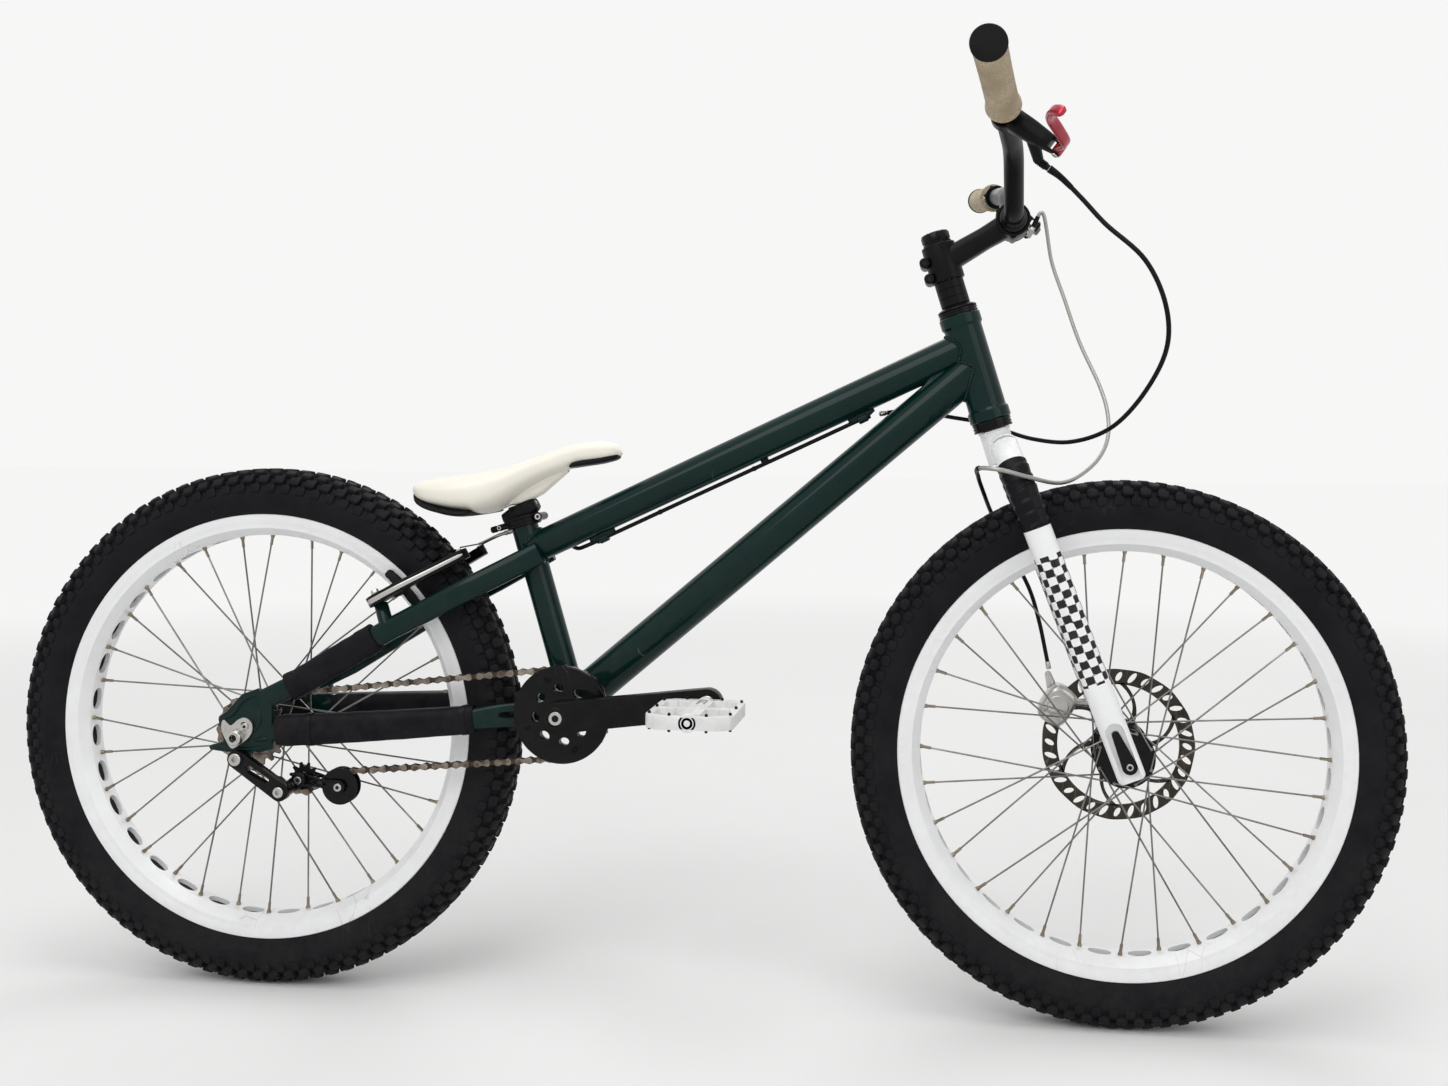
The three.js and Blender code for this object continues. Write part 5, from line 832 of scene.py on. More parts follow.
tyreValues = {"treads": 96,
              "flank": [(250, 18.9), (260.4, 19.2), (263.5, 22.8), (269, 26.6), (277, 29.6), (285, 30.6),
                        (289, 30), (296, 27.2), (302.5, 23), (307, 17.5), (310.8, 10), (311.9, 0)],
              "rows": [(311.6, 5.6, 3, 12.2, 9.0, 4.15, 0.0), (308.6, 16.4, 26, 12.2, 9.4, 5.2, 0.5),
                       (301.4, 24.4, 52, 12.8, 10.2, 5.0, 0.0), (292.6, 28.9, 76, 11.6, 10.5, 1.9, 0.5)],
              "wall": 3.6}


# One block of the tread: a block with a narrower top, standing on the tyre's curve.
def knob(axle, radius, y, lean, length, width, height, shift, side):
    lean = math.radians(lean)
    out = Vector((math.cos(lean), side * math.sin(lean), 0))
    across = Vector((-math.sin(lean), side * math.cos(lean), 0))
    foot = axle + Vector((radius, side * y, 0)) - out * 1.2
    rings = []
    for rise, share in ((0, 1.1), (0.68, 1.02), (0.9, 0.97), (1, 0.84)):
        rings.append(squareRing(foot + out * (1.2 + height) * rise, upward, across, length / 2 * share,
                                width / 2 * share, 1.0, 12, math.pi / 12))
    return spin(loft(rings), axle, leftward, -2 * math.pi * shift / tyreValues["treads"])


# Rows of the tread: radius, distance from the middle, lean, length, width, height, shift.
def makeTyre(name, axle, body, v):
    outer = v["flank"]
    inner = [(r - v["wall"] * 0.9, y - v["wall"] * 0.4) for r, y in outer[2:-1]]
    half = [(250, 15.6), *outer]
    profile = half + [(r, -y) for r, y in reversed(half[:-1])]
    profile += [(r, -y) for r, y in inner]
    profile += [(outer[-1][0] - v["wall"], 0), *reversed(inner)]
    look = body.split("_")[0] + "TyreRubber"
    makePiece(name, [(lathe(profile, axle, leftward, 128), look)], body, [name + "_tyre"], angle=50)
    shapes = [knob(axle, *row, side) for row in v["rows"] for side in (-1, 1)]
    ringPiece(name + "Tread", shapes, look, v["treads"], axle, body)


rimValues = {"holes": 32, "holeLong": 13.5, "holeWide": 7.8, "steps": 160}


def makeRim(name, axle, body, v):
    outer = [(260, 21.2), (259.2, 22), (250, 22), (249.4, 21.7), (244.6, 21.7), (243, 21.4),
             (236.4, 14.2), (234, 11)]
    inner = [(236.6, 10.2), (238.6, 12.8), (244.6, 19.4), (259.4, 19.5), (260, 20.2)]
    profile = inner[::-1] + outer + [(r, -y) for r, y in reversed(outer)] + [(r, -y) for r, y in inner]
    cutter = loft([squareRing(axle + Vector((radius, 0, 0)), upward, leftward, v["holeLong"],
                              v["holeWide"], 0.25, 28)
                   for radius in (226, 241.5)])
    cutter = spin(cutter, axle, leftward, -math.pi / v["holes"])
    cutters = ringPiece(name + "HoleCutters", [cutter], "whitePaint", v["holes"], axle)
    makePiece(name, [(lathe(profile, axle, leftward, v["steps"]), "whitePaint")], body,
              [name.replace("Rim", "_rim")], cuts=[cutters], angle=30)
    tape = [(239.6, 11.6), (240.2, 11.6), (240.2, -11.6), (239.6, -11.6)]
    makePiece(name + "Tape", [(lathe(tape, axle, leftward, 128), "rimTape")], body)


spokeValues = {"circle": 31.0, "radius": 1.05, "crossing": 67.5, "pairs": 8, "end": 233.4,
               "nippleLong": 12.5, "nippleWide": 2.2}


# Crossed pairs of spokes, each with a bent end, a head and a nipple.
def makeSpokes(name, axle, body, sides, v):
    steel, brass = [], []
    for side, face, start in sides:
        for number, lean in enumerate((1, -1)):
            turn = start + 360 / v["pairs"] / 2 * number
            flange = face + side * (2.1 if lean > 0 else -2.1)
            root = aroundAxle(axle, v["circle"], turn, flange)
            tip = aroundAxle(axle, v["end"], turn + lean * v["crossing"], side * 5.0)
            way = (tip - root).normalized()
            elbow = aroundAxle(axle, v["circle"] - 0.2, turn, face - side * (0.6 if lean > 0 else -0.6))
            path = smoothPath([elbow, root + way * 0.6, root + way * 4, tip - way * v["nippleLong"]], 3)
            steel.append(sweep(path, v["radius"], 8))
            head = aroundAxle(axle, v["circle"], turn, face - side * (2.6 if lean > 0 else -2.6))
            steel.append(rod(head, head + Vector((0, side * (1.2 if lean > 0 else -1.2), 0)), 2.1, 10))
            collar = tip - way * 3
            brass.append(rod(tip - way * v["nippleLong"], collar, v["nippleWide"] * 0.82, 6))
            brass.append(rod(collar, tip + way * 1.6, v["nippleWide"], 10, v["nippleWide"] * 1.35))
    ringPiece(name + "Spokes", steel, "spokeSteel", v["pairs"], axle, body)
    ringPiece(name + "Nipples", brass, "nippleBrass", v["pairs"], axle, body)


hubValues = {
    "front": {"profile": [(5.2, -50.4), (9, -50.4), (9.4, -45), (14, -42), (15, -36), (21, -34.6),
                          (33.6, -33.6), (34, -33.1), (34, -30.6), (33.4, -30.2), (22, -29.6), (15, -26),
                          (13, -20), (12.4, -4), (13, 10), (15, 17), (22, 19.8), (33.4, 20.4), (34, 20.8),
                          (34, 23.2), (33.4, 23.7), (24, 24.8), (22, 27), (22, 37.6), (17, 38.8),
                          (15, 42), (9.4, 45), (9, 50.4), (5.2, 50.4)],
              "spokes": [(-1, -32, 0.0), (1, 22, 11.25)]},
    "rear": {"profile": [(5.2, -60), (9, -60), (9, -59.7), (17.5, -33.2), (19, -32.6), (21, -28.6),
                         (33.4, -27.6), (34, -27.1), (34, -24.8), (33.4, -24.3), (22, -23.4), (16, -20),
                         (14, -14), (13.4, 4), (14, 22), (16, 28.4), (22, 30.8), (33.4, 31.4), (34, 31.9),
                         (34, 34.2), (33.4, 34.7), (22, 36), (17, 40), (16, 56), (12, 59), (9, 62),
                         (9, 67), (5.2, 67)],
             "spokes": [(-1, -26, 0.0), (1, 33, 11.25)]}}


def makeHub(name, axle, body, v):
    makePiece(name + "Hub", [(lathe(v["profile"], axle, leftward, 96), "blackGloss")], body,
              [name + "_hub"], angle=32)
    makeSpokes(name, axle, body, v["spokes"], spokeValues)


for label, axle in (("front", frontAxle), ("rear", rearAxle)):
    body = label + "_wheel"
    makeTyre(label, axle, body, tyreValues)
    makeRim(label + "Rim", axle, body, rimValues)
    makeHub(label, axle, body, hubValues[label])
print("wheels built")


rotorValues = {"offset": 40, "wall": 1.8, "outer": 90, "inner": 71.5, "wave": 0.7, "slots": 32,
               "slotCircle": 80.8, "slotLong": 7.6, "slotWide": 3.1, "slant": 60, "arms": 6,
               "armWide": 6.4, "sweep": 28, "centre": (23, 32), "boltCircle": 27.5}


def makeRotor(v):
    base = frontAxle + leftward * (v["offset"] + v["wall"] / 2)
    outline = []
    for k in range(180):
        a = 2 * math.pi * k / 180
        radius = v["outer"] - v["wave"] * (1 - math.cos(a * 15)) / 2
        outline.append(polar(radius, a))
    holes = [ovalLoop((0, 0), v["inner"], v["inner"], sides=120)]
    for k in range(v["slots"]):
        a = 2 * math.pi * k / v["slots"]
        size = 1.0 if k % 2 else 0.8
        holes.append(ovalLoop(polar(v["slotCircle"], a), v["slotLong"] * size, v["slotWide"],
                              a + math.radians(v["slant"]) - math.pi / 2, 16))
    shapes = [plate(outline, base, forward, upward, v["wall"], holes)]
    low, high = v["centre"]
    shapes.append(plate(ovalLoop((0, 0), high, high, sides=72), base, forward, upward, v["wall"],
                        [ovalLoop((0, 0), low, low, sides=60)]))
    for k in range(v["arms"]):
        start = 2 * math.pi * k / v["arms"]
        sides = ([], [])
        for step in range(15):
            share = step / 14
            a = start + math.radians(v["sweep"]) * share ** 1.6
            radius = high - 2 + (v["inner"] + 4 - high) * share
            half = v["armWide"] / 2 * (1.25 - 0.5 * math.sin(math.pi * share))
            for y, side in zip((-1, 1), sides):
                turn = a + y * half / radius
                side.append(polar(radius, turn))
        shapes.append(plate([*sides[0], *reversed(sides[1])], base, forward, upward, v["wall"]))
    parts = [(shape, "rotorSteel") for shape in shapes]
    for k in range(6):
        a = 2 * math.pi * (k + 0.5) / 6
        spot = base + (forward * math.cos(a) + upward * math.sin(a)) * v["boltCircle"]
        parts.append((rod(spot - leftward * 0.4, spot + leftward * 0.9, 3.6, 20, lip=0.3), "blackMetal"))
    makePiece("brakeRotor", parts, "front_wheel", ["brake_rotor"], angle=30)


makeRotor(rotorValues)


# The edge where two tubes meet, as a loop: lines on the first tube run until they touch the second.
def jointLoop(start, end, radius, other, otherAxis, otherRadius, steps=110, endRadius=None):
    way = (end - start).normalized()
    side = way.orthogonal().normalized()
    up = way.cross(side)
    size = (end - start).length
    tip = radius if endRadius is None else endRadius
    out = []
    for k in range(steps):
        a = 2 * math.pi * k / steps
        turn = side * math.cos(a) + up * math.sin(a)
        here = start + turn * radius
        there = end + turn * tip
        d = (there - here).normalized()
        p = here - other
        p -= otherAxis * p.dot(otherAxis)
        q = d - otherAxis * d.dot(otherAxis)
        aa, bb, cc = q.dot(q), p.dot(q), p.dot(p) - otherRadius ** 2
        t = (-bb - math.sqrt(max(bb * bb - aa * cc, 0.0))) / aa
        out.append(here + d * min(max(t, 0.0), size * 1.2))
    return out


# A rippled bead along a joint.
def weld(loop, size=2.3, ripples=70):
    stations = smoothPath(loop, 3, True)
    return sweep(stations, lambda share: size * (1 + 0.2 * math.sin(share * 2 * math.pi * ripples)), 8,
                 True)


seatUp = Vector((-0.3, 0, 1)).normalized()
frameSizes = {"seatTube": 16, "seatTubeLong": 239, "topRear": 18.5, "topFront": 20, "topHead": 504,
              "topJoint": 188, "downRear": 23.2, "downFront": 22.4, "downHead": 478, "downLift": 4.5,
              "head": (413, 541), "headRadius": 22.5, "collar": 24.6, "collarLong": 13, "shell": 20,
              "shellHalf": 34, "sides": 64, "weld": 2.2, "gusset": 25, "stops": [(439.2, 1), (82.1, -1)],
              "stopDrop": 5.3, "clip": 306}


def makeMainTubes(v):
    seatTop = bracket + seatUp * v["seatTubeLong"]
    topRear = bracket + seatUp * (v["topJoint"] / seatUp.z)
    topFront = onSteer(v["topHead"])
    downRear = bracket + upward * v["downLift"]
    downFront = onSteer(v["downHead"])
    low, high = v["head"]
    lip = v["collar"] - v["headRadius"]
    head = [(17.4, low), (v["collar"] - 1, low), (v["collar"], low + 1),
            (v["collar"], low + v["collarLong"] - 1), (v["collar"] - 0.8, low + v["collarLong"]),
            (v["headRadius"], low + v["collarLong"] + lip),
            (v["headRadius"], high - v["collarLong"] - lip), (v["collar"] - 0.8, high - v["collarLong"]),
            (v["collar"], high - v["collarLong"] + 1), (v["collar"], high - 1), (v["collar"] - 1, high),
            (17.4, high)]
    makePiece("headTubeShell", [(lathe(head, steerBase, steerUp, 96), "greenPaint")], "frame",
              ["head_tube"], angle=30)
    shares = [(0, v["topRear"]), (0.06, v["topRear"]), (0.5, 19.4), (0.93, v["topFront"]),
              (1, v["topFront"])]
    topWay = (topFront - topRear).normalized()
    length = (topFront - topRear).length
    clipPlace = topRear + topWay * v["clip"]
    topDown = leftward.cross(topWay).normalized()
    topDown = topDown if topDown.z < 0 else -topDown    # the one that points down
    stops = []
    for far, reach in v["stops"]:
        seat = topRear + topWay * far + topDown * (v["topRear"]
                                                   + (v["topFront"] - v["topRear"]) * far / length
                                                   + v["stopDrop"])
        finish = seat - topWay * 12 if reach > 0 else seat + topWay * 12
        stops.append((rod(seat, finish, 5.4, 24, lip=0.8), "greenPaint"))
        stops.append((rod(seat - (finish - seat).normalized() * 3.5, seat + (finish - seat) * 0.2, 3.9,
                          18, lip=0.5),
                      "blackMetal"))
        foot = seat.lerp(finish, 0.5) - topDown * 4
        rings = [squareRing(foot + topWay * s * 17, leftward, topDown, w, h, 0.5, 20) for s, w, h in
                 ((-1, 1.2, 2), (-0.6, 3.6, 4.6), (0, 4.6, 5.6), (0.6, 3.6, 4.6), (1, 1.2, 2))]
        stops.append((loft(rings), "greenPaint"))
    tube = lathe([(0, 0), *[(r, s * length) for s, r in shares], (0, length)], topRear, topWay, v["sides"])
    makePiece("topTubeShell", [(tube, "greenPaint"), *stops], "frame", ["top_tube"],
              angle=40)
    clip = [(loft([squareRing(clipPlace + topWay * s + topDown * 21.6, leftward, topDown, 4.2, 4.6, 0.5,
                              24)
                   for s in (-4.5, 4.5)]),
             "plasticBlack"),
            (rod(clipPlace + topDown * 18 + leftward * -5, clipPlace + topDown * 18 + leftward * 5, 2.6,
                 16),
             "plasticBlack")]
    makePiece("cableClip", clip, "frame", bevel=0.6)
    downWay = (downFront - downRear).normalized()
    downLength = (downFront - downRear).length
    tube = lathe([(0, 8), (v["downRear"], 8), (v["downRear"], downLength * 0.4),
                  (v["downFront"], downLength), (0, downLength)],
                 downRear, downWay, v["sides"])
    downTop = downWay.cross(leftward) * -1
    gussetOutline = [(0.835, -0.55), (0.87, -0.8), (0.905, -0.98), (0.945, -1.22), (0.985, -1.46),
                     (0.992, -0.6), (1, 0.4), (0.88, 0.4)]
    outline = [(far * downLength, high * v["downRear"]) for far, high in gussetOutline]
    half = leftward * (v["gusset"] / 2 if downWay.cross(downTop).y > 0 else -v["gusset"] / 2)
    gusset = plate(outline, downRear - half, downWay, downTop, v["gusset"])
    makePiece("downTubeShell", [(tube, "greenPaint")], "frame", ["down_tube"], angle=40)
    makePiece("downTubeGusset", [(gusset, "greenPaint")], "frame", bevel=5, angle=40)
    seat = lathe([(13.8, 0), (v["seatTube"], 0), (v["seatTube"], v["seatTubeLong"]),
                  (13.8, v["seatTubeLong"])],
                 bracket, seatUp, v["sides"])
    makePiece("seatTubeShell", [(seat, "greenPaint")], "frame", ["seat_tube"])
    half = v["shellHalf"]
    shell = lathe([(17.3, -half), (v["shell"] - 0.8, -half), (v["shell"], -half + 0.8),
                   (v["shell"], half - 0.8), (v["shell"] - 0.8, half), (17.3, half)],
                  bracket, leftward, 80)
    makePiece("bracketShell", [(shell, "greenPaint")], "frame", ["bottom_bracket_shell"],
              angle=30)
    loops = [jointLoop(topRear, topFront, v["topRear"], steerBase, steerUp, v["headRadius"],
                       endRadius=v["topFront"]),
             jointLoop(downRear, downFront, v["downRear"], steerBase, steerUp, v["headRadius"],
                       endRadius=v["downFront"]),
             jointLoop(topFront, topRear, v["topFront"], bracket, seatUp, v["seatTube"],
                       endRadius=v["topRear"]),
             jointLoop(downFront, downRear, v["downFront"], bracket, leftward, v["shell"],
                       endRadius=v["downRear"]),
             jointLoop(seatTop, bracket, v["seatTube"], bracket, leftward, v["shell"])]
    makePiece("frameWelds", [(weld(loop, v["weld"]), "greenPaint") for loop in loops], "frame",
              angle=60)


makeMainTubes(frameSizes)
print("main tubes built")

stayValues = {"halfWidth": 9, "halfHeight": 12, "middle": 71.5, "square": 0.36, "sides": 40,
              "chain": {"reach": 384,
                        "rows": [(.07, 1, .01, .44, .9), (.13, .955, .018, .85, 1), (.3, .88, .028, 1, 1),
                                 (.5, .785, .042, 1, 1), (.68, .68, .056, 1, 1),
                                 (.78, .552, .068, .5, 1.15), (.84, .517, .073, .42, 1.2),
                                 (.97, .37, .081, .42, 1.1)],
                        "sleeve": (.115, .72), "walls": ((2.8, 7.0), (2.8, 4.5)), "slot": (.79, .9)},
              "seat": {"reach": 344.98,
                       "rows": [(.07, 1, .12, .44, 1), (.2, .92, .185, .85, 1.05),
                                (.35, .845, .277, .88, 1.08), (.5, .77, .368, .9, 1.1),
                                (.64, .695, .443, .9, 1.13), (.777, .62, .516, .9, 1.17),
                                (.945, .36, .607, .8, 1.17), (1, .27, .637, .7, 1.15)],
                       "sleeve": (.17, .46), "walls": ((2.8, 4.0), (2.8, 4.0)), "bridge": .84}}


# A stay's row at a share of its reach: forward, across, up, half width and half height.
def stayRow(rows, share):
    for a, b in zip(rows, rows[1:]):
        if share <= b[0] or b is rows[-1]:
            part = (share - a[0]) / (b[0] - a[0])
            return [x + (y - x) * part for x, y in zip(a, b)]


def stayRings(v, kind, side, shares, widen=lambda share: (0, 0)):
    rows, reach, rings = v[kind]["rows"], v[kind]["reach"], []

    def centre(share):
        row = stayRow(rows, share)
        return fromRear(row[0] * reach, side * row[1] * v["middle"], row[2] * reach)
    for share in shares:
        row = stayRow(rows, share)
        span = centre(min(share + 0.03, 1)) - centre(max(share - 0.03, rows[0][0]))
        rising = risingFrom(span).normalized()
        wide, tall = widen(share)
        rings.append(squareRing(centre(share), leftward, rising, row[3] * v["halfWidth"] + wide,
                                row[4] * v["halfHeight"] + tall, v["square"], v["sides"]))
    return rings


def spread(start, end, count):
    return [start + (end - start) * k / (count - 1) for k in range(count)]


dropoutValues = {"inner": 67.5, "wall": 8, "span": 40, "bore": 5.3,
                 "outline": [(-.67, .44), (-.63, .57), (-.4, .74), (.06, 1.25), (.28, 1.32), (.57, 1.43),
                             (1, .95), (1.02, -.38), (.62, -.47), (.3, -.44), (-.39, -.5), (-.92, -.44),
                             (-.97, -.32), (-.45, -.16)],
                 "hanger": [(-.2, -.3), (-.25, -.72), (-.15, -.86), (.02, -.9), (.2, -.84), (.3, -.72),
                            (.4, -.3)],
                 "cam": [(-.49, .41), (-.41, .48), (-.21, .33), (.01, .5), (.23, .57), (.43, .43),
                         (.46, .19), (.33, -.03), (.08, -.22), (-.17, -.35), (-.37, -.09), (-.49, .19)]}


def makeDropout(side, v):
    span = v["span"]
    face = rearAxle + leftward * side * v["inner"]
    outline = [(a * span, b * span) for a, b in v["outline"]]
    across, rising = (forward, upward) if side < 0 else (upward, forward)
    flip = (lambda pts: pts) if side < 0 else (lambda pts: [(b, a) for a, b in pts])
    shapes = []
    body = plate(flip(outline), face, across, rising, v["wall"],
                 [flip(ovalLoop((0, 0), v["bore"], v["bore"]))])
    makePiece("dropout" + sideNames[side], [(body, "greenPaint")], "frame", bevel=1.6,
              angle=30)
    outer = face + leftward * side * v["wall"]
    ribs = [[(-.5, .5), (-.2, .66), (.1, 1.05), (.5, 1.22)],
            [(-.55, -.3), (0, -.38), (.5, -.36), (.9, -.28)], [(.42, .1), (.62, .45), (.62, .9)],
            [(.5, -.1), (.9, -.05)]]
    for rib in ribs:
        path = smoothPath([outer + forward * a * span + upward * b * span - leftward * side * 0.6
                           for a, b in rib],
                          8)
        shapes.append((sweep(path, lambda s: 1.2 + 1.6 * math.sin(math.pi * min(max(s, 0.04), 0.96)), 14),
                       "greenPaint"))
    if side < 0:
        hanger = [(a * span, b * span) for a, b in v["hanger"]]
        shapes.append((plate(hanger, face, forward, upward, v["wall"]), "greenPaint"))
    makePiece("dropoutRibs" + sideNames[side], shapes, "frame", bevel=0.8, angle=35)
    cam = [(a * span, b * span) for a, b in v["cam"]]
    smooth = [(p.x, p.y) for p in smoothPath([Vector((a, b, 0)) for a, b in cam], 5, True)]
    face = outer + leftward * side * 0.3
    parts = [(plate(flip(smooth), face, across, rising, 4, [flip(ovalLoop((7.5, 14.5), 3.2, 3.2))]),
              "silver")]
    return parts, face + leftward * side * 4


# A round bolt head with a recess, and a dark disc on the recess's floor as painted shade.
def hexBolt(base, axis, radius, height, look="silver", socket=0.5):
    recess = radius * socket
    ring = lathe([(0, 0), (radius, 0), (radius, height - radius * 0.12), (radius * 0.88, height),
                  (recess, height), (recess, height - radius * 0.5), (0, height - radius * 0.5)],
                 base, axis, 28)
    # The dark disc on the recess's floor is painted shade, not a colour of the bolt.
    floor = lathe([(0, height - radius * 0.5), (recess * 0.98, height - radius * 0.5),
                   (recess * 0.98, height - radius * 0.44), (0, height - radius * 0.44)],
                  base, axis, 6)
    return [(ring, look), (floor, "rimTape")]


# The rear brake's arms turn on bosses that the seat stays carry.
brakeSeat = {"pivot": (157.97, 50, 163.02), "slope": 29}
brakeAlong = heading(brakeSeat["slope"])
brakeNormal = risingFrom(brakeAlong)


def brakePivot(side):
    x, y, z = brakeSeat["pivot"]
    return fromRear(x, side * y, z)


def makeRearFrame(v):
    for side, name in sideNames.items():
        low = name.lower()
        stay = loft(stayRings(v, "chain", side, [.07, .1, *spread(.13, .68, 18), *spread(.7, .97, 12)]))
        a, b = v["chain"]["slot"]
        row = stayRow(v["chain"]["rows"], (a + b) / 2)
        reach = v["chain"]["reach"]
        slotPlace = fromRear((a + b) / 2 * reach, side * 36, row[2] * reach)
        slot = loft([squareRing(slotPlace + leftward * out, forward, upward, (b - a) / 2 * reach, 4.2,
                                0.35, 28)
                     for out in (-30, 30)])
        makePiece("chainstay" + name, [(stay, "greenPaint")], "frame", ["chainstay_" + low],
                  angle=45, cuts=[slot])
        start, end = v["chain"]["sleeve"]
        (wideA, tallA), (wideB, tallB) = v["chain"]["walls"]

        def widen(share):
            t = (share - start) / (end - start)
            lip = 1 - 0.25 * max(0, 1 - min(t, 1 - t) * 22)
            swell = 1 + 0.03 * math.sin(t * 41) * math.sin(t * 13)
            return (wideA + (wideB - wideA) * t) * lip * swell, (tallA + (tallB - tallA) * t) * lip * swell
        sleeve = loft(stayRings(v, "chain", side, spread(start, end, 60), widen))
        parts = [(sleeve, "sleeveRubber")]
        for share in (end - 0.035, start + 0.1):
            band = stayRings(v, "chain", side, spread(share, share + 0.014, 4),
                             lambda s: tuple(x + 0.9 for x in widen(s)))
            parts.append((loft(band), "tapeBlack"))
        makePiece("chainSleeve" + name, parts, "frame", ["chainstay_sleeve_" + low],
                  angle=50)
        stay = loft(stayRings(v, "seat", side, [.07, .12, *spread(.2, .777, 22), *spread(.8, 1, 10)]))
        bossShare = stayRow(v["seat"]["rows"], 0.5)
        foot = fromRear(0.5 * v["seat"]["reach"], side * bossShare[1] * v["middle"],
                        bossShare[2] * v["seat"]["reach"])
        pivot = brakePivot(side)
        parts = [(stay, "greenPaint"),
                 (rod(foot, pivot - brakeNormal * 6.3, 8.4, 32, 8.0, 0.8), "greenPaint"),
                 (rod(pivot - brakeNormal * 7, pivot + brakeNormal * 12, 4.5, 24, lip=0.4), "silver")]
        if side > 0:
            row = stayRow(v["seat"]["rows"], v["seat"]["bridge"])
            ends = [fromRear(row[0] * v["seat"]["reach"], s * row[1] * v["middle"],
                             row[2] * v["seat"]["reach"])
                    for s in (-1, 1)]
            parts.append((rod(ends[0], ends[1], 8, 36), "greenPaint"))
        makePiece("seatstay" + name, parts, "frame", ["seatstay_" + low], angle=45)
        if side < 0:
            start, end = v["seat"]["sleeve"]
            wide, tall = v["seat"]["walls"][0]

            def swollen(share, start=start, end=end, wide=wide, tall=tall):
                t = (share - start) / (end - start)
                taped = 1.12 if t > 0.82 or t < 0.1 else 1.0
                waves = (1 + 0.04 * math.sin(t * 50), 1 + 0.05 * math.sin(t * 37 + 1))
                return wide * taped * waves[0], tall * taped * waves[1]
            sleeve = loft(stayRings(v, "seat", side, spread(start, end, 56), swollen))
            makePiece("seatSleeveRight", [(sleeve, "sleeveRubber")], "frame", ["seatstay_sleeve_right"],
                      angle=50)


makeRearFrame(stayValues)
axleParts = []
for side in (-1, 1):
    camParts, camFace = makeDropout(side, dropoutValues)
    axleParts += camParts
    axleParts += hexBolt(camFace, leftward * side, 9, 10)
    axleParts += hexBolt(camFace + forward * 9.5 + upward * 12.5 - leftward * side * 0.5, leftward * side,
                         4.2, 2.6, "silver", 0.45)
axleParts.append((rod(rearAxle - leftward * 79, rearAxle + leftward * 79, 5, 32), "silver"))
makePiece("rearAxleSet", axleParts, "frame", ["rear_axle"], bevel=0.5, angle=35)
print("rear frame built")


chainValues = {"offset": -45, "pitch": 12.7,
               "wheels": [((384, 33), 52.7, 1), ((0, 0), 40.6, 1), ((65, -54), 16.6, 1),
                          ((112, -62), 16.6, -1)]}


# The chain's closed path round its four wheels; it passes the last one on the other side.
def chainPath(v):
    wheels = [(fromRear(x, v["offset"], z), r, way) for (x, z), r, way in v["wheels"]]
    headings = []
    for (a, ra, wa), (b, rb, wb) in zip(wheels, wheels[1:] + wheels[:1]):
        d = b - a
        headings.append(math.atan2(d.z, d.x) + math.asin((wa * ra - wb * rb) / d.length))
    path = []
    for k, (centre, radius, way) in enumerate(wheels):
        arrive, leave = headings[k - 1], headings[k]
        turn = ((leave - arrive) * way) % (2 * math.pi)
        steps = max(2, int(turn * radius / 3))
        for step in range(steps + 1):
            h = arrive + way * turn * step / steps
            path.append(centre + Vector((math.sin(h), 0, -math.cos(h))) * way * radius)
    return path


# An outline with two round ends and a waist, as of a chain's plate.
def strapLoop(halfLong, radius, waist=1.0, steps=7):
    out = []
    for end in (1, -1):
        for k in range(steps + 1):
            a = -math.pi / 2 + math.pi * k / steps
            out.append((end * (halfLong + radius * math.cos(a)), end * radius * math.sin(a)))
        out.append((0, end * radius * waist))
    return out


def atPath(path, distance):
    walked = 0.0
    for k in range(len(path)):
        a, b = path[k], path[(k + 1) % len(path)]
        if walked + (b - a).length >= distance:
            return k, a + (b - a) * ((distance - walked) / (b - a).length)
        walked += (b - a).length
    return 0, path[0]


def makeChain(v):
    path = chainPath(v)
    length = sum((b - a).length for a, b in zip(path, path[1:] + path[:1]))
    pairs = round(length / v["pitch"] / 2)
    half = v["pitch"] / 2
    outer, inner = [], []
    for y in (-3.5, 2.6):
        outer.append(plate(strapLoop(half, 4.1, 0.5, 4), leftward * (-y - 0.9), forward, upward, -0.9))
    for y in (-2.4, 1.5):
        inner.append(plate(strapLoop(half, 4.0, 0.6, 4), leftward * (-y - 0.9), forward, upward, -0.9))
    for x in (-half, half):
        outer.append(rod(Vector((x, -3.9, 0)), Vector((x, 3.9, 0)), 1.7, 8))
        inner.append(rod(Vector((x, -1.5, 0)), Vector((x, 1.5, 0)), 3.6, 10))
    # The inner plates and rollers take the dark rotor steel, as painted shade between the outer plates.
    for label, shapes, start, look in (("Outer", outer, 0.0, "chainSteel"),
                                       ("Inner", inner, v["pitch"], "rotorSteel")):
        unit = addObject("chainUnit" + label, buildMesh("chainUnit", [(shape, look) for shape in shapes]))
        index, first = atPath(path, start)
        around = [first, *path[index + 1:], *path[:index + 1]]
        mesh = bpy.data.meshes.new("chain" + label)
        count = len(around)
        mesh.from_pydata([p * mm for p in around], [(k, (k + 1) % count) for k in range(count)], [])
        links = grow(addObject("chain" + label, mesh), "pathPattern", Unit=unit, Count=pairs,
                     Material=materials[look])
        bpy.data.objects.remove(unit)
        smoothByAngle(links, 40)
        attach(links, "frame")
    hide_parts("chain")


makeChain(chainValues)


# The outline of a toothed wheel.
def toothLoop(radius, teeth, start=0.0, depth=3.4, rise=2.6):
    out = []
    for tooth in range(teeth):
        for part, r in ((-0.36, radius - depth), (-0.12, radius + rise), (0.12, radius + rise),
                        (0.36, radius - depth)):
            a = start + 2 * math.pi * (tooth + part) / teeth
            out.append(polar(r, a))
    return out


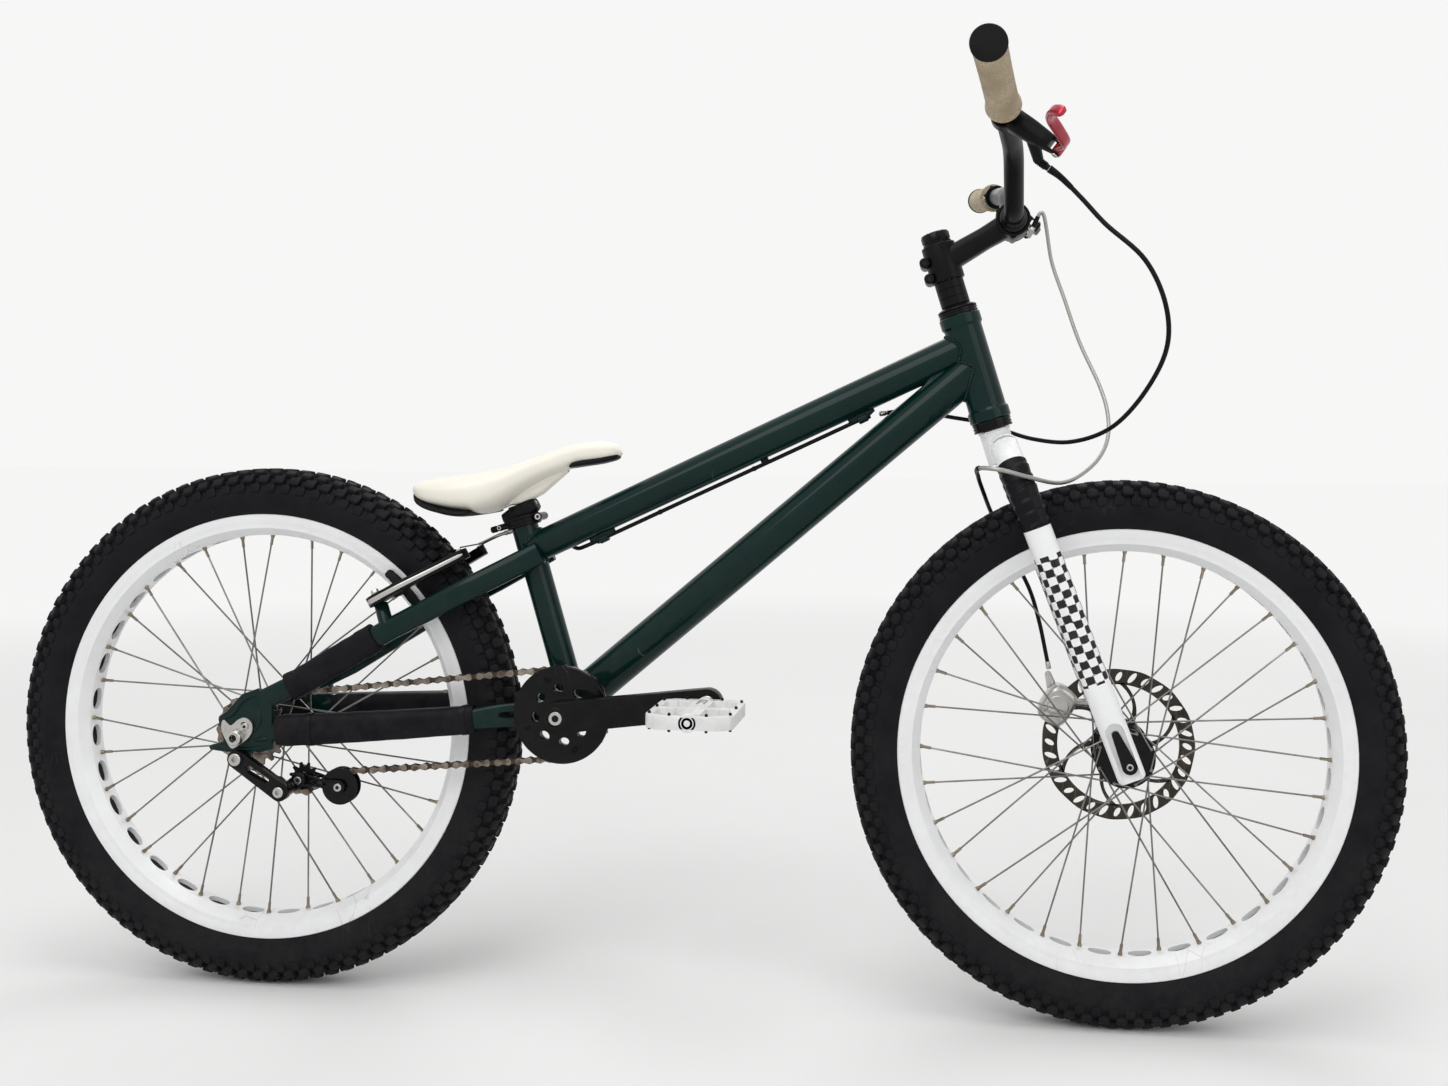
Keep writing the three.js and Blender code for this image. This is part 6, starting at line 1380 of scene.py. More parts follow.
driveValues = {"ring": {"radius": 52.7, "teeth": 26}, "cog": {"radius": 40.6, "teeth": 20}, "bash": 57.5,
               "bashFace": -54, "bashWall": 4, "slots": 8, "slotCircle": 31.5, "slotLong": 6.2,
               "slotWide": 4.8, "boltCircle": 44, "bolts": 4, "plane": 44, "wall": 2, "ringBore": 17,
               "cogBore": 15, "bashBore": 14.6, "cupFace": 34.3, "notches": 12}


def makeDrive(v):
    holes = []
    for k in range(v["slots"]):
        a = 2 * math.pi * (k + 0.15) / v["slots"]
        holes.append(ovalLoop(polar(v["slotCircle"], a), v["slotLong"], v["slotWide"], a + math.pi / 2, 20))
    ring = plate(toothLoop(v["ring"]["radius"], v["ring"]["teeth"]), bracket - leftward * v["plane"],
                 forward, upward, v["wall"],
                 [*holes, ovalLoop((0, 0), v["ringBore"], v["ringBore"], sides=36)])
    boss = lathe([(9.3, -50), (14, -50), (16, -47), (22, -46.4), (22, -43.6), (14, -43.2), (9.3, -43.2)],
                 bracket, leftward, 48)
    makePiece("chainringTeeth", [(ring, "silver"), (boss, "blackMetal")], "crank", ["chainring"],
              bevel=0.25, angle=30)
    holes.append(ovalLoop((0, 0), v["bashBore"], v["bashBore"], sides=40))
    disc = plate(ovalLoop((0, 0), v["bash"], v["bash"], sides=120),
                 bracket + leftward * v["bashFace"] + leftward * v["bashWall"], forward, upward,
                 v["bashWall"], holes)
    face = bracket + leftward * v["bashFace"]
    rims = [(lathe([(v["bash"] - 5.5, -0.05), (v["bash"] - 1.4, -0.5), (v["bash"] - 0.6, 0.3),
                    (v["bash"] - 5.5, 0.3)],
                   face, leftward, 120),
             "blackGloss")]
    for k in range(v["bolts"]):
        a = 2 * math.pi * (k + 0.25) / v["bolts"]
        spot = face + (forward * math.cos(a) + upward * math.sin(a)) * v["boltCircle"]
        rims += hexBolt(spot - leftward * 0.1, -leftward, 3.9, 1.0, "blackMetal", 0.5)
    makePiece("bashGuardDisc", [(disc, "blackGloss")], "crank", ["bash_guard"], bevel=0.9,
              angle=30)
    makePiece("bashGuardTrim", rims, "crank", angle=35)
    cog = plate(toothLoop(v["cog"]["radius"], v["cog"]["teeth"]), rearAxle - leftward * v["plane"],
                forward, upward, v["wall"], [ovalLoop((0, 0), v["cogBore"], v["cogBore"], sides=36)])
    driver = lathe([(9.3, -59.4), (14, -59.4), (15, -58.6), (17, -57), (17, -50), (16, -49.4),
                    (16, -47.6), (19, -47), (19, -41), (17, -40), (17, -33.6), (9.3, -33.6)],
                   rearAxle, leftward, 64)
    makePiece("rearCog", [(cog, "chainSteel"), (driver, "silver")], "rear_driver", ["rear_sprocket"],
              bevel=0.25, angle=30)
    spindle = lathe([(0, -74.8), (8, -74.8), (9, -74), (9, 74), (8, 74.8), (0, 74.8)], bracket, leftward,
                    40)
    makePiece("crankAxle", [(spindle, "silver")], "crank", ["crank_spindle"], angle=30)
    cups = []
    for side in (-1, 1):
        base = bracket + leftward * side * v["cupFace"]
        rings = [(9.6, 0), (20, 0), (21, 0.8), (21, 5.6), (19.6, 7), (9.6, 7)]
        cups.append((lathe(rings, base, leftward * side, 64), "blackMetal"))
        notch = plate([(20, -1.6), (21.6, -1.6), (21.6, 1.6), (20, 1.6)], base + leftward * side * 2,
                      forward, upward, 3)
        count = v["notches"]
        cups += [(spin(notch, base, leftward, 2 * math.pi * k / count), "blackMetal") for k in range(count)]
    makePiece("bracketCups", cups, "frame", ["bottom_bracket"], angle=30)


makeDrive(driveValues)

crankValues = {"length": 180, "angle": 7.5, "end": 18, "tip": 17, "inner": (58, 68.5), "wall": (18, 14),
               "spindleEnd": 183}
crankForward = heading(crankValues["angle"])


def between(ends, share):
    return ends[0] + (ends[1] - ends[0]) * share


def makeCrank(side, v):
    name = sideNames[side]
    direction = crankForward * -side
    rising = leftward.cross(direction) * -1
    steps = 24
    outline = []
    for k in range(steps + 1):
        a = math.pi / 2 + math.pi * k / steps
        outline.append(polar(v["end"], a))
    runs = [(0.12, 1.0), (0.2, 0.97), (0.5, 0.95), (0.8, 0.95), (0.9, 0.95)]
    outline += [(f * v["length"], -v["end"] * h) for f, h in runs]
    for k in range(1, steps):
        a = -math.pi / 2 + math.pi * k / steps
        outline.append((v["length"] + v["tip"] * math.cos(a), v["tip"] * math.sin(a)))
    outline += [(f * v["length"], v["end"] * h) for f, h in reversed(runs)]
    flat = plate(outline, bracket, direction, rising, 1.0)
    count = len(flat[0]) // 2
    shape = []
    for k, point in enumerate(flat[0]):
        far = min(max((point - bracket).dot(direction) / v["length"], 0), 1)
        inner, wall = between(v["inner"], far), between(v["wall"], far)
        base = point - leftward * (point - bracket).dot(leftward)
        shape.append(base + leftward * side * (inner + (wall if k >= count else 0)))
    face = lambda far: between(v["inner"], far) + between(v["wall"], far)
    ring = lathe([(9.4, -0.4), (12.6, -0.4), (12.6, 0.5), (11.6, 1.0), (9.4, 1.0)],
                 bracket + leftward * side * face(0), leftward * side, 48)
    parts = [((shape, flat[1]), "blackMetal")]
    makePiece("crankArm" + name, parts, "crank", ["crank_arm_" + name.lower()], bevel=2.4,
              angle=30)
    out = leftward * side
    centre = bracket + direction * v["length"]
    details = [(ring, "blackGloss"),
               *hexBolt(bracket + out * (face(0) - 0.6), out, 8.6, 1.5, "silver", 0.48)]
    tip = centre + out * (v["inner"][1] + v["wall"][1])
    details += [(rod(centre + out * (v["inner"][1] + 1), centre + out * v["spindleEnd"], 6, 32, lip=0.6),
                 "silver"),
                (lathe([(6, -0.4), (9.6, -0.4), (9.6, 1.2), (8.8, 2.2), (6, 2.2)], tip, out, 32),
                 "silver")]
    nut = circle(tip + out * 2, direction, rising, 8.4, 6)
    details.append((loft([nut, [p + out * 4.4 for p in nut]]), "silver"))
    details += hexBolt(centre + out * (v["inner"][1] + 1.2), -out, 6.6, 1.4, "silver", 0.5)
    makePiece("crankDetails" + name, details, "crank", angle=30)


for side in (-1, 1):
    makeCrank(side, crankValues)

pedalValues = {"halfLong": 48, "halfTall": 8, "inner": 90, "outer": 188, "corner": 14, "rail": 8,
               "barrel": 10, "pin": 2}


def makePedal(side, v):
    name = sideNames[side]
    body = "pedal_" + name.lower()
    centre = bracket - crankForward * side * crankValues["length"]
    out = leftward * side
    origin = Vector((centre.x, side * v["inner"], centre.z))
    width = v["outer"] - v["inner"]
    long, cut = v["halfLong"], v["corner"]
    outline = [(-long, cut), (-long + 3, cut - 7), (-long + cut, 0), (long - cut, 0), (long - 3, cut - 7),
               (long, cut), (long, width - cut), (long - 3, width - cut + 7), (long - cut, width),
               (-long + cut, width), (-long + 3, width - cut + 7), (-long, width - cut)]
    holes = []
    for end in (-1, 1):
        for low, high in ((v["rail"], width / 2 - 4), (width / 2 + 4, width - v["rail"])):
            a, b = end * (v["barrel"] + 1.5), end * (long - v["rail"])
            slant = 8 if low < width / 2 else 0
            tail = 0 if low < width / 2 else 8
            hole = [(a, low), (b - end * 4, low + slant * 0.6), (b, low + slant), (b, high - tail),
                    (b - end * 4, high - tail * 0.6), (a, high)]
            holes.append(hole)
    upper = forward.cross(out)
    slab = lambda half: plate(outline, origin - upper * half, forward, out, 2 * half, holes)
    plates = [(slab(v["halfTall"] - 0.6), "whitePlastic")]
    waist = []
    for end in (-1, 1):
        for far in (width * 0.27, width * 0.73):
            start = origin + forward * end * 9 + out * far
            waist.append((rod(start, start + forward * end * (long - 15), 3.0, 12), "whitePlastic"))
    shell = [(0, 0.4), (9.2, 0.4), (10, 1.2), (10, 7), (8.8, 8), (8.4, 30), (7.8, width / 2),
             (8.4, width - 24), (9.6, width - 10), (10, width - 4), (10, width - 0.8), (9.4, width),
             (0, width)]
    bore = [(6.2, 0.4), *shell[1:-1], (7.2, width), (7.2, width - 4.2), (6.2, width - 4.6)]
    rings = [(r + (0.35 if k % 2 else -0.15), 8.4 + k * 0.9) for k in range(24) for r in (8.8,)]
    knurl = lathe([(8.0, 8), *rings, (8.0, 31)], origin, out, 40)
    makePiece("pedalBody" + name, plates, body, [body], bevel=1.3, angle=30)
    details = [(lathe(bore, origin, out, 48), "whitePlastic"), (knurl, "silver"), *waist]
    cap = lathe([(0, width - 3.6), (7.1, width - 3.6), (7.1, width - 0.6), (6.2, width + 0.0),
                 (3.4, width), (3.0, width - 1.2), (0, width - 1.2)],
                origin, out, 32)
    details.append((cap, "plasticBlack"))
    spots = [(end * (long - 4.2), far) for end in (-1, 1) for far in (cut, width / 2, width - cut)]
    spots += [(end * 20, far) for end in (-1, 1) for far in (3.6, width - 3.6)]
    for u, far in spots:
        foot = origin + forward * u + out * far
        for way in (-1, 1):
            details.append((rod(foot + upward * way * (v["halfTall"] - 2),
                                foot + upward * way * (v["halfTall"] + v["pin"]), 1.9, 10, 1.5),
                            "plasticBlack"))
    makePiece("pedalDetails" + name, details, body, angle=35)


for side in (-1, 1):
    makePedal(side, pedalValues)
print("drive built")

tensionValues = {"hanger": (1, 0, -25.5), "link": (55, 0, -62), "guide": (65, 0, -54),
                 "tension": (112, 0, -62), "linkFace": 76, "linkWall": 9, "linkEnds": (10.4, 11),
                 "cage": [(51, 54), (36, 39)], "plane": 45, "pulley": (16.6, 11), "bore": 4.3}


def makeTensioner(v):
    hanger, link, guide, tension = [fromRear(*v[end]) for end in ("hanger", "link", "guide", "tension")]
    way = (link - hanger).normalized()
    across = risingFrom(way)
    length = (link - hanger).length
    outline = []
    for k in range(15):
        a = math.pi / 2 + math.pi * k / 14
        outline.append(polar(v["linkEnds"][0], a))
    for k in range(15):
        a = -math.pi / 2 + math.pi * k / 14
        outline.append((length + v["linkEnds"][1] * math.cos(a), v["linkEnds"][1] * math.sin(a)))
    window = [(length * s, h)
              for s, h in ((0.26, 4.2), (0.7, 5.6), (0.74, 3), (0.7, -1.4), (0.3, -4.2), (0.24, 0))]
    right = way.cross(across)
    base = hanger - leftward * (v["linkFace"] if right.y < 0 else v["linkFace"] + v["linkWall"])
    parts = [(plate(outline, base, way, across, v["linkWall"], [window]), "blackGloss")]
    makePiece("tensionerLink", parts, "frame", ["tensioner_arm"], bevel=1.6, angle=30)
    details = []
    for spot, size in ((hanger, 7.4), (link, 6.4)):
        details.append((lathe([(4, 84.6), (size + 2.2, 84.6), (size + 2.2, 85.6), (size + 1, 86),
                               (4, 86)],
                              spot, -leftward, 32),
                        "blackMetal"))
        details += hexBolt(spot - leftward * 85.4, -leftward, size, 2.8, "silver", 0.42)
    details.append((rod(hanger - leftward * 67, hanger - leftward * 78, 8, 32), "blackMetal"))
    for y0, y1, size in ((77, 62, 8.8), (62, 54.8, 6.5)):
        details.append((rod(link - leftward * y0, link - leftward * y1, size, 32), "blackGloss"))
    d = guide - link
    ahead = d.normalized()
    rise = risingFrom(ahead)
    slim = [(x + d.length / 2, y) for x, y in strapLoop(d.length / 2, 8.5, 0.9, 8)]
    wallWay = ahead.cross(rise)
    details.append((plate(slim, link - leftward * (54.6 if wallWay.y < 0 else 59.6), ahead, rise, 5),
                    "blackGloss"))
    details += hexBolt(guide - leftward * 59.4, -leftward, 4.6, 2.4, "silver", 0.45)
    makePiece("tensionerBolts", details, "frame", angle=35, bevel=0.3)
    d = tension - guide
    ahead = d.normalized()
    rise = risingFrom(ahead)
    outline = [(x + d.length / 2, y) for x, y in strapLoop(d.length / 2, 8, 0.62, 9)]
    parts = []
    wallWay = ahead.cross(rise)
    for low, high in v["cage"]:
        parts.append((plate(outline, guide - leftward * (low if wallWay.y < 0 else high), ahead, rise,
                            high - low, [ovalLoop((d.length / 2, 0), 9, 2.2, sides=18)]),
                      "blackGloss"))
    for spot in (guide, tension):
        parts.append((rod(spot - leftward * 36.5, spot - leftward * 53.5, 3.9, 24), "silver"))
        parts += hexBolt(spot - leftward * 53.8, -leftward, 4.9, 2.6, "silver", 0.45)
    makePiece("tensionerCagePlates", parts, "tensioner_cage", ["tensioner_cage"],
              bevel=0.45, angle=30)
    for spot, name, guard in ((guide, "guide", False), (tension, "tension", True)):
        centre, bore = spot - leftward * v["plane"], v["bore"]
        disc = plate(toothLoop(*v["pulley"], 0.1, 3.2, 1.8), spot - leftward * 43.6, forward, upward, 2.8,
                     [ovalLoop((0, 0), bore, bore)])
        shapes = [(disc, "plasticBlack"),
                  (lathe([(bore, -4), (7.5, -4), (7.5, 4), (bore, 4)], centre, leftward, 32), "silver")]
        if guard:
            for way in (-1, 1):
                rim = [(bore, 5.2), (22, 5.2), (22, 4.2), (21, 3.9), (7, 3.9), (bore, 3.9)]
                shape = lathe([(r, way * y) for r, y in rim], centre, leftward, 64)
                shapes.append((shape, "blackGloss"))
        makePiece(name + "PulleyWheel", shapes, name + "_pulley", [name + "_pulley"],
                  bevel=0.3, angle=35)


makeTensioner(tensionValues)
print("tensioner built")


# A smooth path through points that lie unevenly far apart.
def cordPath(points, steps=8):
    points = [Vector(p) for p in points]
    chain = [2 * points[0] - points[1], *points, 2 * points[-1] - points[-2]]
    out = []
    for a, b, c, d in zip(chain, chain[1:], chain[2:], chain[3:]):
        before, here, after = [(q - p).length ** 0.5 for p, q in ((a, b), (b, c), (c, d))]
        start = ((b - a) / before - (c - a) / (before + here) + (c - b) / here) * here
        finish = ((c - b) / here - (d - b) / (here + after) + (d - c) / after) * here
        for step in range(steps):
            t = step / steps
            out.append(b + start * t + (3 * (c - b) - 2 * start - finish) * t * t
                       + (2 * (b - c) + start + finish) * t ** 3)
    return [*out, points[-1]]


# Rows of sizes against a share, read smoothly in between.
def curveRow(rows, share):
    k = max(i for i in range(len(rows) - 1) if i == 0 or rows[i][0] <= share)
    a, b, c, d = rows[max(k - 1, 0)], rows[k], rows[k + 1], rows[min(k + 2, len(rows) - 1)]
    span = c[0] - b[0]
    t = (share - b[0]) / span
    out = []
    for i in range(1, len(b)):
        leave = (c[i] - a[i]) / (c[0] - a[0]) * span
        reach = (d[i] - b[i]) / (d[0] - b[0]) * span
        out.append(b[i] + leave * t + (3 * (c[i] - b[i]) - 2 * leave - reach) * t * t
                   + (2 * (b[i] - c[i]) + leave + reach) * t ** 3)
    return out


# A path of straight runs with rounded corners.
def bentPath(corners, round, steps=8):
    out = [corners[0]]
    for before, corner, after in zip(corners, corners[1:], corners[2:]):
        start = corner + (before - corner).normalized() * round
        finish = corner + (after - corner).normalized() * round
        for k in range(steps + 1):
            t = k / steps
            out.append(start * (1 - t) ** 2 + corner * 2 * t * (1 - t) + finish * t * t)
    return [*out, corners[-1]]


# The outline of a lever: two round ends of different size.
def taperLoop(start, finish, startRadius, finishRadius, steps=14):
    way = math.atan2(finish[1] - start[1], finish[0] - start[0])
    loop = []
    for place, radius, turn in ((start, startRadius, math.pi / 2), (finish, finishRadius, -math.pi / 2)):
        for k in range(steps + 1):
            a = way + turn + math.pi * k / steps
            loop.append((place[0] + radius * math.cos(a), place[1] + radius * math.sin(a)))
    return loop


# How much a rounded end has swollen at a distance from its tip.
def roundEnd(far, reach):
    t = min(max(far / reach, 0.0), 1.0)
    return math.sqrt(1 - (1 - t) ** 2)


seatTop = bracket + seatUp * frameSizes["seatTubeLong"]
seatForward = leftward.cross(seatUp)
saddleValues = {"long": 255, "behind": 131.3, "rise": 92, "half": 62, "rings": 72, "sides": 56,
                "square": 0.42, "end": 0.035, "fill": 0.75, "tail": (0.0, 0.34, 0.062),
                "nose": (0.77, 1.0, 0.045),
                "rows": [(0, 0.38, 0.27, 0.34), (0.055, 0.455, 0.135, 0.68), (0.16, 0.505, 0.045, 0.93),
                         (0.3, 0.56, 0, 1), (0.45, 0.65, 0.14, 0.82), (0.59, 0.785, 0.42, 0.56),
                         (0.74, 0.935, 0.62, 0.41), (0.82, 0.985, 0.665, 0.37), (0.9, 1, 0.7, 0.32),
                         (0.965, 0.965, 0.745, 0.24), (1, 0.88, 0.78, 0.14)]}


def makeSaddle(v):
    def edge(far):
        out = 0.0
        for low, high, depth in (v["tail"], v["nose"]):
            out = max(out,
                      depth * min(1, roundEnd(far - low, 0.05) if low > 0 else 1,
                                  roundEnd(high - far, 0.1) if high < 1 else 1))
        return out

    def ring(far, low, high, narrow, square):
        top, bottom, width = curveRow(v["rows"], far)
        swell = min(roundEnd(far + 0.002, v["end"]), roundEnd(1.002 - far, v["end"]))
        middle, half = (top + bottom) / 2, (top - bottom) / 2 * (0.35 + 0.65 * swell)
        top, bottom = middle + half, middle - half
        top, bottom = bottom + (top - bottom) * high, bottom + (top - bottom) * low
        place = seatTop + Vector((far * v["long"] - v["behind"], 0, (top + bottom) / 2 * v["rise"]))
        return squareRing(place, leftward, upward, max(width * v["half"] * swell - narrow, 0.5),
                          (top - bottom) / 2 * v["rise"], square, v["sides"])

    rings = []
    for far in spread(0, 1, v["rings"]):
        top, bottom, width = curveRow(v["rows"], far)
        rings.append(ring(far, edge(far) / max(top - bottom, 0.05), 1, 0, v["square"]))
    cover = makePiece("saddleCover", [(loft(rings), "saddleCover")], "frame", ["saddle"],
                      angle=60)
    base = []
    for low, high, depth in (v["tail"], v["nose"]):
        rows = []
        for far in spread(max(low, 0.012), min(high, 0.988), 24):
            top, bottom, width = curveRow(v["rows"], far)
            rows.append(ring(far, 0, (edge(far) + 0.05) / max(top - bottom, 0.05), 1.6, 0.6))
        base.append((loft(rows), "plasticBlack"))
    web = [squareRing(seatTop + Vector((x, 0, z)), leftward, Vector((-0.4, 0, 1)).normalized(), w, h, 0.6)
           for x, z, w, h in ((-30, 15, 9, 2.5), (-22, 16, 13, 5), (0, 24, 14, 9.5), (22, 36, 12, 10),
                              (40, 49, 9, 8), (56, 59, 6, 5))]
    makePiece("saddleBase", [*base, (loft(web), "saddleCover")], "frame", angle=45)


postValues = {"radius": 13.5, "top": 14, "low": -14, "tilt": 30,
              "head": [(-23, 6, 4), (-20, 12, 8.5), (-8, 14, 10), (10, 14, 10), (19, 11, 9),
                       (23, 8.5, 6.5)],
              "clamp": 20.5, "clampLow": -13, "bolt": 23, "boltHalf": 13, "tab": (9, 8), "tabBack": 21}


def makePost(v):
    profile = [(0, v["low"]), (v["radius"], v["low"]), (v["radius"], 1.5)]
    for rise in (2, 5, 8):
        profile += [(v["radius"] - 0.1, rise), (v["radius"] - 0.9, rise + 0.4),
                    (v["radius"] - 0.9, rise + 0.9), (v["radius"] - 0.1, rise + 1.3)]
    profile += [(v["radius"], v["top"] - 1), (v["radius"] - 1, v["top"]), (0, v["top"])]
    aim = heading(v["tilt"])
    rise = risingFrom(aim)
    middle = seatTop + seatUp * 5
    rings = [squareRing(middle + aim * far, leftward, rise, wide, tall, 0.75)
             for far, wide, tall in v["head"]]
    parts = [(lathe(profile, seatTop, seatUp, 56), "plasticBlack"), (loft(rings), "plasticBlack")]
    for y in (-1, 1):
        parts.append((rod(middle + aim * 2 + leftward * y * 12, middle + aim * 2 + leftward * y * 14, 4.2,
                          28, lip=0.6),
                      "blackGloss"))
    parts.append((rod(middle + aim * 21 + rise * 1, middle + aim * 23 + rise * 1, 3.4, 24, lip=0.5),
                  "silver"))
    makePiece("seatPost", parts, "frame", ["seat_post"], angle=35)
    radius, low = v["clamp"], v["clampLow"]
    collar = [(16.3, low), (radius - 0.8, low), (radius, low + 0.8), (radius, low + 3.6),
              (radius - 1, low + 4.2), (radius - 1, -4.2), (radius, -3.6), (radius, -0.8),
              (radius - 0.8, 0), (14, 0), (14, -1.2), (16.3, -1.2)]
    centre = seatTop + seatUp * (low / 2)
    bolt = centre + seatForward * v["bolt"]
    parts = [(lathe(collar, seatTop, seatUp, 72), "blackMetal")]
    ears = [squareRing(centre + seatForward * far, leftward, seatUp, wide, tall, 0.7)
            for far, wide, tall in ((17, 9.5, 5.6), (20, 9.5, 5.6), (24, 9, 4.6), (27, 8, 3.4))]
    parts.append((loft(ears), "blackMetal"))
    parts.append((rod(bolt - leftward * v["boltHalf"], bolt + leftward * (v["boltHalf"] - 1), 5, 36,
                      lip=0.7),
                  "blackGloss"))
    parts.append((lathe([(1.9, 0), (3.6, 0), (3.6, 0.5), (1.9, 0.5)], bolt - leftward * v["boltHalf"],
                        -leftward, 32),
                  "silver"))
    wide, tall = v["tab"]
    tab = centre - seatForward * v["tabBack"]
    shape = [squareRing(tab + seatForward * far, leftward, seatUp, wide / 2 * w, tall / 2 * t, 0.85)
             for far, w, t in ((-21, 0.5, 0.5), (-19.5, 0.9, 0.95), (-14, 1, 1), (-13, 0.86, 0.8),
                               (-11, 0.86, 0.8), (-10, 1, 1), (4, 1, 1))]
    parts.append((loft(shape), "blackMetal"))
    parts += hexBolt(tab - seatForward * 9 - leftward * 4.2, -leftward, 2.8, 1.2, "silver", 0.5)
    makePiece("seatCollar", parts, "frame", ["seat_clamp"], angle=35)


makeSaddle(saddleValues)
makePost(postValues)
print("saddle, post and collar made")


forkValues = {"half": (16, 13), "square": 0.2, "sides": 56, "lean": 0.39, "offset": 2, "stand": 64,
              "tip": 17, "straight": 262, "bend": 92, "turn": 76, "round": 0.0925, "tape": (2, 50),
              "wrap": 13, "crown": (361.2, 401.2), "crownRadius": 18, "steerer": 14.3, "steererTop": 635,
              "weldFrom": 52, "axleEnd": 75, "axle": 5, "pocket": (39.75, 10.5), "lever": (38, 8.5, 4.5),
              "leverWall": 5}
legUp = Vector((-forkValues["lean"], 0, 1)).normalized()
legFore = Vector((1, 0, forkValues["lean"])).normalized()


# A place on a fork leg's middle line: straight up to a height, then round the bend.
def legPlace(side, height, turn=0.0):
    v = forkValues
    rise = height + v["bend"] * math.sin(turn)
    return frontAxle + Vector((-v["offset"] - v["lean"] * rise, side * v["stand"] * math.cos(turn), rise))


def legStations(side, heights, turns):
    straight = [legPlace(side, height) for height in heights]
    return straight + [legPlace(side, forkValues["straight"], turn) for turn in turns]


def legRings(side, stations, swell, sides, square):
    rings = []
    for k, place in enumerate(stations):
        span = (stations[min(k + 1, len(stations) - 1)] - stations[max(k - 1, 0)]).normalized()
        across = span.cross(legFore).normalized()
        long, wide = swell(k)
        rings.append(squareRing(place, legFore, across, long, wide, square, sides, -side * math.pi / 2))
    return rings


def makeFork(v):
    cutDeep = Vector((frontAxle.x, -70, frontAxle.z))
    turns = [math.radians(v["turn"]) * k / 18 for k in range(1, 19)]
    for side in (-1, 1):
        name = sideNames[side]
        stations = legStations(side,
                               [-v["tip"], -v["tip"] + 0.8, -v["tip"] + 2.4,
                                *spread(-v["tip"] + 5, v["straight"], 26)],
                               turns)
        ends = {0: 0.8, 1: 0.9, 2: 0.97}
        rings = legRings(side, stations, lambda k: tuple(size * ends.get(k, 1) for size in v["half"]),
                         v["sides"], v["square"])
        tall = [0.0]
        for a, b in zip(stations, stations[1:]):
            tall.append(tall[-1] + (b - a).length)
        tall = [t - v["tip"] * 1.073 for t in tall]
        shape = loft(rings, False, lambda row, k: ((k / v["sides"] - 0.5) * v["round"], tall[row] * mm))
        cuts = []
        if side < 0:
            outline = [(b, a) for a, b in strapLoop(*v["pocket"], steps=14)]
            cuts = [plate(outline, cutDeep + legUp * 1.75 - legFore * v["offset"], legFore, legUp, 20)]
        makePiece("forkLeg" + name, [(shape, "forkCheck")], "steering", ["fork"] if side < 0 else (),
                  angle=45, cuts=cuts)
        # Tape is wound up the bend in overlapping turns.
        span = legStations(side, [v["straight"]], [math.radians(a) for a in spread(*v["tape"], 60)])
        far = [0.0]
        for a, b in zip(span, span[1:]):
            far.append(far[-1] + (b - a).length)
        rings = legRings(side, span, lambda k: v["half"], v["sides"], v["square"])
        middle = [sum(ring, Vector()) / len(ring) for ring in rings]
        for row, ring in enumerate(rings):
            for k, point in enumerate(ring):
                turn = (far[row] / v["wrap"] + side * k / v["sides"]) % 1.0
                swell = 0.5 + 1.1 * min(turn / 0.82, 1) * (1 if turn < 0.82 else max((1 - turn) / 0.18, 0))
                if row in (0, len(rings) - 1):
                    swell = 0.1
                ring[k] = point + (point - middle[row]).normalized() * swell
        makePiece("forkTape" + name, [(loft(rings), "tapeBlack")], "steering", angle=30)
    low, high = v["crown"]
    radius = v["crownRadius"]
    crown = [(0, low), (radius - 1.5, low), (radius, low + 1.5), (radius, high - 3),
             (radius + 1.2, high - 2.4), (radius + 1.2, high - 0.6), (radius, high), (v["steerer"], high),
             (v["steerer"], v["steererTop"]), (0, v["steererTop"])]
    welds = []
    for side in (-1, 1):
        outer, inner = [legPlace(side, v["straight"], math.radians(a)) for a in (v["weldFrom"], v["turn"])]
        loop = jointLoop(outer, inner, 14.6, steerBase, steerUp, radius + 0.2)
        welds.append((weld(loop, 1.5, 50), "whitePaint"))
    makePiece("forkCrown", [(lathe(crown, steerBase, steerUp, 72), "whitePaint"), *welds], "steering",
              angle=35)
    # The axle: its lever lies in the right leg's pocket, its nut bears on the left leg.
    long, wide, tip = v["lever"]
    inner = Vector((frontAxle.x, -70.3, frontAxle.z))
    lever = plate(taperLoop((0, 0), (-v["offset"], long), wide, tip), inner, legFore, legUp, v["leverWall"])
    legOuter = v["stand"] + v["half"][1] + 0.3
    parts = [(rod(frontAxle - leftward * v["axleEnd"], frontAxle + leftward * legOuter, v["axle"], 32),
              "silver"),
             (lever, "blackGloss"),
             (rod(frontAxle + leftward * legOuter, frontAxle + leftward * (legOuter + 5), 8.5, 40,
                  lip=1.2),
              "blackMetal"),
             (rod(inner - leftward * 4.4, inner - leftward * 5.8, 6.4, 36, lip=0.5), "blackMetal"),
             *hexBolt(inner - leftward * 5.4, -leftward, 4, 0.9, "silver", 0.55)]
    makePiece("frontAxleSet", parts, "steering", ["front_axle"], bevel=0.6, angle=35)


makeFork(forkValues)
print("fork made")


headValues = {"lower": (401.6, 412.9, 23.3), "upper": (541.1, 547.9, 23.5), "cover": (548.3, 553.3),
              "spacers": (553.6, 583.7, 17.3), "bore": 14.6, "stem": (584.1, 627.9, 20),
              "cap": (628.3, 643, 17), "bolts": (0.16, 0.6), "boltBack": 21, "boltHalf": 17,
              "bar": (385.004, 932.019), "arm": (17, 14), "clamp": (20, 23), "clampBore": 16.2}


